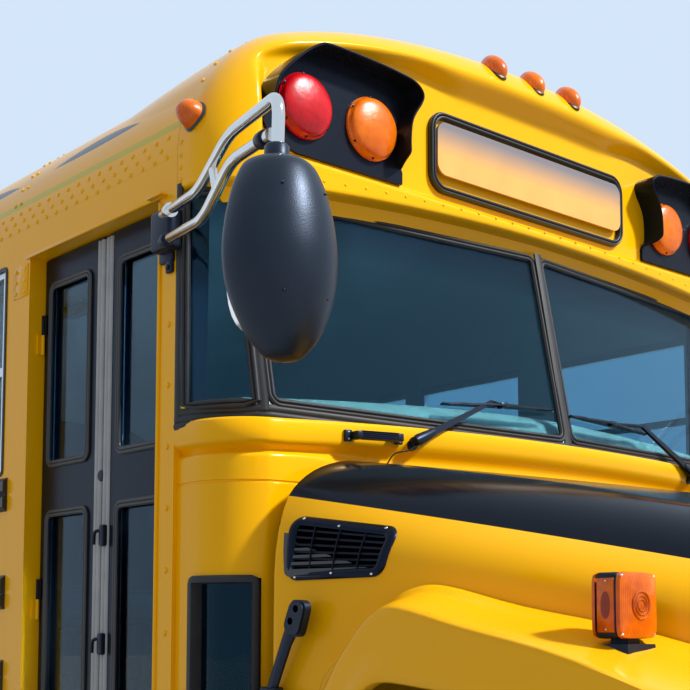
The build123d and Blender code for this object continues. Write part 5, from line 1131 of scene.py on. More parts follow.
# Grab handles under the windshield: ribbed black mouldings on two screwed feet.
def block(low, high, radius=0.004, segments=2):
    """Box between two corners with rounded edges"""
    shape = bmesh.new()
    bmesh.ops.create_cube(shape, size=1)
    centre = [(a + b) / 2 for a, b in zip(low, high)]
    for vert in shape.verts:
        vert.co = Vector([c + v * abs(b - a) for c, v, a, b in zip(centre, vert.co, low, high)])
    if radius:
        bmesh.ops.bevel(shape, geom=shape.edges[:], offset=radius, segments=segments, profile=0.5, affect="EDGES")
    shape.verts.index_update()
    made = [tuple(v.co) for v in shape.verts], [tuple(v.index for v in f.verts) for f in shape.faces]
    shape.free()
    return made


def turned(shape, origin, right, up):
    """Places a shape made round the origin: its x runs along right, its z along up"""
    right, up = Vector(right).normalized(), Vector(up)
    up = (up - right * up.dot(right)).normalized()
    ahead = up.cross(right)
    origin = Vector(origin)
    return [tuple(origin + right * x + ahead * y + up * z) for x, y, z in shape[0]], shape[1]


moulded_black = finish("moulded_black", (0.01, 0.011, 0.014), 0.4, variation=0.4, dust=0.02, grain=(600.0, 0.6), bump=0.12,
                       specular=0.35, sheen=PAINTED_SKY_SHEEN)
zinc = finish("zinc_screws", (0.62, 0.62, 0.6), 0.32, metallic=1.0, variation=0.3, grain=(400.0, 0.4), bump=0.05)
HANDLE_AT = (0.783, 1.857)
HANDLE_SCALE = (0.86, 0.76)
handle_y = COWL_NOSE + 0.016
handle_parts = [block((-0.074, -0.034, -0.016), (0.074, -0.018, 0.016), 0.006)]
for i in range(5):
    z = -0.0125 + i * 0.00625
    handle_parts.append(block((-0.07, -0.0365, z - 0.0014), (0.07, -0.032, z + 0.0014), 0.0008, 1))
handle_screws = []
for side in (-1, 1):
    handle_parts.append(block((side * 0.099 - 0.013, -0.007, -0.02), (side * 0.099 + 0.013, 0.003, 0.02), 0.003))
    handle_parts.append(block((side * 0.078 - 0.013, -0.034, -0.014), (side * 0.078 + 0.013, 0.0, 0.014), 0.004))
    for z in (-0.012, 0.012):
        handle_screws.append(dome((side * 0.1, -0.007, z), (0, -1, 0), 0.0035, 0.0025))
handles, screws = [], []
for side in (-1, 1):
    place_at = (side * HANDLE_AT[0], handle_y - 0.001, HANDLE_AT[1])
    along_bar = (1, side * 0.045, -side * 0.04)
    for target, parts in ((handles, handle_parts), (screws, handle_screws)):
        points, faces = join(*parts)
        target.append(turned(([(x * HANDLE_SCALE[0], y, z * HANDLE_SCALE[1]) for x, y, z in points], faces), place_at,
                             along_bar, (0, 0, 1)))
piece("cowl_handles", join(*handles), moulded_black, sharp=40)
piece("handle_screws", join(*screws), zinc, sharp=60)


# Wipers: pivot heads on the cowl, channel arms that cross in front of the glass, and long blades with bridges.
def tube(path, radius, sides=12, flat=1.0, up=(0, 0, 1), capped=True):
    """Round or flattened bar along points; radius may be one value or one for each point"""
    path = [Vector(p) for p in path]
    rows = []
    for i, point in enumerate(path):
        along = (path[min(i + 1, len(path) - 1)] - path[max(i - 1, 0)]).normalized()
        across = along.cross(Vector(up))
        across = across.normalized() if across.length > 1e-4 else along.orthogonal().normalized()
        other = across.cross(along)
        r = radius[i] if isinstance(radius, (list, tuple)) else radius
        rows.append([point + across * r * math.cos(2 * math.pi * k / sides + math.pi / sides)
                     + other * r * flat * math.sin(2 * math.pi * k / sides + math.pi / sides) for k in range(sides)])
    points, faces = grid(rows, close=True)
    if capped:
        faces += [tuple(reversed(range(sides))), tuple(range(len(points) - sides, len(points)))]
    return points, faces


def bends(points, radius, steps=8):
    """Line through points with an arc at each corner"""
    points = [Vector(p) for p in points]
    line = [points[0]]
    for i in range(1, len(points) - 1):
        corner = points[i]
        before, after = (points[i - 1] - corner), (points[i + 1] - corner)
        cut = min(radius, before.length * 0.45, after.length * 0.45)
        a, b = corner + before.normalized() * cut, corner + after.normalized() * cut
        for k in range(steps + 1):
            t = k / steps
            line.append(a.lerp(corner, t).lerp(corner.lerp(b, t), t))
    return line + [points[-1]]


wiper_black = finish("wiper_black", (0.006, 0.007, 0.009), 0.33, variation=0.5, dust=0.02, grain=(500.0, 0.5), bump=0.08,
                     specular=0.35, sheen=PAINTED_SKY_SHEEN)


def wiper(pivot, elbow, tip_in, tip_out):
    pivot, elbow = Vector(at(*pivot)), Vector(at(*elbow))
    tip_in, tip_out = Vector(at(*tip_in)), Vector(at(*tip_out))
    out = Vector((0, -1, 0.2)).normalized()
    parts = [lathe([(0.021, 0.0), (0.021, 0.012), (0.014, 0.014), (0.014, 0.034), (0.011, 0.038), (0.0001, 0.038)],
                   pivot - out * 0.012, out, 20)]
    head_end = pivot.lerp(elbow, 0.2)
    parts.append(tube([pivot + out * 0.022 - (elbow - pivot).normalized() * 0.012, pivot + out * 0.022, head_end + out * 0.02],
                      [0.014, 0.017, 0.012], 10, 0.8, out))
    parts.append(tube([head_end + out * 0.02, pivot.lerp(elbow, 0.3) + out * 0.021, elbow + out * 0.012],
                      [0.013, 0.0125, 0.009], 4, 0.7, out))
    blade_middle = tip_in.lerp(tip_out, 0.5) + out * 0.016
    parts.append(tube(bends([elbow + out * 0.012, elbow.lerp(blade_middle, 0.25) + out * 0.012, blade_middle], 0.02, 4),
                      0.0052, 6))
    along = (tip_out - tip_in).normalized()
    length = (tip_out - tip_in).length
    parts.append(tube([tip_in, tip_out], 0.0035, 4, 1.6, out))
    parts.append(tube([tip_in + out * 0.006, tip_out + out * 0.006], 0.0032, 6))
    bridge = [tip_in.lerp(tip_out, t) + out * (0.008 + 0.014 * math.sin(math.pi * (t - 0.16) / 0.68))
              for t in [0.16 + 0.68 * i / 12 for i in range(13)]]
    parts.append(tube(bridge, 0.0042, 4, 1.2, out))
    for centre in (0.16, 0.84, 0.36, 0.64):
        reach = 0.11 if centre in (0.16, 0.84) else 0.08
        yoke = [tip_in.lerp(tip_out, centre + reach * k) + out * (0.013 - 0.007 * k * k) for k in (-1, -0.5, 0, 0.5, 1)]
        parts.append(tube(yoke, 0.0038, 4, 1.2, out))
    parts.append(turned(block((-0.014, -0.008, -0.01), (0.014, 0.008, 0.01), 0.003), blade_middle, along, out))
    return join(*parts)


wipers = join(wiper((-0.642, -0.136, 1.857), (-0.322, -0.115, 2.003), (-0.505, -0.108, 1.981), (-0.06, -0.128, 2.01)),
              wiper((0.62, -0.136, 1.862), (0.39, -0.112, 2.008), (0.02, -0.128, 2.002), (0.42, -0.112, 1.988)))
wiper_set = piece("wiper_arms", wipers, wiper_black, sharp=45)
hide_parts("wipers")
hoses = []
for side in (-1, 1):
    hose_line = bends([at(side * 0.645, -0.15, 1.85), at(side * 0.67, -0.16, 1.832), at(side * 0.73, -0.156, 1.818),
                       at(side * 0.75, -0.15, 1.785)], 0.04, 6)
    hoses.append(tube(hose_line, 0.0022, 6))
piece("washer_hoses", join(*hoses), wiper_black, sharp=60)


# Hood: one fibreglass moulding that tilts forwards, with a fender lobe over each front wheel. The top is sprayed
# satin black down to a colour line on each shoulder, the sides are gloss yellow; the rear edge is turned in.
NOSE = -1.87
NOSE_TURN = 0.04
HOOD_LOW = 0.80
LOBE_X = 1.165
LIP_PROUD = 0.006
ARCH_FLANGE = 0.03
BOW_AT = (-0.15, -1.10, -1.87)
BOW_POWER = 2.8
LINE_X = (1.09, 0.782, 0.56)
LINE_Z = (1.684, 1.5, 1.33)
# One row for each station: where the colour line, the fender's inner and outer ridge and the arch's edge are
STATIONS = [
    (-0.165, (-0.165, 0.80), (-0.165, 0.80), (-0.165, 0.80)), (-0.19, (-0.27, 0.80), (-0.345, 0.80), (-0.41, 0.80)),
    (-0.24, (-0.28, 1.0), (-0.35, 1.0), (-0.415, 0.95)), (-0.32, (-0.30, 1.22), (-0.385, 1.17), (-0.44, 1.08)),
    (-0.40, (-0.363, 1.298), (-0.43, 1.265), (-0.47, 1.16)), (-0.46, (-0.439, 1.374), (-0.475, 1.32), (-0.505, 1.21)),
    (-0.52, (-0.50, 1.425), (-0.515, 1.36), (-0.545, 1.24)), (-0.58, (-0.56, 1.452), (-0.56, 1.39), (-0.59, 1.25)),
    (-0.66, (-0.64, 1.452), (-0.63, 1.40), (-0.66, 1.247)), (-0.82, (-0.82, 1.405), (-0.82, 1.36), (-0.84, 1.228)),
    (-1.10, (-1.10, 1.345), (-1.10, 1.30), (-1.10, 1.19)), (-1.5, (-1.5, 1.22), (-1.5, 1.17), (-1.43, 1.14)),
    (-1.80, (-1.80, 1.10), (-1.75, 1.06), (-1.66, 1.01)), (-1.86, (-1.86, 1.06), (-1.85, 0.95), (-1.71, 0.88)),
    (-1.87, (-1.87, 1.05), (-1.87, 0.80), (-1.73, 0.80)),
]


def bow(y, values):
    """Value at y on the parabola through the values at the hood's rear, middle and nose"""
    y0, y1, y2 = BOW_AT
    v0, v1, v2 = values
    return (v0 * (y - y1) * (y - y2) / ((y0 - y1) * (y0 - y2)) + v1 * (y - y0) * (y - y2) / ((y1 - y0) * (y1 - y2))
            + v2 * (y - y0) * (y - y1) / ((y2 - y0) * (y2 - y1)))


def hood_side_x(y, z):
    """Half width of the hood's side above the fender"""
    line_x, line_z = bow(y, LINE_X), bow(y, LINE_Z)
    foot_x, foot_z = bow(y, (1.131, 0.885, 0.62)), bow(y, (1.433, 1.345, 1.05))
    t = min(max((line_z - z) / (line_z - foot_z), 0.0), 1.0)
    return line_x + (foot_x - line_x) * (1 - (1 - t) ** BOW_POWER) + 0.004 * min(max((foot_z - z) / 0.633, 0.0), 1.0)


def nose_y(y):
    return max(y, NOSE + NOSE_TURN)


top_rows, side_rows_hood, lobe_rows = [], [], []
dense = through([(a, *b, *c, *d) for a, b, c, d in STATIONS], 4)
for number, (line_y, inner_y, inner_z, outer_y, outer_z, arch_y, arch_z) in enumerate(dense):
    y = line_y
    crown_z, crest = bow(y, (1.797, 1.622, 1.40)), (bow(y, (0.90, 0.60, 0.42)), bow(y, (1.786, 1.602, 1.37)))
    turn = (bow(y, (1.032, 0.715, 0.51)), bow(y, (1.766, 1.577, 1.36)))
    line = (bow(y, LINE_X), bow(y, LINE_Z))
    half_row = [at(crest[0] * i / 10, nose_y(y), crown_z - (crown_z - crest[1]) * (i / 10) ** 2) for i in range(11)]
    for i in range(1, 9):
        t = i / 8
        half_row.append(at((1 - t) ** 2 * crest[0] + 2 * t * (1 - t) * turn[0] + t * t * line[0], nose_y(y),
                           (1 - t) ** 2 * crest[1] + 2 * t * (1 - t) * turn[1] + t * t * line[1]))
    top_rows.append([(-x, yy, z) for x, yy, z in reversed(half_row[1:])] + half_row)
    side_line = []
    for i in range(15):
        t = (i / 14) ** 1.2
        yy, z = mix(line_y, inner_y, t), mix(line[1], inner_z, t)
        side_line.append(at(hood_side_x(yy, z), nose_y(yy), z))
    side_rows_hood.append(side_line)
    if number >= 4:
        foot = hood_side_x(inner_y, inner_z)
        nose_in = 0.09 * smooth((-1.55 - outer_y) / 0.32)
        lobe = []
        for i in range(11):
            t = i / 10
            ridge = 0.007 * math.exp(-((t - 0.16) / 0.1) ** 2)
            lobe.append(at(mix(foot, LOBE_X - nose_in, smooth(t)) + ridge, nose_y(mix(inner_y, outer_y, t)),
                           mix(inner_z, outer_z, t) + ridge))
        for i in range(1, 9):
            t = i / 8
            proud = LIP_PROUD * smooth((t - 0.55) / 0.25)
            lobe.append(at(LOBE_X - nose_in + proud, nose_y(mix(outer_y, arch_y, t)), mix(outer_z, arch_z, t)))
        x, yy, z = lobe[-1]
        lobe.append((x - 0.004, yy, z - 0.004))
        lobe.append((x - ARCH_FLANGE, yy, z - 0.002))
        lobe_rows.append(lobe)
REAR_LIP = 0.016
rear_lip = []
for x, y, z in top_rows[0][18:] + side_rows_hood[0][1:]:
    rear_lip.append([(x, y, z), (x * 0.997, y + 0.004, z - 0.003), (x * 0.985, y + 0.004, z - REAR_LIP)])
outline = [p for p in top_rows[-1][18:]] + side_rows_hood[-1][1:] + lobe_rows[-1][1:11]
nose_rings = []
for k in range(6):
    turn_angle = math.pi / 2 * k / 5
    pull = NOSE_TURN * (1 - math.cos(turn_angle))
    forward = LAMP_Y + NOSE + NOSE_TURN - NOSE_TURN * math.sin(turn_angle)
    nose_rings.append([(x - pull * x / 1.1, forward, max(z - pull * (z - 0.8) / 0.5, HOOD_LOW)) for x, y, z in outline])
nose_face = [[(x, y, mix(z, HOOD_LOW, i / 6)) for i in range(7)] for x, y, z in nose_rings[-1]]
hood_black = finish("hood_black", (0.006, 0.007, 0.009), 0.16, variation=0.3, dust=0.0, grain=(300.0, 0.3), wave=(2.0, 1.6),
                    bump=0.1, coat=0.03, specular=0.22, sheen=PAINTED_SKY_SHEEN)
black_top = piece("hood_black_top", grid(top_rows), hood_black, body="hood", sharp=60)
yellow_sides = piece("hood_yellow", pair(join(grid(side_rows_hood), grid(lobe_rows), grid(rear_lip), grid(nose_rings),
                                              grid(nose_face))), yellow_shell, body="hood",
                     sharp=60, weld=0.0004)
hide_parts("hood")
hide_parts("hood")

# Hood vents: black moulded frames with louvres and three uprights, held by six screws.
VENT = [at(0, -0.195, 1.633), at(0, -0.489, 1.59), at(0, -0.474, 1.476), at(0, -0.205, 1.472)]
vent_facing = Vector((1, 0, 0))


def on_hood_side(shape):
    """Lays a flat shape, made with its back at x = 0, on the hood's curved side"""
    return [(hood_side_x(y - LAMP_Y, z) + x, y, z) for x, y, z in shape[0]], shape[1]


def divided(outline, step):
    """Adds points along an outline's straight runs"""
    made = []
    for (p, out), (q, out_next) in zip(outline, outline[1:] + outline[:1]):
        parts_in = max(1, int((q - p).length / step))
        made += [(p.lerp(q, i / parts_in), out.lerp(out_next, i / parts_in)) for i in range(parts_in)]
    return made


vent_a, vent_b, vent_c, vent_d = [Vector(p) for p in VENT]
vent_bead = [(-0.024, -0.006), (-0.022, 0.005), (-0.018, 0.0085), (-0.012, 0.0095), (-0.006, 0.0085), (-0.001, 0.004),
             (0.0, -0.01)]
vent_edge = divided(rounded(VENT, 0.034), 0.02)
vent_parts = [strip(vent_edge, vent_facing, vent_bead)]
# Painted shade: a flat near-black sheet behind the louvres stands in for the dark inside of the vent.
opening_shade_sheet = [[vent_a.lerp(vent_d, i / 8).lerp(vent_b.lerp(vent_c, i / 8), mix(0.015, 0.975, j / 12)) + vent_facing * 0.0015
            for j in range(13)] for i in range(9)]
painted_hole_shade = finish("painted_hole_shade", (0.0008, 0.0008, 0.001), 0.9, variation=0.2, dust=0.0, bump=0.02, specular=0.0)
piece("vent_opening_shade", pair(on_hood_side(grid(opening_shade_sheet[1:-1]))), painted_hole_shade, body="hood")
for i in range(1, 9):
    left, right = vent_a.lerp(vent_d, i / 9), vent_b.lerp(vent_c, i / 9)
    slat = [left.lerp(right, mix(0.04, 0.94, j / 8)) + vent_facing * 0.003 for j in range(9)]
    vent_parts.append(tube(slat, 0.004, 4, 0.35, vent_facing + Vector((0, 0, -0.8))))
for share in (0.26, 0.5, 0.74):
    upright = [vent_a.lerp(vent_b, share).lerp(vent_d.lerp(vent_c, share), mix(0.06, 0.94, j / 6)) + vent_facing * 0.006
               for j in range(7)]
    vent_parts.append(tube(upright, 0.0018, 4, 1.0, vent_facing))
vent_black = finish("vent_black", (0.003, 0.0035, 0.005), 0.32, variation=0.4, dust=0.0, grain=(500.0, 0.5), bump=0.08,
                    specular=0.3, sheen=PAINTED_SKY_SHEEN)
piece("hood_vents", pair(on_hood_side(join(*vent_parts))), vent_black, body="hood", sharp=40)
screws = []
for start, stop, shares in ((vent_a, vent_b, (0.1, 0.48, 0.93)), (vent_d, vent_c, (0.07, 0.5, 0.95))):
    for share in shares:
        spot_at = start.lerp(stop, share)
        inward = (vent_a.lerp(vent_c, 0.5) - spot_at).normalized()
        screws.append(on_hood_side(dome(spot_at + inward * 0.014 + vent_facing * 0.009, vent_facing, 0.003, 0.002)))

# Hood latches: rubber pulls on each side, hooked over a clamp on the cowl, with two finger holes in the head.
LATCH_X = 1.148
rubber_pull = finish("rubber_pull", (0.01, 0.011, 0.014), 0.42, variation=0.4, dust=0.03, grain=(700.0, 0.5), bump=0.1,
                     specular=0.4, sheen=PAINTED_SKY_SHEEN)
head = [at(LATCH_X, -0.266, 1.428), at(LATCH_X, -0.324, 1.424), at(LATCH_X, -0.292, 1.338), at(LATCH_X, -0.23, 1.352)]
latch_parts = []
for grow, low, high in ((1.0, -0.012, 0.006), (0.9, 0.005, 0.011)):
    centre = sum((Vector(p) for p in head), Vector()) / len(head)
    ring_points = [centre + (Vector(p) - centre) * grow for p in head]
    latch_parts.append(slab(rounded(ring_points, 0.02), (1, 0, 0), high, low))
latch_parts.append(tube([at(LATCH_X + 0.0, -0.268, 1.372), at(LATCH_X + 0.003, -0.245, 1.33),
                         at(LATCH_X + 0.005, -0.203, 1.241), at(LATCH_X + 0.005, -0.182, 1.195)],
                        [0.022, 0.018, 0.017, 0.018], 8, 0.5, (1, 0, 0)))
piece("hood_latches", pair(join(*latch_parts)), rubber_pull, body="hood", sharp=45)
# Painted shade: near-black discs stand in for the dark depth of the two finger holes.
holes = [lathe([(0.0001, 0.0118), (0.0085, 0.0118), (0.0088, 0.0105)], at(LATCH_X, y, z), (1, 0, 0), 20)
         for y, z in ((-0.286, 1.406), (-0.266, 1.378))]
piece("latch_hole_shade", pair(join(*holes)), painted_hole_shade, body="hood")
clamp = [block((LATCH_X - 0.022, LAMP_Y - 0.205, 1.125), (LATCH_X + 0.012, LAMP_Y - 0.15, 1.225), 0.006),
         block((LATCH_X - 0.0, LAMP_Y - 0.232, 1.17), (LATCH_X + 0.026, LAMP_Y - 0.19, 1.224), 0.008, 3)]
piece("latch_clamps", pair(join(*clamp)), rubber_pull, sharp=45)

# Turn signals: two amber lenses screwed to a black frame from front and back, a small lens on the outer side with a
# dark reflector, all on a wedge-shaped rubber foot that sits on the fender.
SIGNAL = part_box("turn_signals")
SIGNAL_X = (SIGNAL[1].x - 0.115, SIGNAL[1].x)
SIGNAL_Y = (SIGNAL[0].y, SIGNAL[0].y + 0.08)
SIGNAL_Z = (1.340, 1.467)
mid_x, mid_y, mid_z = (sum(SIGNAL_X) / 2, sum(SIGNAL_Y) / 2, sum(SIGNAL_Z) / 2)


def pillow(width, height, depth, way, y):
    """Square lens with round corners and a softly domed face"""
    rows = []
    for k in range(9):
        grow = math.cos(math.pi / 2 * k / 8)
        lift = depth * (0.45 + 0.55 * math.sin(math.pi / 2 * k / 8)) if k else 0.0
        row = []
        for i in range(48):
            angle = 2 * math.pi * i / 48
            c, s = math.cos(angle), math.sin(angle)
            reach = (abs(c) ** 8 + abs(s) ** 8) ** -0.125
            row.append((mid_x + width * grow * c * reach, y + way * lift, mid_z + height * grow * s * reach))
        rows.append(row)
    return grid(rows, close=True)


signal_frame = [block((SIGNAL_X[0] + 0.002, SIGNAL_Y[0] + 0.016, SIGNAL_Z[0] + 0.001),
                      (SIGNAL_X[1] - 0.001, SIGNAL_Y[1] - 0.014, SIGNAL_Z[1] - 0.001), 0.008, 3)]
foot_top, foot_low = SIGNAL_Z[0] - 0.01, 1.272
foot_points = []
for grow, z in ((0.86, foot_top), (1.0, foot_low + 0.012), (1.0, foot_low - 0.02)):
    foot_points.append([(mid_x + sx * 0.05 * grow, mid_y + sy * 0.045 * grow, z + (0.02 * sx if z < 1.3 else 0.0))
                        for sx, sy in ((-1, -1), (1, -1), (1, 1), (-1, 1))])
foot_shape = grid(foot_points, close=True)
signal_frame += [(foot_shape[0], foot_shape[1] + [(3, 2, 1, 0)]),
                 block((mid_x - 0.02, mid_y - 0.02, foot_top - 0.002), (mid_x + 0.02, mid_y + 0.02, SIGNAL_Z[0] + 0.004), 0.002, 1)]
signal_case = piece("signal_cases", pair(join(*signal_frame)), rubber_pull, body="hood", sharp=40)
amber_clear = lens_material("amber_signal", (0.3, 0.035, 0.0), (0.95, 0.2, 0.002), 300.0)
half_w, half_h = (SIGNAL_X[1] - SIGNAL_X[0]) / 2, (SIGNAL_Z[1] - SIGNAL_Z[0]) / 2
lens_parts = [pillow(half_w, half_h, 0.016, -1, SIGNAL_Y[0] + 0.016), pillow(half_w, half_h, 0.014, 1, SIGNAL_Y[1] - 0.014),
              block((SIGNAL_X[1] - 0.003, SIGNAL_Y[0] + 0.021, SIGNAL_Z[0] + 0.012),
                    (SIGNAL_X[1] + 0.001, SIGNAL_Y[1] - 0.019, SIGNAL_Z[1] - 0.012), 0.001, 1)]
for radius in (0.026, 0.018, 0.011):
    lens_parts.append(lathe([(radius + 0.002, 0.0), (radius, 0.002), (radius - 0.002, 0.0)],
                            (mid_x, SIGNAL_Y[0] - 0.0002, mid_z), (0, -1, 0), 32))
signal_lens = piece("signal_lenses", pair(join(*lens_parts)), amber_clear, body="hood", sharp=45)
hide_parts("turn_signals")
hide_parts("turn_signals")
dark_amber = lens_material("amber_reflector", (0.12, 0.01, 0.0), (0.3, 0.04, 0.0), 300.0)
oval = [(SIGNAL_X[1] + 0.0012, mid_y + 0.011 * math.cos(2 * math.pi * i / 24), mid_z + 0.026 * math.sin(2 * math.pi * i / 24))
        for i in range(24)]
oval_shape = ([(x + 0.0006, y, z) for x, y, z in oval] + oval, [tuple(range(24))]
              + [(i, i + 24, (i + 1) % 24 + 24, (i + 1) % 24) for i in range(24)])
piece("signal_reflectors", pair(oval_shape), dark_amber, body="hood")
for sx in (-1, 1):
    for sz in (-1, 1):
        screws.append(dome((mid_x + sx * (half_w - 0.008), SIGNAL_Y[0] + 0.008, mid_z + sz * (half_h - 0.008)), (0, -1, 0),
                           0.0035, 0.003))
    screws.append(dome((SIGNAL_X[1] + 0.001, mid_y, mid_z + sx * 0.046), (1, 0, 0), 0.002, 0.001))
piece("hood_screws", pair(join(*screws)), zinc, body="hood", sharp=60)

# Nose: a grey moulded grille between headlamps with clear lenses over bright bowls, and two convex mirrors on stalks.
grille_grey = finish("grille_grey", (0.045, 0.047, 0.05), 0.38, variation=0.3, dust=0.2, grain=(500.0, 0.5), bump=0.08)
paint_node("grille", grille_grey)
lamp_clear = lens_material("headlamp_lens", (0.35, 0.37, 0.38), (0.85, 0.87, 0.88), 200.0)
lamp_clear.node_tree.nodes["Principled BSDF"].inputs["Metallic"].default_value = 0.55
paint_node("headlamps", lamp_clear)
mirror_gloss = finish("mirror_face", (0.8, 0.82, 0.84), 0.03, metallic=1.0, variation=0.02, dust=0.05, bump=0.0)
paint_node("crossview_mirrors", moulded_black)
MIRROR_BOWL = 0.135
bowl_y = LAMP_Y + NOSE + 0.13 + 0.021
faces_back = lathe([(MIRROR_BOWL - 0.004, 0.0)] + [(0.128 * math.cos(a), 0.002 + 0.022 * math.sin(a)) for a in
                   [math.pi / 2 * i / 8 for i in range(9)]], (1.010, bowl_y, 1.640), (0, 1, 0), 40)
piece("crossview_faces", pair(faces_back), mirror_gloss, body="hood", sharp=60)


# Side mirrors: egg-shaped moulded housings hung from two bent chromed tubes, clamped to a cast bracket on the
# front post. The glass is flat, let into the rear of the housing.
EGG_AT = Vector(at(1.570, -0.740, 2.046))
EGG_HALF = (0.118, 0.111, 0.193)
EGG_LEAN = 0.013
EGG_BACK = 0.058
# Height and girth of the housing as shares of its half height and its widest half width
EGG_GIRTH = [(-1.0, 0.02), (-0.985, 0.2), (-0.955, 0.334), (-0.867, 0.494), (-0.778, 0.621), (-0.6, 0.787), (-0.422, 0.901),
             (-0.244, 0.971), (0.022, 1.0), (0.289, 0.955), (0.467, 0.895), (0.644, 0.812), (0.822, 0.685), (0.911, 0.573),
             (0.964, 0.414), (0.99, 0.25), (1.0, 0.02)]
egg_rows = []
for z, girth in through(EGG_GIRTH, 3):
    row = []
    for k in range(48):
        angle = 2 * math.pi * k / 48
        c, s = math.cos(angle), math.sin(angle)
        depth = (EGG_HALF[1] if s < 0 else EGG_BACK) * s
        lean = EGG_LEAN * max(-z, 0.0) ** 1.5
        row.append(tuple(EGG_AT + Vector((EGG_HALF[0] * girth * c - lean, depth * girth ** 0.9, EGG_HALF[2] * z))))
    egg_rows.append(row)
egg = grid(egg_rows, close=True)
neck = lathe([(0.045, -0.03), (0.034, -0.012), (0.027, -0.003), (0.0245, 0.006), (0.024, 0.026), (0.02, 0.03),
              (0.01, 0.03)], EGG_AT + Vector((0, 0, EGG_HALF[2] - 0.003)), (0, 0, 1), 32)
# Painted reflection colour: the housing's reflections are tinted blue like a sky.
mirror_black = finish("mirror_black", (0.008, 0.011, 0.016), 0.36, variation=0.35, tone_scale=6.0, dust=0.0,
                      grain=(420.0, 0.7), bump=0.14, distance=0.003, specular=0.4, sheen=(0.5, 0.65, 0.95))
shells = piece("mirror_shells", pair(join(egg, neck)), mirror_black, sharp=50)
glass_edge = [(EGG_AT.x + 0.072 * math.cos(a) * (abs(math.cos(a)) ** 3 + abs(math.sin(a)) ** 3) ** (-1 / 3),
               EGG_AT.y + EGG_BACK, EGG_AT.z + 0.135 * math.sin(a) * (abs(math.cos(a)) ** 3 + abs(math.sin(a)) ** 3) ** (-1 / 3))
              for a in [2 * math.pi * i / 40 for i in range(40)]]
glass_plate = ([(x, y + 0.002, z) for x, y, z in glass_edge] + [(x, y - 0.03, z) for x, y, z in glass_edge],
               [tuple(range(40))] + [(i, i + 40, (i + 1) % 40 + 40, (i + 1) % 40) for i in range(40)])
glasses = piece("mirror_glasses", pair(glass_plate), mirror_gloss)
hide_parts("mirror_heads")
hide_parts("mirror_heads")
vents_dark = [dome(EGG_AT + Vector((x, y, z)), (0, -1, 0), 0.0028, 0.002, 8) for x, y, z in
              ((-0.05, -0.083, 0.115), (0.05, -0.083, 0.115), (-0.05, -0.089, -0.085), (0.05, -0.089, -0.085))]

ARM_R = 0.0125
ARM_SIDE = (0.94, 0.34, 0)
upper = bends([at(1.25, 0.155, 2.417), at(1.377, -0.194, 2.363), at(1.460, -0.43, 2.406), at(1.573, -0.75, 2.36),
               at(1.572, -0.745, 2.26)], 0.06)
lower = bends([at(1.25, 0.155, 2.347), at(1.391, -0.235, 2.284), at(1.468, -0.451, 2.34), at(1.558, -0.706, 2.3)], 0.06)
strut = [at(1.419, -0.314, 2.37), at(1.428, -0.339, 2.318)]
sleeve = lathe([(0.0126, -0.014), (0.0185, -0.014), (0.0195, 0.0), (0.0185, 0.014), (0.0126, 0.014)], at(1.279, 0.075, 2.405),
               (0.127, -0.349, -0.054), 24)
chrome = finish("arm_chrome", (0.74, 0.73, 0.7), 0.11, metallic=1.0, variation=0.12, dust=0.05, grain=(30.0, 0.4), bump=0.02)
arms = piece("mirror_tubes", pair(join(tube(upper, ARM_R, 20, up=ARM_SIDE), tube(lower, ARM_R, 20, up=ARM_SIDE),
                                  tube(strut, 0.01, 12, up=ARM_SIDE), sleeve)),
             chrome, sharp=40)
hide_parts("mirror_arms")
clamps = [lathe([(0.0001, -0.017), (0.0155, -0.017), (0.017, -0.015), (0.017, 0.015), (0.0155, 0.017), (0.0001, 0.017)],
                at(*p), d, 20) for p, d in (((1.542, -0.66, 2.307), (0.29, -0.8, -0.12)), ((1.271, 0.102, 2.337), (0.141, -0.39, -0.063)))]
cast = [block((HALF - 0.002, LAMP_Y + 0.138, 2.3), (HALF + 0.012, LAMP_Y + 0.2, 2.44), 0.006),
        block((HALF + 0.004, LAMP_Y + 0.098, 2.322), (HALF + 0.046, LAMP_Y + 0.192, 2.43), 0.012, 3),
        block((HALF - 0.002, LAMP_Y + 0.142, 2.272), (HALF + 0.01, LAMP_Y + 0.172, 2.32), 0.005)]
bolts = [dome((HALF + 0.01, LAMP_Y + 0.157, 2.286), (1, 0, 0), 0.008, 0.007, 6)]
clamp_set = piece("mirror_clamps", pair(join(*clamps, *cast, *bolts)), moulded_black, sharp=45)
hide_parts("mirror_arms")
piece("mirror_vents", pair(join(*vents_dark)), vent_black)


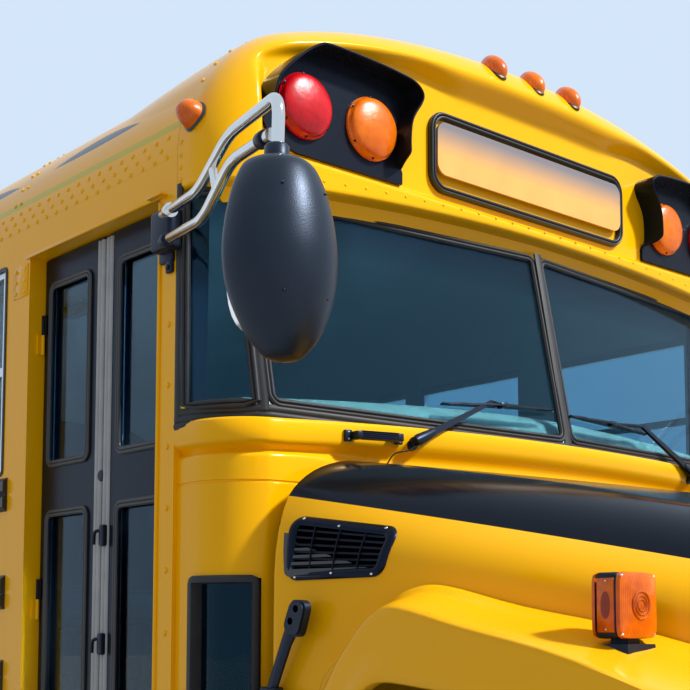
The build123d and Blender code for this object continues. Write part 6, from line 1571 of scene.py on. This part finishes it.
# Entry door: two welded steel leaves in satin black, hinged at the posts. Each pane sits in a rubber gasket with
# rounded corners, and grey rubber noses close the gap between the leaves.
LEAF_FACE = 1.167
LEAF_PANES = {"front": (-3.309, -3.0795), "rear": (-2.9125, -2.683)}
PANE_HEIGHTS = ((1.851, 2.392), (0.520, 1.702))
door_satin = finish("door_satin", (0.005, 0.006, 0.008), 0.3, variation=0.35, tone_scale=5.0, dust=0.1,
                    grain=(320.0, 0.5), wave=(6.0, 0.6), bump=0.08, specular=0.25, sheen=PAINTED_SKY_SHEEN)
door_glass = glass_material("door_glass", (0.28, 0.45, 0.58))
nose_rubber = finish("nose_rubber", (0.36, 0.38, 0.40), 0.5, variation=0.5, tone_scale=14.0, dust=0.3, grain=(200.0, 0.6),
                     bump=0.12)
for leaf, (start, stop) in LEAF_PANES.items():
    paint_node("entry_leaf_" + leaf, door_satin)
    paint_node("entry_glass_" + leaf, door_glass)
    gaskets = []
    for low, high in PANE_HEIGHTS:
        corners = [(LEAF_FACE, start + 0.006, low + 0.006), (LEAF_FACE, stop - 0.006, low + 0.006),
                   (LEAF_FACE, stop - 0.006, high - 0.006), (LEAF_FACE, start + 0.006, high - 0.006)]
        gaskets.append(strip(rounded(corners, 0.016), (1, 0, 0), ribs(0.022, 0.008, 2, -0.004)))
    piece("door_gaskets_" + leaf, flip(join(*gaskets)), gasket_rubber, body="entry_" + leaf, sharp=45)
    nose_low, nose_high = (stop + 0.044, stop + 0.076) if leaf == "front" else (start - 0.076, start - 0.044)
    middle_y = (nose_low + nose_high) / 2
    noses = [tube([(LEAF_FACE - 0.004, middle_y + shift, 0.432), (LEAF_FACE - 0.004, middle_y + shift, 2.47)], 0.0095, 12)
             for shift in (-0.0095, 0.0095)]
    piece("door_noses_" + leaf, flip(join(*noses)), nose_rubber, body="entry_" + leaf, sharp=60)
    fittings = []
    if leaf == "front":
        for z in (1.32, 1.62):
            fittings.append(block((LEAF_FACE - 0.002, middle_y - 0.014, z - 0.03), (LEAF_FACE + 0.018, middle_y + 0.012, z + 0.03),
                                  0.006))
            fittings.append(tube(bends([(LEAF_FACE + 0.006, middle_y + 0.004, z + 0.016), (LEAF_FACE + 0.024, middle_y + 0.022, z + 0.012),
                                        (LEAF_FACE + 0.02, middle_y + 0.03, z - 0.024)], 0.01, 3), 0.005, 8))
        fittings.append(lathe([(0.016, 0.0), (0.015, 0.006), (0.008, 0.008), (0.0001, 0.006)],
                              (LEAF_FACE, middle_y + 0.026, 1.79), (1, 0, 0), 20))
        piece("door_fittings", flip(join(*fittings)), moulded_black, body="entry_front", sharp=45)

# Door frame trim: bolts down the front post on a bright edge bead, the drip lip over the door with its turned-up
# end, and a riveted joint plate high on the rear pillar.
DOOR_Y = SEAM_Y + 0.078
DOOR_END = -2.635
HEADER_LOW = 2.485
post_parts = [tube([(HALF + 0.001, DOOR_Y - 0.004, 0.45), (HALF + 0.001, DOOR_Y - 0.004, 2.47)], 0.006, 10)]
for i in range(13):
    post_parts.append(dome((HALF, SEAM_Y + 0.03, 0.56 + i * 0.158), (1, 0, 0), 0.0085, 0.006))
post_parts.append(block((HALF - 0.004, DOOR_Y - 0.03, HEADER_LOW - 0.004), (HALF + 0.007, DOOR_END + 0.02, HEADER_LOW + 0.006), 0.003))
post_parts.append(block((HALF - 0.002, DOOR_Y - 0.034, HEADER_LOW - 0.002), (HALF + 0.022, DOOR_Y + 0.035, HEADER_LOW + 0.004), 0.002))
plate_y, plate_z = DOOR_END + 0.055, 2.42
post_parts.append(block((HALF - 0.001, plate_y - 0.045, plate_z - 0.05), (HALF + 0.003, plate_y + 0.045, plate_z + 0.05), 0.001, 1))
for sy in (-0.03, 0.03):
    for sz in (-0.035, 0.0, 0.035):
        post_parts.append(dome((HALF + 0.003, plate_y + sy, plate_z + sz), (1, 0, 0), 0.007, 0.004))
piece("door_frame_trim", flip(join(*post_parts)), yellow_enamel, sharp=45)


# Side windows: split sashes of extruded aluminium with a middle rail, tempered panes, and a rubber bead round each.
def brushed(name, color, roughness, lines, metallic=1.0):
    """Drawn metal: fine lines along one way break the shine"""
    made = finish(name, color, roughness, metallic=metallic, variation=0.25, tone_scale=8.0, dust=0.15, grain=(90.0, 0.3), bump=0.05)
    tree = made.node_tree
    spot, _, _, _ = places(tree)
    stretched = node(tree, "ShaderNodeMapping")
    stretched.inputs["Scale"].default_value = lines
    grain_noise = node(tree, "ShaderNodeTexNoise", Scale=40.0, Detail=2.0)
    tree.links.new(spot, stretched.inputs["Vector"])
    tree.links.new(stretched.outputs["Vector"], grain_noise.inputs["Vector"])
    raised = node(tree, "ShaderNodeBump", Strength=0.12, Distance=0.001)
    tree.links.new(grain_noise.outputs["Fac"], raised.inputs["Height"])
    tree.links.new(raised.outputs["Normal"], tree.nodes["Principled BSDF"].inputs["Normal"])
    return made


sash_metal = brushed("sash_aluminium", (0.66, 0.68, 0.7), 0.34, (12.0, 0.6, 12.0))
paint_node("window_sashes", sash_metal)
paint_node("window_panes", side_glass)
rail_black = finish("rail_black", (0.012, 0.012, 0.013), 0.35, variation=0.4, tone_scale=4.0, dust=0.5, grain=(300.0, 0.5),
                    wave=(1.5, 1.0), bump=0.1)
paint_node("rub_rails", rail_black)
WINDOW_HEIGHTS = (1.834, 2.485)
beads, latches = [], []
for i in range(WINDOW_COUNT):
    centre_y = WINDOWS_Y + WINDOW_PITCH * (i + 0.5)
    corners = [(HALF, centre_y - 0.318, 1.838), (HALF, centre_y + 0.318, 1.838), (HALF, centre_y + 0.318, 2.481),
               (HALF, centre_y - 0.318, 2.481)]
    beads.append(strip(rounded(corners, 0.012, 3), (1, 0, 0), ribs(0.012, 0.005, 1, -0.004)))
piece("window_beads", pair(join(*beads)), gasket_rubber, sharp=50)
rail_bolts = []
for z in (1.771, 1.473, 1.217, 0.812):
    for i in range(34):
        y = WINDOWS_Y + 0.12 + i * 0.232
        if y < WINDOWS_END - 0.05 and not (z < 1.3 and 1.55 < y < 2.97):
            rail_bolts.append(dome((HALF + 0.004, y, z), (1, 0, 0), 0.007, 0.004, 6))
for i in range(WINDOW_COUNT + 1):
    y = WINDOWS_Y + WINDOW_PITCH * i
    if WINDOWS_Y < y < WINDOWS_END - 0.02:
        for k in range(9):
            rail_bolts.append(dome((HALF, y, 1.86 + k * 0.075), (1, 0, 0), 0.006, 0.0035, 6))
piece("side_rivets", pair(join(*rail_bolts)), yellow_enamel, sharp=60)

# Stop arm: a flat eight-sided blade in red with a white border, left blank, on a black hinge box.
STOP_AT = (WINDOWS_Y + 0.345, 1.622)
STOP_HALF = 0.225
STOP_BORDER = 0.018
stop_red = finish("stop_red", (0.62, 0.012, 0.014), 0.35, variation=0.1, dust=0.1, grain=(400.0, 0.4), bump=0.04)
tree = stop_red.node_tree
shader = tree.nodes["Principled BSDF"]
_, x_at, y_at, z_at = places(tree)
off_y = math_node(tree, "ABSOLUTE", math_node(tree, "SUBTRACT", y_at, STOP_AT[0]))
off_z = math_node(tree, "ABSOLUTE", math_node(tree, "SUBTRACT", z_at, STOP_AT[1]))
square = math_node(tree, "MAXIMUM", off_y, off_z)
diamond = math_node(tree, "MULTIPLY", math_node(tree, "ADD", off_y, off_z), math.sqrt(0.5))
reach = math_node(tree, "MAXIMUM", square, diamond)
border = math_node(tree, "GREATER_THAN", reach, STOP_HALF - STOP_BORDER)
base = shader.inputs["Base Color"].links[0].from_socket
tree.links.new(mix_color(tree, border, base, (0.8, 0.8, 0.78, 1)), shader.inputs["Base Color"])
paint_node("stop_arm", stop_red)
paint_node("stop_arm_mount", moulded_black)

# Roof hatch: a white moulded lid with a raised rim; it hinges at its front edge.
hatch_white = finish("hatch_white", (0.72, 0.73, 0.71), 0.4, variation=0.12, dust=0.2, grain=(260.0, 0.5), bump=0.06)
paint_node("roof_hatch", hatch_white)


# Cabin: passenger benches of vinyl over foam on steel legs, a cloth driver's seat on a pedestal, a moulded dash and
# wheel, rubber flooring with ribs, and aluminium-edged steps with a slanting grab rail on each side.
FLOOR_TOP = 1.07
SEAT_TOP = FLOOR_TOP + 0.43
BACK_TOP = FLOOR_TOP + 1.10
BENCH_ROWS = 10
BENCH_X = (0.169, 1.154)
PUFF = 7.0


def pad(corners_low, corners_high, cuts=9, lean=0.0, channels=0, channel_depth=0.006):
    """Crowned cushion: a box whose faces swell and whose edges pull in; sewn channels run across its front"""
    shape = bmesh.new()
    bmesh.ops.create_cube(shape, size=2)
    bmesh.ops.subdivide_edges(shape, edges=shape.edges[:], cuts=cuts, use_grid_fill=True)
    low, high = Vector(corners_low), Vector(corners_high)
    centre, half = (low + high) / 2, (high - low) / 2
    for vert in shape.verts:
        u, v, w = vert.co
        grow = (abs(u) ** PUFF + abs(v) ** PUFF + abs(w) ** PUFF) ** (-1 / PUFF)
        groove = 1.0
        if channels:
            groove -= channel_depth / half.y * max(0.0, math.cos(math.pi * channels * u)) ** 12
        x, y, z = u * grow * half.x, v * grow * half.y * groove, w * grow * half.z
        vert.co = centre + Vector((x, y + lean * (z / half.z), z))
    shape.verts.index_update()
    made = [tuple(v.co) for v in shape.verts], [tuple(v.index for v in f.verts) for f in shape.faces]
    shape.free()
    return made


def stitched(name, color, roughness, weave, sheen):
    """Seat cover: a fine grain with slow creases and a tone that changes at random"""
    made = finish(name, color, roughness, variation=0.35, tone_scale=7.0, dust=0.05, grain=(weave, 0.8), wave=(16.0, 0.8),
                  bump=0.2, distance=0.003)
    made.node_tree.nodes["Principled BSDF"].inputs["Sheen Weight"].default_value = sheen
    return made


seat_vinyl = stitched("seat_vinyl", (0.03, 0.045, 0.06), 0.45, 320.0, 0.0)
driver_cloth = stitched("driver_cloth", (0.045, 0.05, 0.06), 0.85, 700.0, 0.4)
cushions, welts = [], []
for row_number in range(BENCH_ROWS):
    y = WINDOWS_Y + 0.36 + row_number * WINDOW_PITCH
    cushions.append(pad((BENCH_X[0], y + 0.002, SEAT_TOP - 0.11), (BENCH_X[1], y + 0.45, SEAT_TOP + 0.006)))
    cushions.append(pad((BENCH_X[0], y + 0.433, SEAT_TOP - 0.03), (BENCH_X[1], y + 0.517, BACK_TOP), lean=0.032))
    for x in (BENCH_X[0] + 0.012, BENCH_X[1] - 0.012):
        welts.append(tube(bends([(x, y + 0.03, SEAT_TOP - 0.004), (x, y + 0.41, SEAT_TOP - 0.004)], 0.02), 0.003, 6))
benches = piece("bench_cushions", pair(join(*cushions)), seat_vinyl, sharp=70)
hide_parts("passenger_seats")
piece("bench_welts", pair(join(*welts)), seat_vinyl, sharp=70)
DRIVER_X, DRIVER_Y = 0.61, LAMP_Y + 0.62
driver_pads = [pad((DRIVER_X - 0.255, DRIVER_Y + 0.003, FLOOR_TOP + 0.385), (DRIVER_X + 0.255, DRIVER_Y + 0.45, FLOOR_TOP + 0.5),
                   lean=0.0, channels=2),
               pad((DRIVER_X - 0.245, DRIVER_Y + 0.43, FLOOR_TOP + 0.47), (DRIVER_X + 0.245, DRIVER_Y + 0.53, FLOOR_TOP + 0.95),
                   lean=0.028, channels=2),
               pad((DRIVER_X - 0.14, DRIVER_Y + 0.475, FLOOR_TOP + 0.93), (DRIVER_X + 0.14, DRIVER_Y + 0.555, FLOOR_TOP + 1.118),
                   6)]
driver = piece("driver_cushions", join(*driver_pads), driver_cloth, sharp=70)
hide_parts("driver_seat")
pedestal = piece("driver_pedestal", join(block((DRIVER_X - 0.16, DRIVER_Y + 0.06, FLOOR_TOP + 0.001),
                                               (DRIVER_X + 0.16, DRIVER_Y + 0.36, FLOOR_TOP + 0.388), 0.012),
                                         block((DRIVER_X - 0.2, DRIVER_Y + 0.04, FLOOR_TOP + 0.36),
                                               (DRIVER_X + 0.2, DRIVER_Y + 0.4, FLOOR_TOP + 0.39), 0.006)),
                 moulded_black, sharp=45)
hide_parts("driver_seat")
leg_steel = finish("leg_steel", (0.05, 0.055, 0.06), 0.4, metallic=0.3, variation=0.3, dust=0.3, grain=(300.0, 0.5), bump=0.08)
paint_node("seat_legs", leg_steel)
dash_plastic = finish("dash_plastic", (0.24, 0.36, 0.38), 0.55, variation=0.3, tone_scale=6.0, dust=0.1, grain=(500.0, 0.8),
                      bump=0.15)
paint_node("dashboard", dash_plastic)
paint_node("steering_wheel", moulded_black)
# The padded ledge along the top of the dash, right behind the windshield
ledge_plastic = finish("ledge_plastic", (0.38, 0.33, 0.23), 0.6, variation=0.25, tone_scale=6.0, dust=0.0, grain=(500.0, 0.8),
                       bump=0.15)
LEDGE_SECTION = [(-0.112, -0.14), (-0.1, -0.07), (-0.085, -0.035), (-0.05, -0.012), (0.0, 0.0), (0.12, -0.006),
                 (0.2, -0.05), (0.22, -0.36)]
ledge_rows = []
for i in range(41):
    x = -1.08 + 0.054 * i
    top = 2.008 - 0.05 * abs(x) ** 1.6
    forward = 0.045 * abs(x / 1.08) ** 2
    ledge_rows.append([at(x, y + forward, top + z) for y, z in LEDGE_SECTION])
piece("dash_ledge", grid(ledge_rows), ledge_plastic, sharp=60)
# A thin black plate over the front face of each door post, seen through the corner panes.
piece("post_dark_plates", pair(block(at(-1.205, 0.174, 1.92), at(-1.09, 0.184, 2.5), 0.002)), moulded_black)
floor_rubber = finish("floor_rubber", (0.03, 0.034, 0.036), 0.7, variation=0.5, tone_scale=5.0, dust=0.4, grain=(160.0, 0.6),
                      bump=0.2)
tree = floor_rubber.node_tree
spot, _, _, _ = places(tree)
floor_ribs = node(tree, "ShaderNodeTexWave", Scale=38.0, bands_direction="X")
tree.links.new(spot, floor_ribs.inputs["Vector"])
ribbed = node(tree, "ShaderNodeBump", Strength=0.3, Distance=0.002)
tree.links.new(floor_ribs.outputs["Fac"], ribbed.inputs["Height"])
tree.links.new(ribbed.outputs["Normal"], tree.nodes["Principled BSDF"].inputs["Normal"])
paint_node("floor", floor_rubber)
step_metal = brushed("step_metal", (0.5, 0.56, 0.56), 0.42, (0.8, 14.0, 14.0), 0.7)
paint_node("stepwell", step_metal)
rails = [tube(bends([(-1.07, DOOR_Y + 0.03, 0.75), (-1.06, DOOR_Y + 0.10, 1.0), (-0.98, DOOR_Y + 0.30, 1.62),
                     (-0.96, DOOR_Y + 0.30, 1.9)], 0.06), 0.014, 14),
         tube(bends([(-1.07, DOOR_END - 0.05, 0.75), (-1.0, DOOR_END - 0.06, 1.25), (-0.93, DOOR_END + 0.02, 1.9)], 0.06),
              0.014, 14)]
piece("grab_rails", join(*rails), step_metal, sharp=60)
kick = [block((0.86, SEAM_Y - 0.285, 0.62), (0.872, SEAM_Y - 0.002, 1.62), 0.003, 1),
        block((0.87, SEAM_Y - 0.292, 0.62), (1.1, SEAM_Y - 0.282, 1.62), 0.003, 1),
        block((0.86, SEAM_Y - 0.016, 0.62), (1.203, SEAM_Y - 0.006, 1.62), 0.003, 1)]
kick_board = finish("kick_board", (0.014, 0.032, 0.028), 0.6, variation=0.4, dust=0.1, grain=(300.0, 0.5), bump=0.1)
piece("kick_boards", pair(join(*kick)), kick_board, sharp=45)


# Tyres: black rubber with a ribbed tread cut across the shoulders, on painted steel disc wheels with ten nuts.
TYRE_R = 0.52
TYRE_HALF = 0.14
BEAD_R = 0.286
SPIN_STEPS = 192
AXLE_Z = 0.52
tyre_rubber = finish("tyre_rubber", (0.018, 0.018, 0.019), 0.75, variation=0.5, tone_scale=8.0, dust=0.35, grain=(300.0, 0.7),
                     bump=0.25)


def tyre(x, y):
    """Carcass as rings round the axle; the tread's grooves and shoulder cuts are in its radius"""
    side = [(0.093, BEAD_R + 0.002), (0.1, BEAD_R + 0.016), (0.117, BEAD_R + 0.04), (0.134, BEAD_R + 0.085),
            (0.1395, BEAD_R + 0.115), (0.1385, BEAD_R + 0.15), (0.131, TYRE_R - 0.045), (0.127, TYRE_R - 0.03)]
    tread = []
    for i in range(25):
        w = 0.122 - 0.244 * i / 24
        tread.append((w, TYRE_R - 0.008 * (abs(w) / 0.122) ** 2.5))
    profile = side + tread + [(-w, r) for w, r in reversed(side)]
    rows = []
    for k in range(SPIN_STEPS):
        angle = 2 * math.pi * k / SPIN_STEPS
        row = []
        for w, r in profile:
            if abs(w) < 0.123 and r > TYRE_R - 0.02:
                in_groove = min(abs(abs(w) - 0.03), abs(abs(w) - 0.081)) < 0.0045
                cut_here = abs(w) > 0.088 and k % 4 == 0
                sipe = abs(w) < 0.076 and k % 8 == (3 if w > 0 else 7)
                r -= 0.012 if in_groove else 0.01 if cut_here else 0.004 if sipe else 0.0
            elif r > TYRE_R - 0.05 and k % 4 == 0:
                r -= 0.003
            row.append((x + w, y + r * math.cos(angle), AXLE_Z + r * math.sin(angle)))
        rows.append(row)
    rows.append(rows[0])
    return grid(rows)


wheel_paint = finish("wheel_paint", (0.02, 0.021, 0.023), 0.35, variation=0.3, dust=0.7, grain=(300.0, 0.4), bump=0.06, coat=0.2)
nut_steel = finish("nut_steel", (0.55, 0.56, 0.57), 0.35, metallic=1.0, variation=0.3, dust=0.3, grain=(300.0, 0.4), bump=0.05)
NUT_CIRCLE = 0.1425
for side_name, side in (("left", 1), ("right", -1)):
    for kind, body, spin_y, tyre_x, nut_x in (
            ("tyre_front_", "wheel_front_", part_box("tyre_front_left"), (1.025,), 1.165),
            ("tyres_rear_", "wheel_rear_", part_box("tyres_rear_left"), (0.7325, 1.0675), 0.912)):
        centre_y = (spin_y[0].y + spin_y[1].y) / 2
        name = kind + side_name
        cover = piece(name + "_tread", join(*[tyre(side * x, centre_y) for x in tyre_x]), tyre_rubber,
                      body=body + side_name, sharp=40)
        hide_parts(name)
        nuts = []
        for i in range(10):
            angle = 2 * math.pi * (i + 0.5) / 10
            spot_at = (side * nut_x, centre_y + NUT_CIRCLE * math.cos(angle), AXLE_Z + NUT_CIRCLE * math.sin(angle))
            nuts.append(lathe([(0.016, -0.004), (0.016, 0.012), (0.012, 0.018), (0.0001, 0.019)], spot_at, (side, 0, 0), 6))
        piece(name + "_nuts", join(*nuts), nut_steel, body=body + side_name, sharp=30)
    paint_node("rim_front_" + side_name, wheel_paint)
    paint_node("rims_rear_" + side_name, wheel_paint)

# Chassis: rolled steel rails in black paint, forged axles, a plated exhaust, a painted fuel tank and pressed bumpers.
chassis_black = finish("chassis_black", (0.016, 0.017, 0.018), 0.5, variation=0.5, tone_scale=4.0, dust=0.8, grain=(220.0, 0.6),
                       bump=0.12)
cast_metal = finish("cast_metal", (0.1, 0.1, 0.1), 0.6, metallic=0.6, variation=0.6, tone_scale=8.0, dust=0.6, grain=(120.0, 0.9),
                    bump=0.3)
bumper_black = finish("bumper_black", (0.014, 0.015, 0.016), 0.3, variation=0.4, tone_scale=3.0, dust=0.5, grain=(260.0, 0.4),
                      wave=(4.0, 0.7), bump=0.1, coat=0.3)
exhaust_steel = finish("exhaust_steel", (0.3, 0.27, 0.24), 0.5, metallic=0.9, variation=0.8, tone_scale=9.0, dust=0.6,
                       grain=(90.0, 0.8), bump=0.2)
for name, look in (("frame_rails", chassis_black), ("axles", chassis_black), ("knuckle_left", cast_metal),
                   ("knuckle_right", cast_metal), ("engine_block", cast_metal), ("driveshaft", cast_metal),
                   ("bumpers", bumper_black), ("exhaust", exhaust_steel), ("fuel_tank", chassis_black)):
    paint_node(name, look)
bumper_bolts = []
bumper_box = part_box("bumpers")
for y, way in ((bumper_box[0].y, -1), (bumper_box[1].y, 1)):
    for x in (0.36, 0.44):
        for z in (0.52, 0.62):
            bumper_bolts.append(dome((x, y, z), (0, way, 0), 0.011, 0.007, 8))
piece("bumper_bolts", pair(join(*bumper_bolts)), nut_steel, sharp=45)


# Rear end: riveted end wall with an emergency door on strap hinges, its panes in rubber, and a long pull handle.
rear_glass = side_glass
paint_node("emergency_glass", rear_glass)
REAR_FACE = 5.470
rear_parts, rear_seals = [], []
for x, z0, z1 in ((0.0, 0, 0),):
    for i in range(12):
        z = 1.0 + i * 0.13
        rear_parts.append(dome((0.56, REAR_FACE, z), (0, 1, 0), RIVET_R, RIVET_H, 6))
        rear_parts.append(dome((1.09, REAR_FACE, z), (0, 1, 0), RIVET_R, RIVET_H, 6))
for i in range(9):
    rear_parts.append(dome((i * 0.13, REAR_FACE, 2.53), (0, 1, 0), RIVET_R, RIVET_H, 6))
piece("rear_rivets", pair(join(*rear_parts)), yellow_enamel, sharp=60)


def rear_seal(x0, x1, z0, z1, y):
    corners = [(x0, y, z0), (x1, y, z0), (x1, y, z1), (x0, y, z1)]
    return strip(rounded(corners, 0.022, 4), (0, 1, 0), ribs(0.022, 0.009, 2, -0.004))


piece("rear_window_seals", pair(rear_seal(0.604, 1.026, 1.838, 2.421, REAR_FACE)), gasket_rubber, sharp=45)
door_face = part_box("emergency_door")[1].y
PANE_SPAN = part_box("emergency_glass")
pane_x = 0.40
piece("emergency_seals", join(rear_seal(-pane_x, pane_x, 1.838, 2.346, REAR_FACE),
                              rear_seal(-pane_x, pane_x, 1.264, 1.65, REAR_FACE)), gasket_rubber, body="rear_door",
      sharp=45)
low, high = cad_box
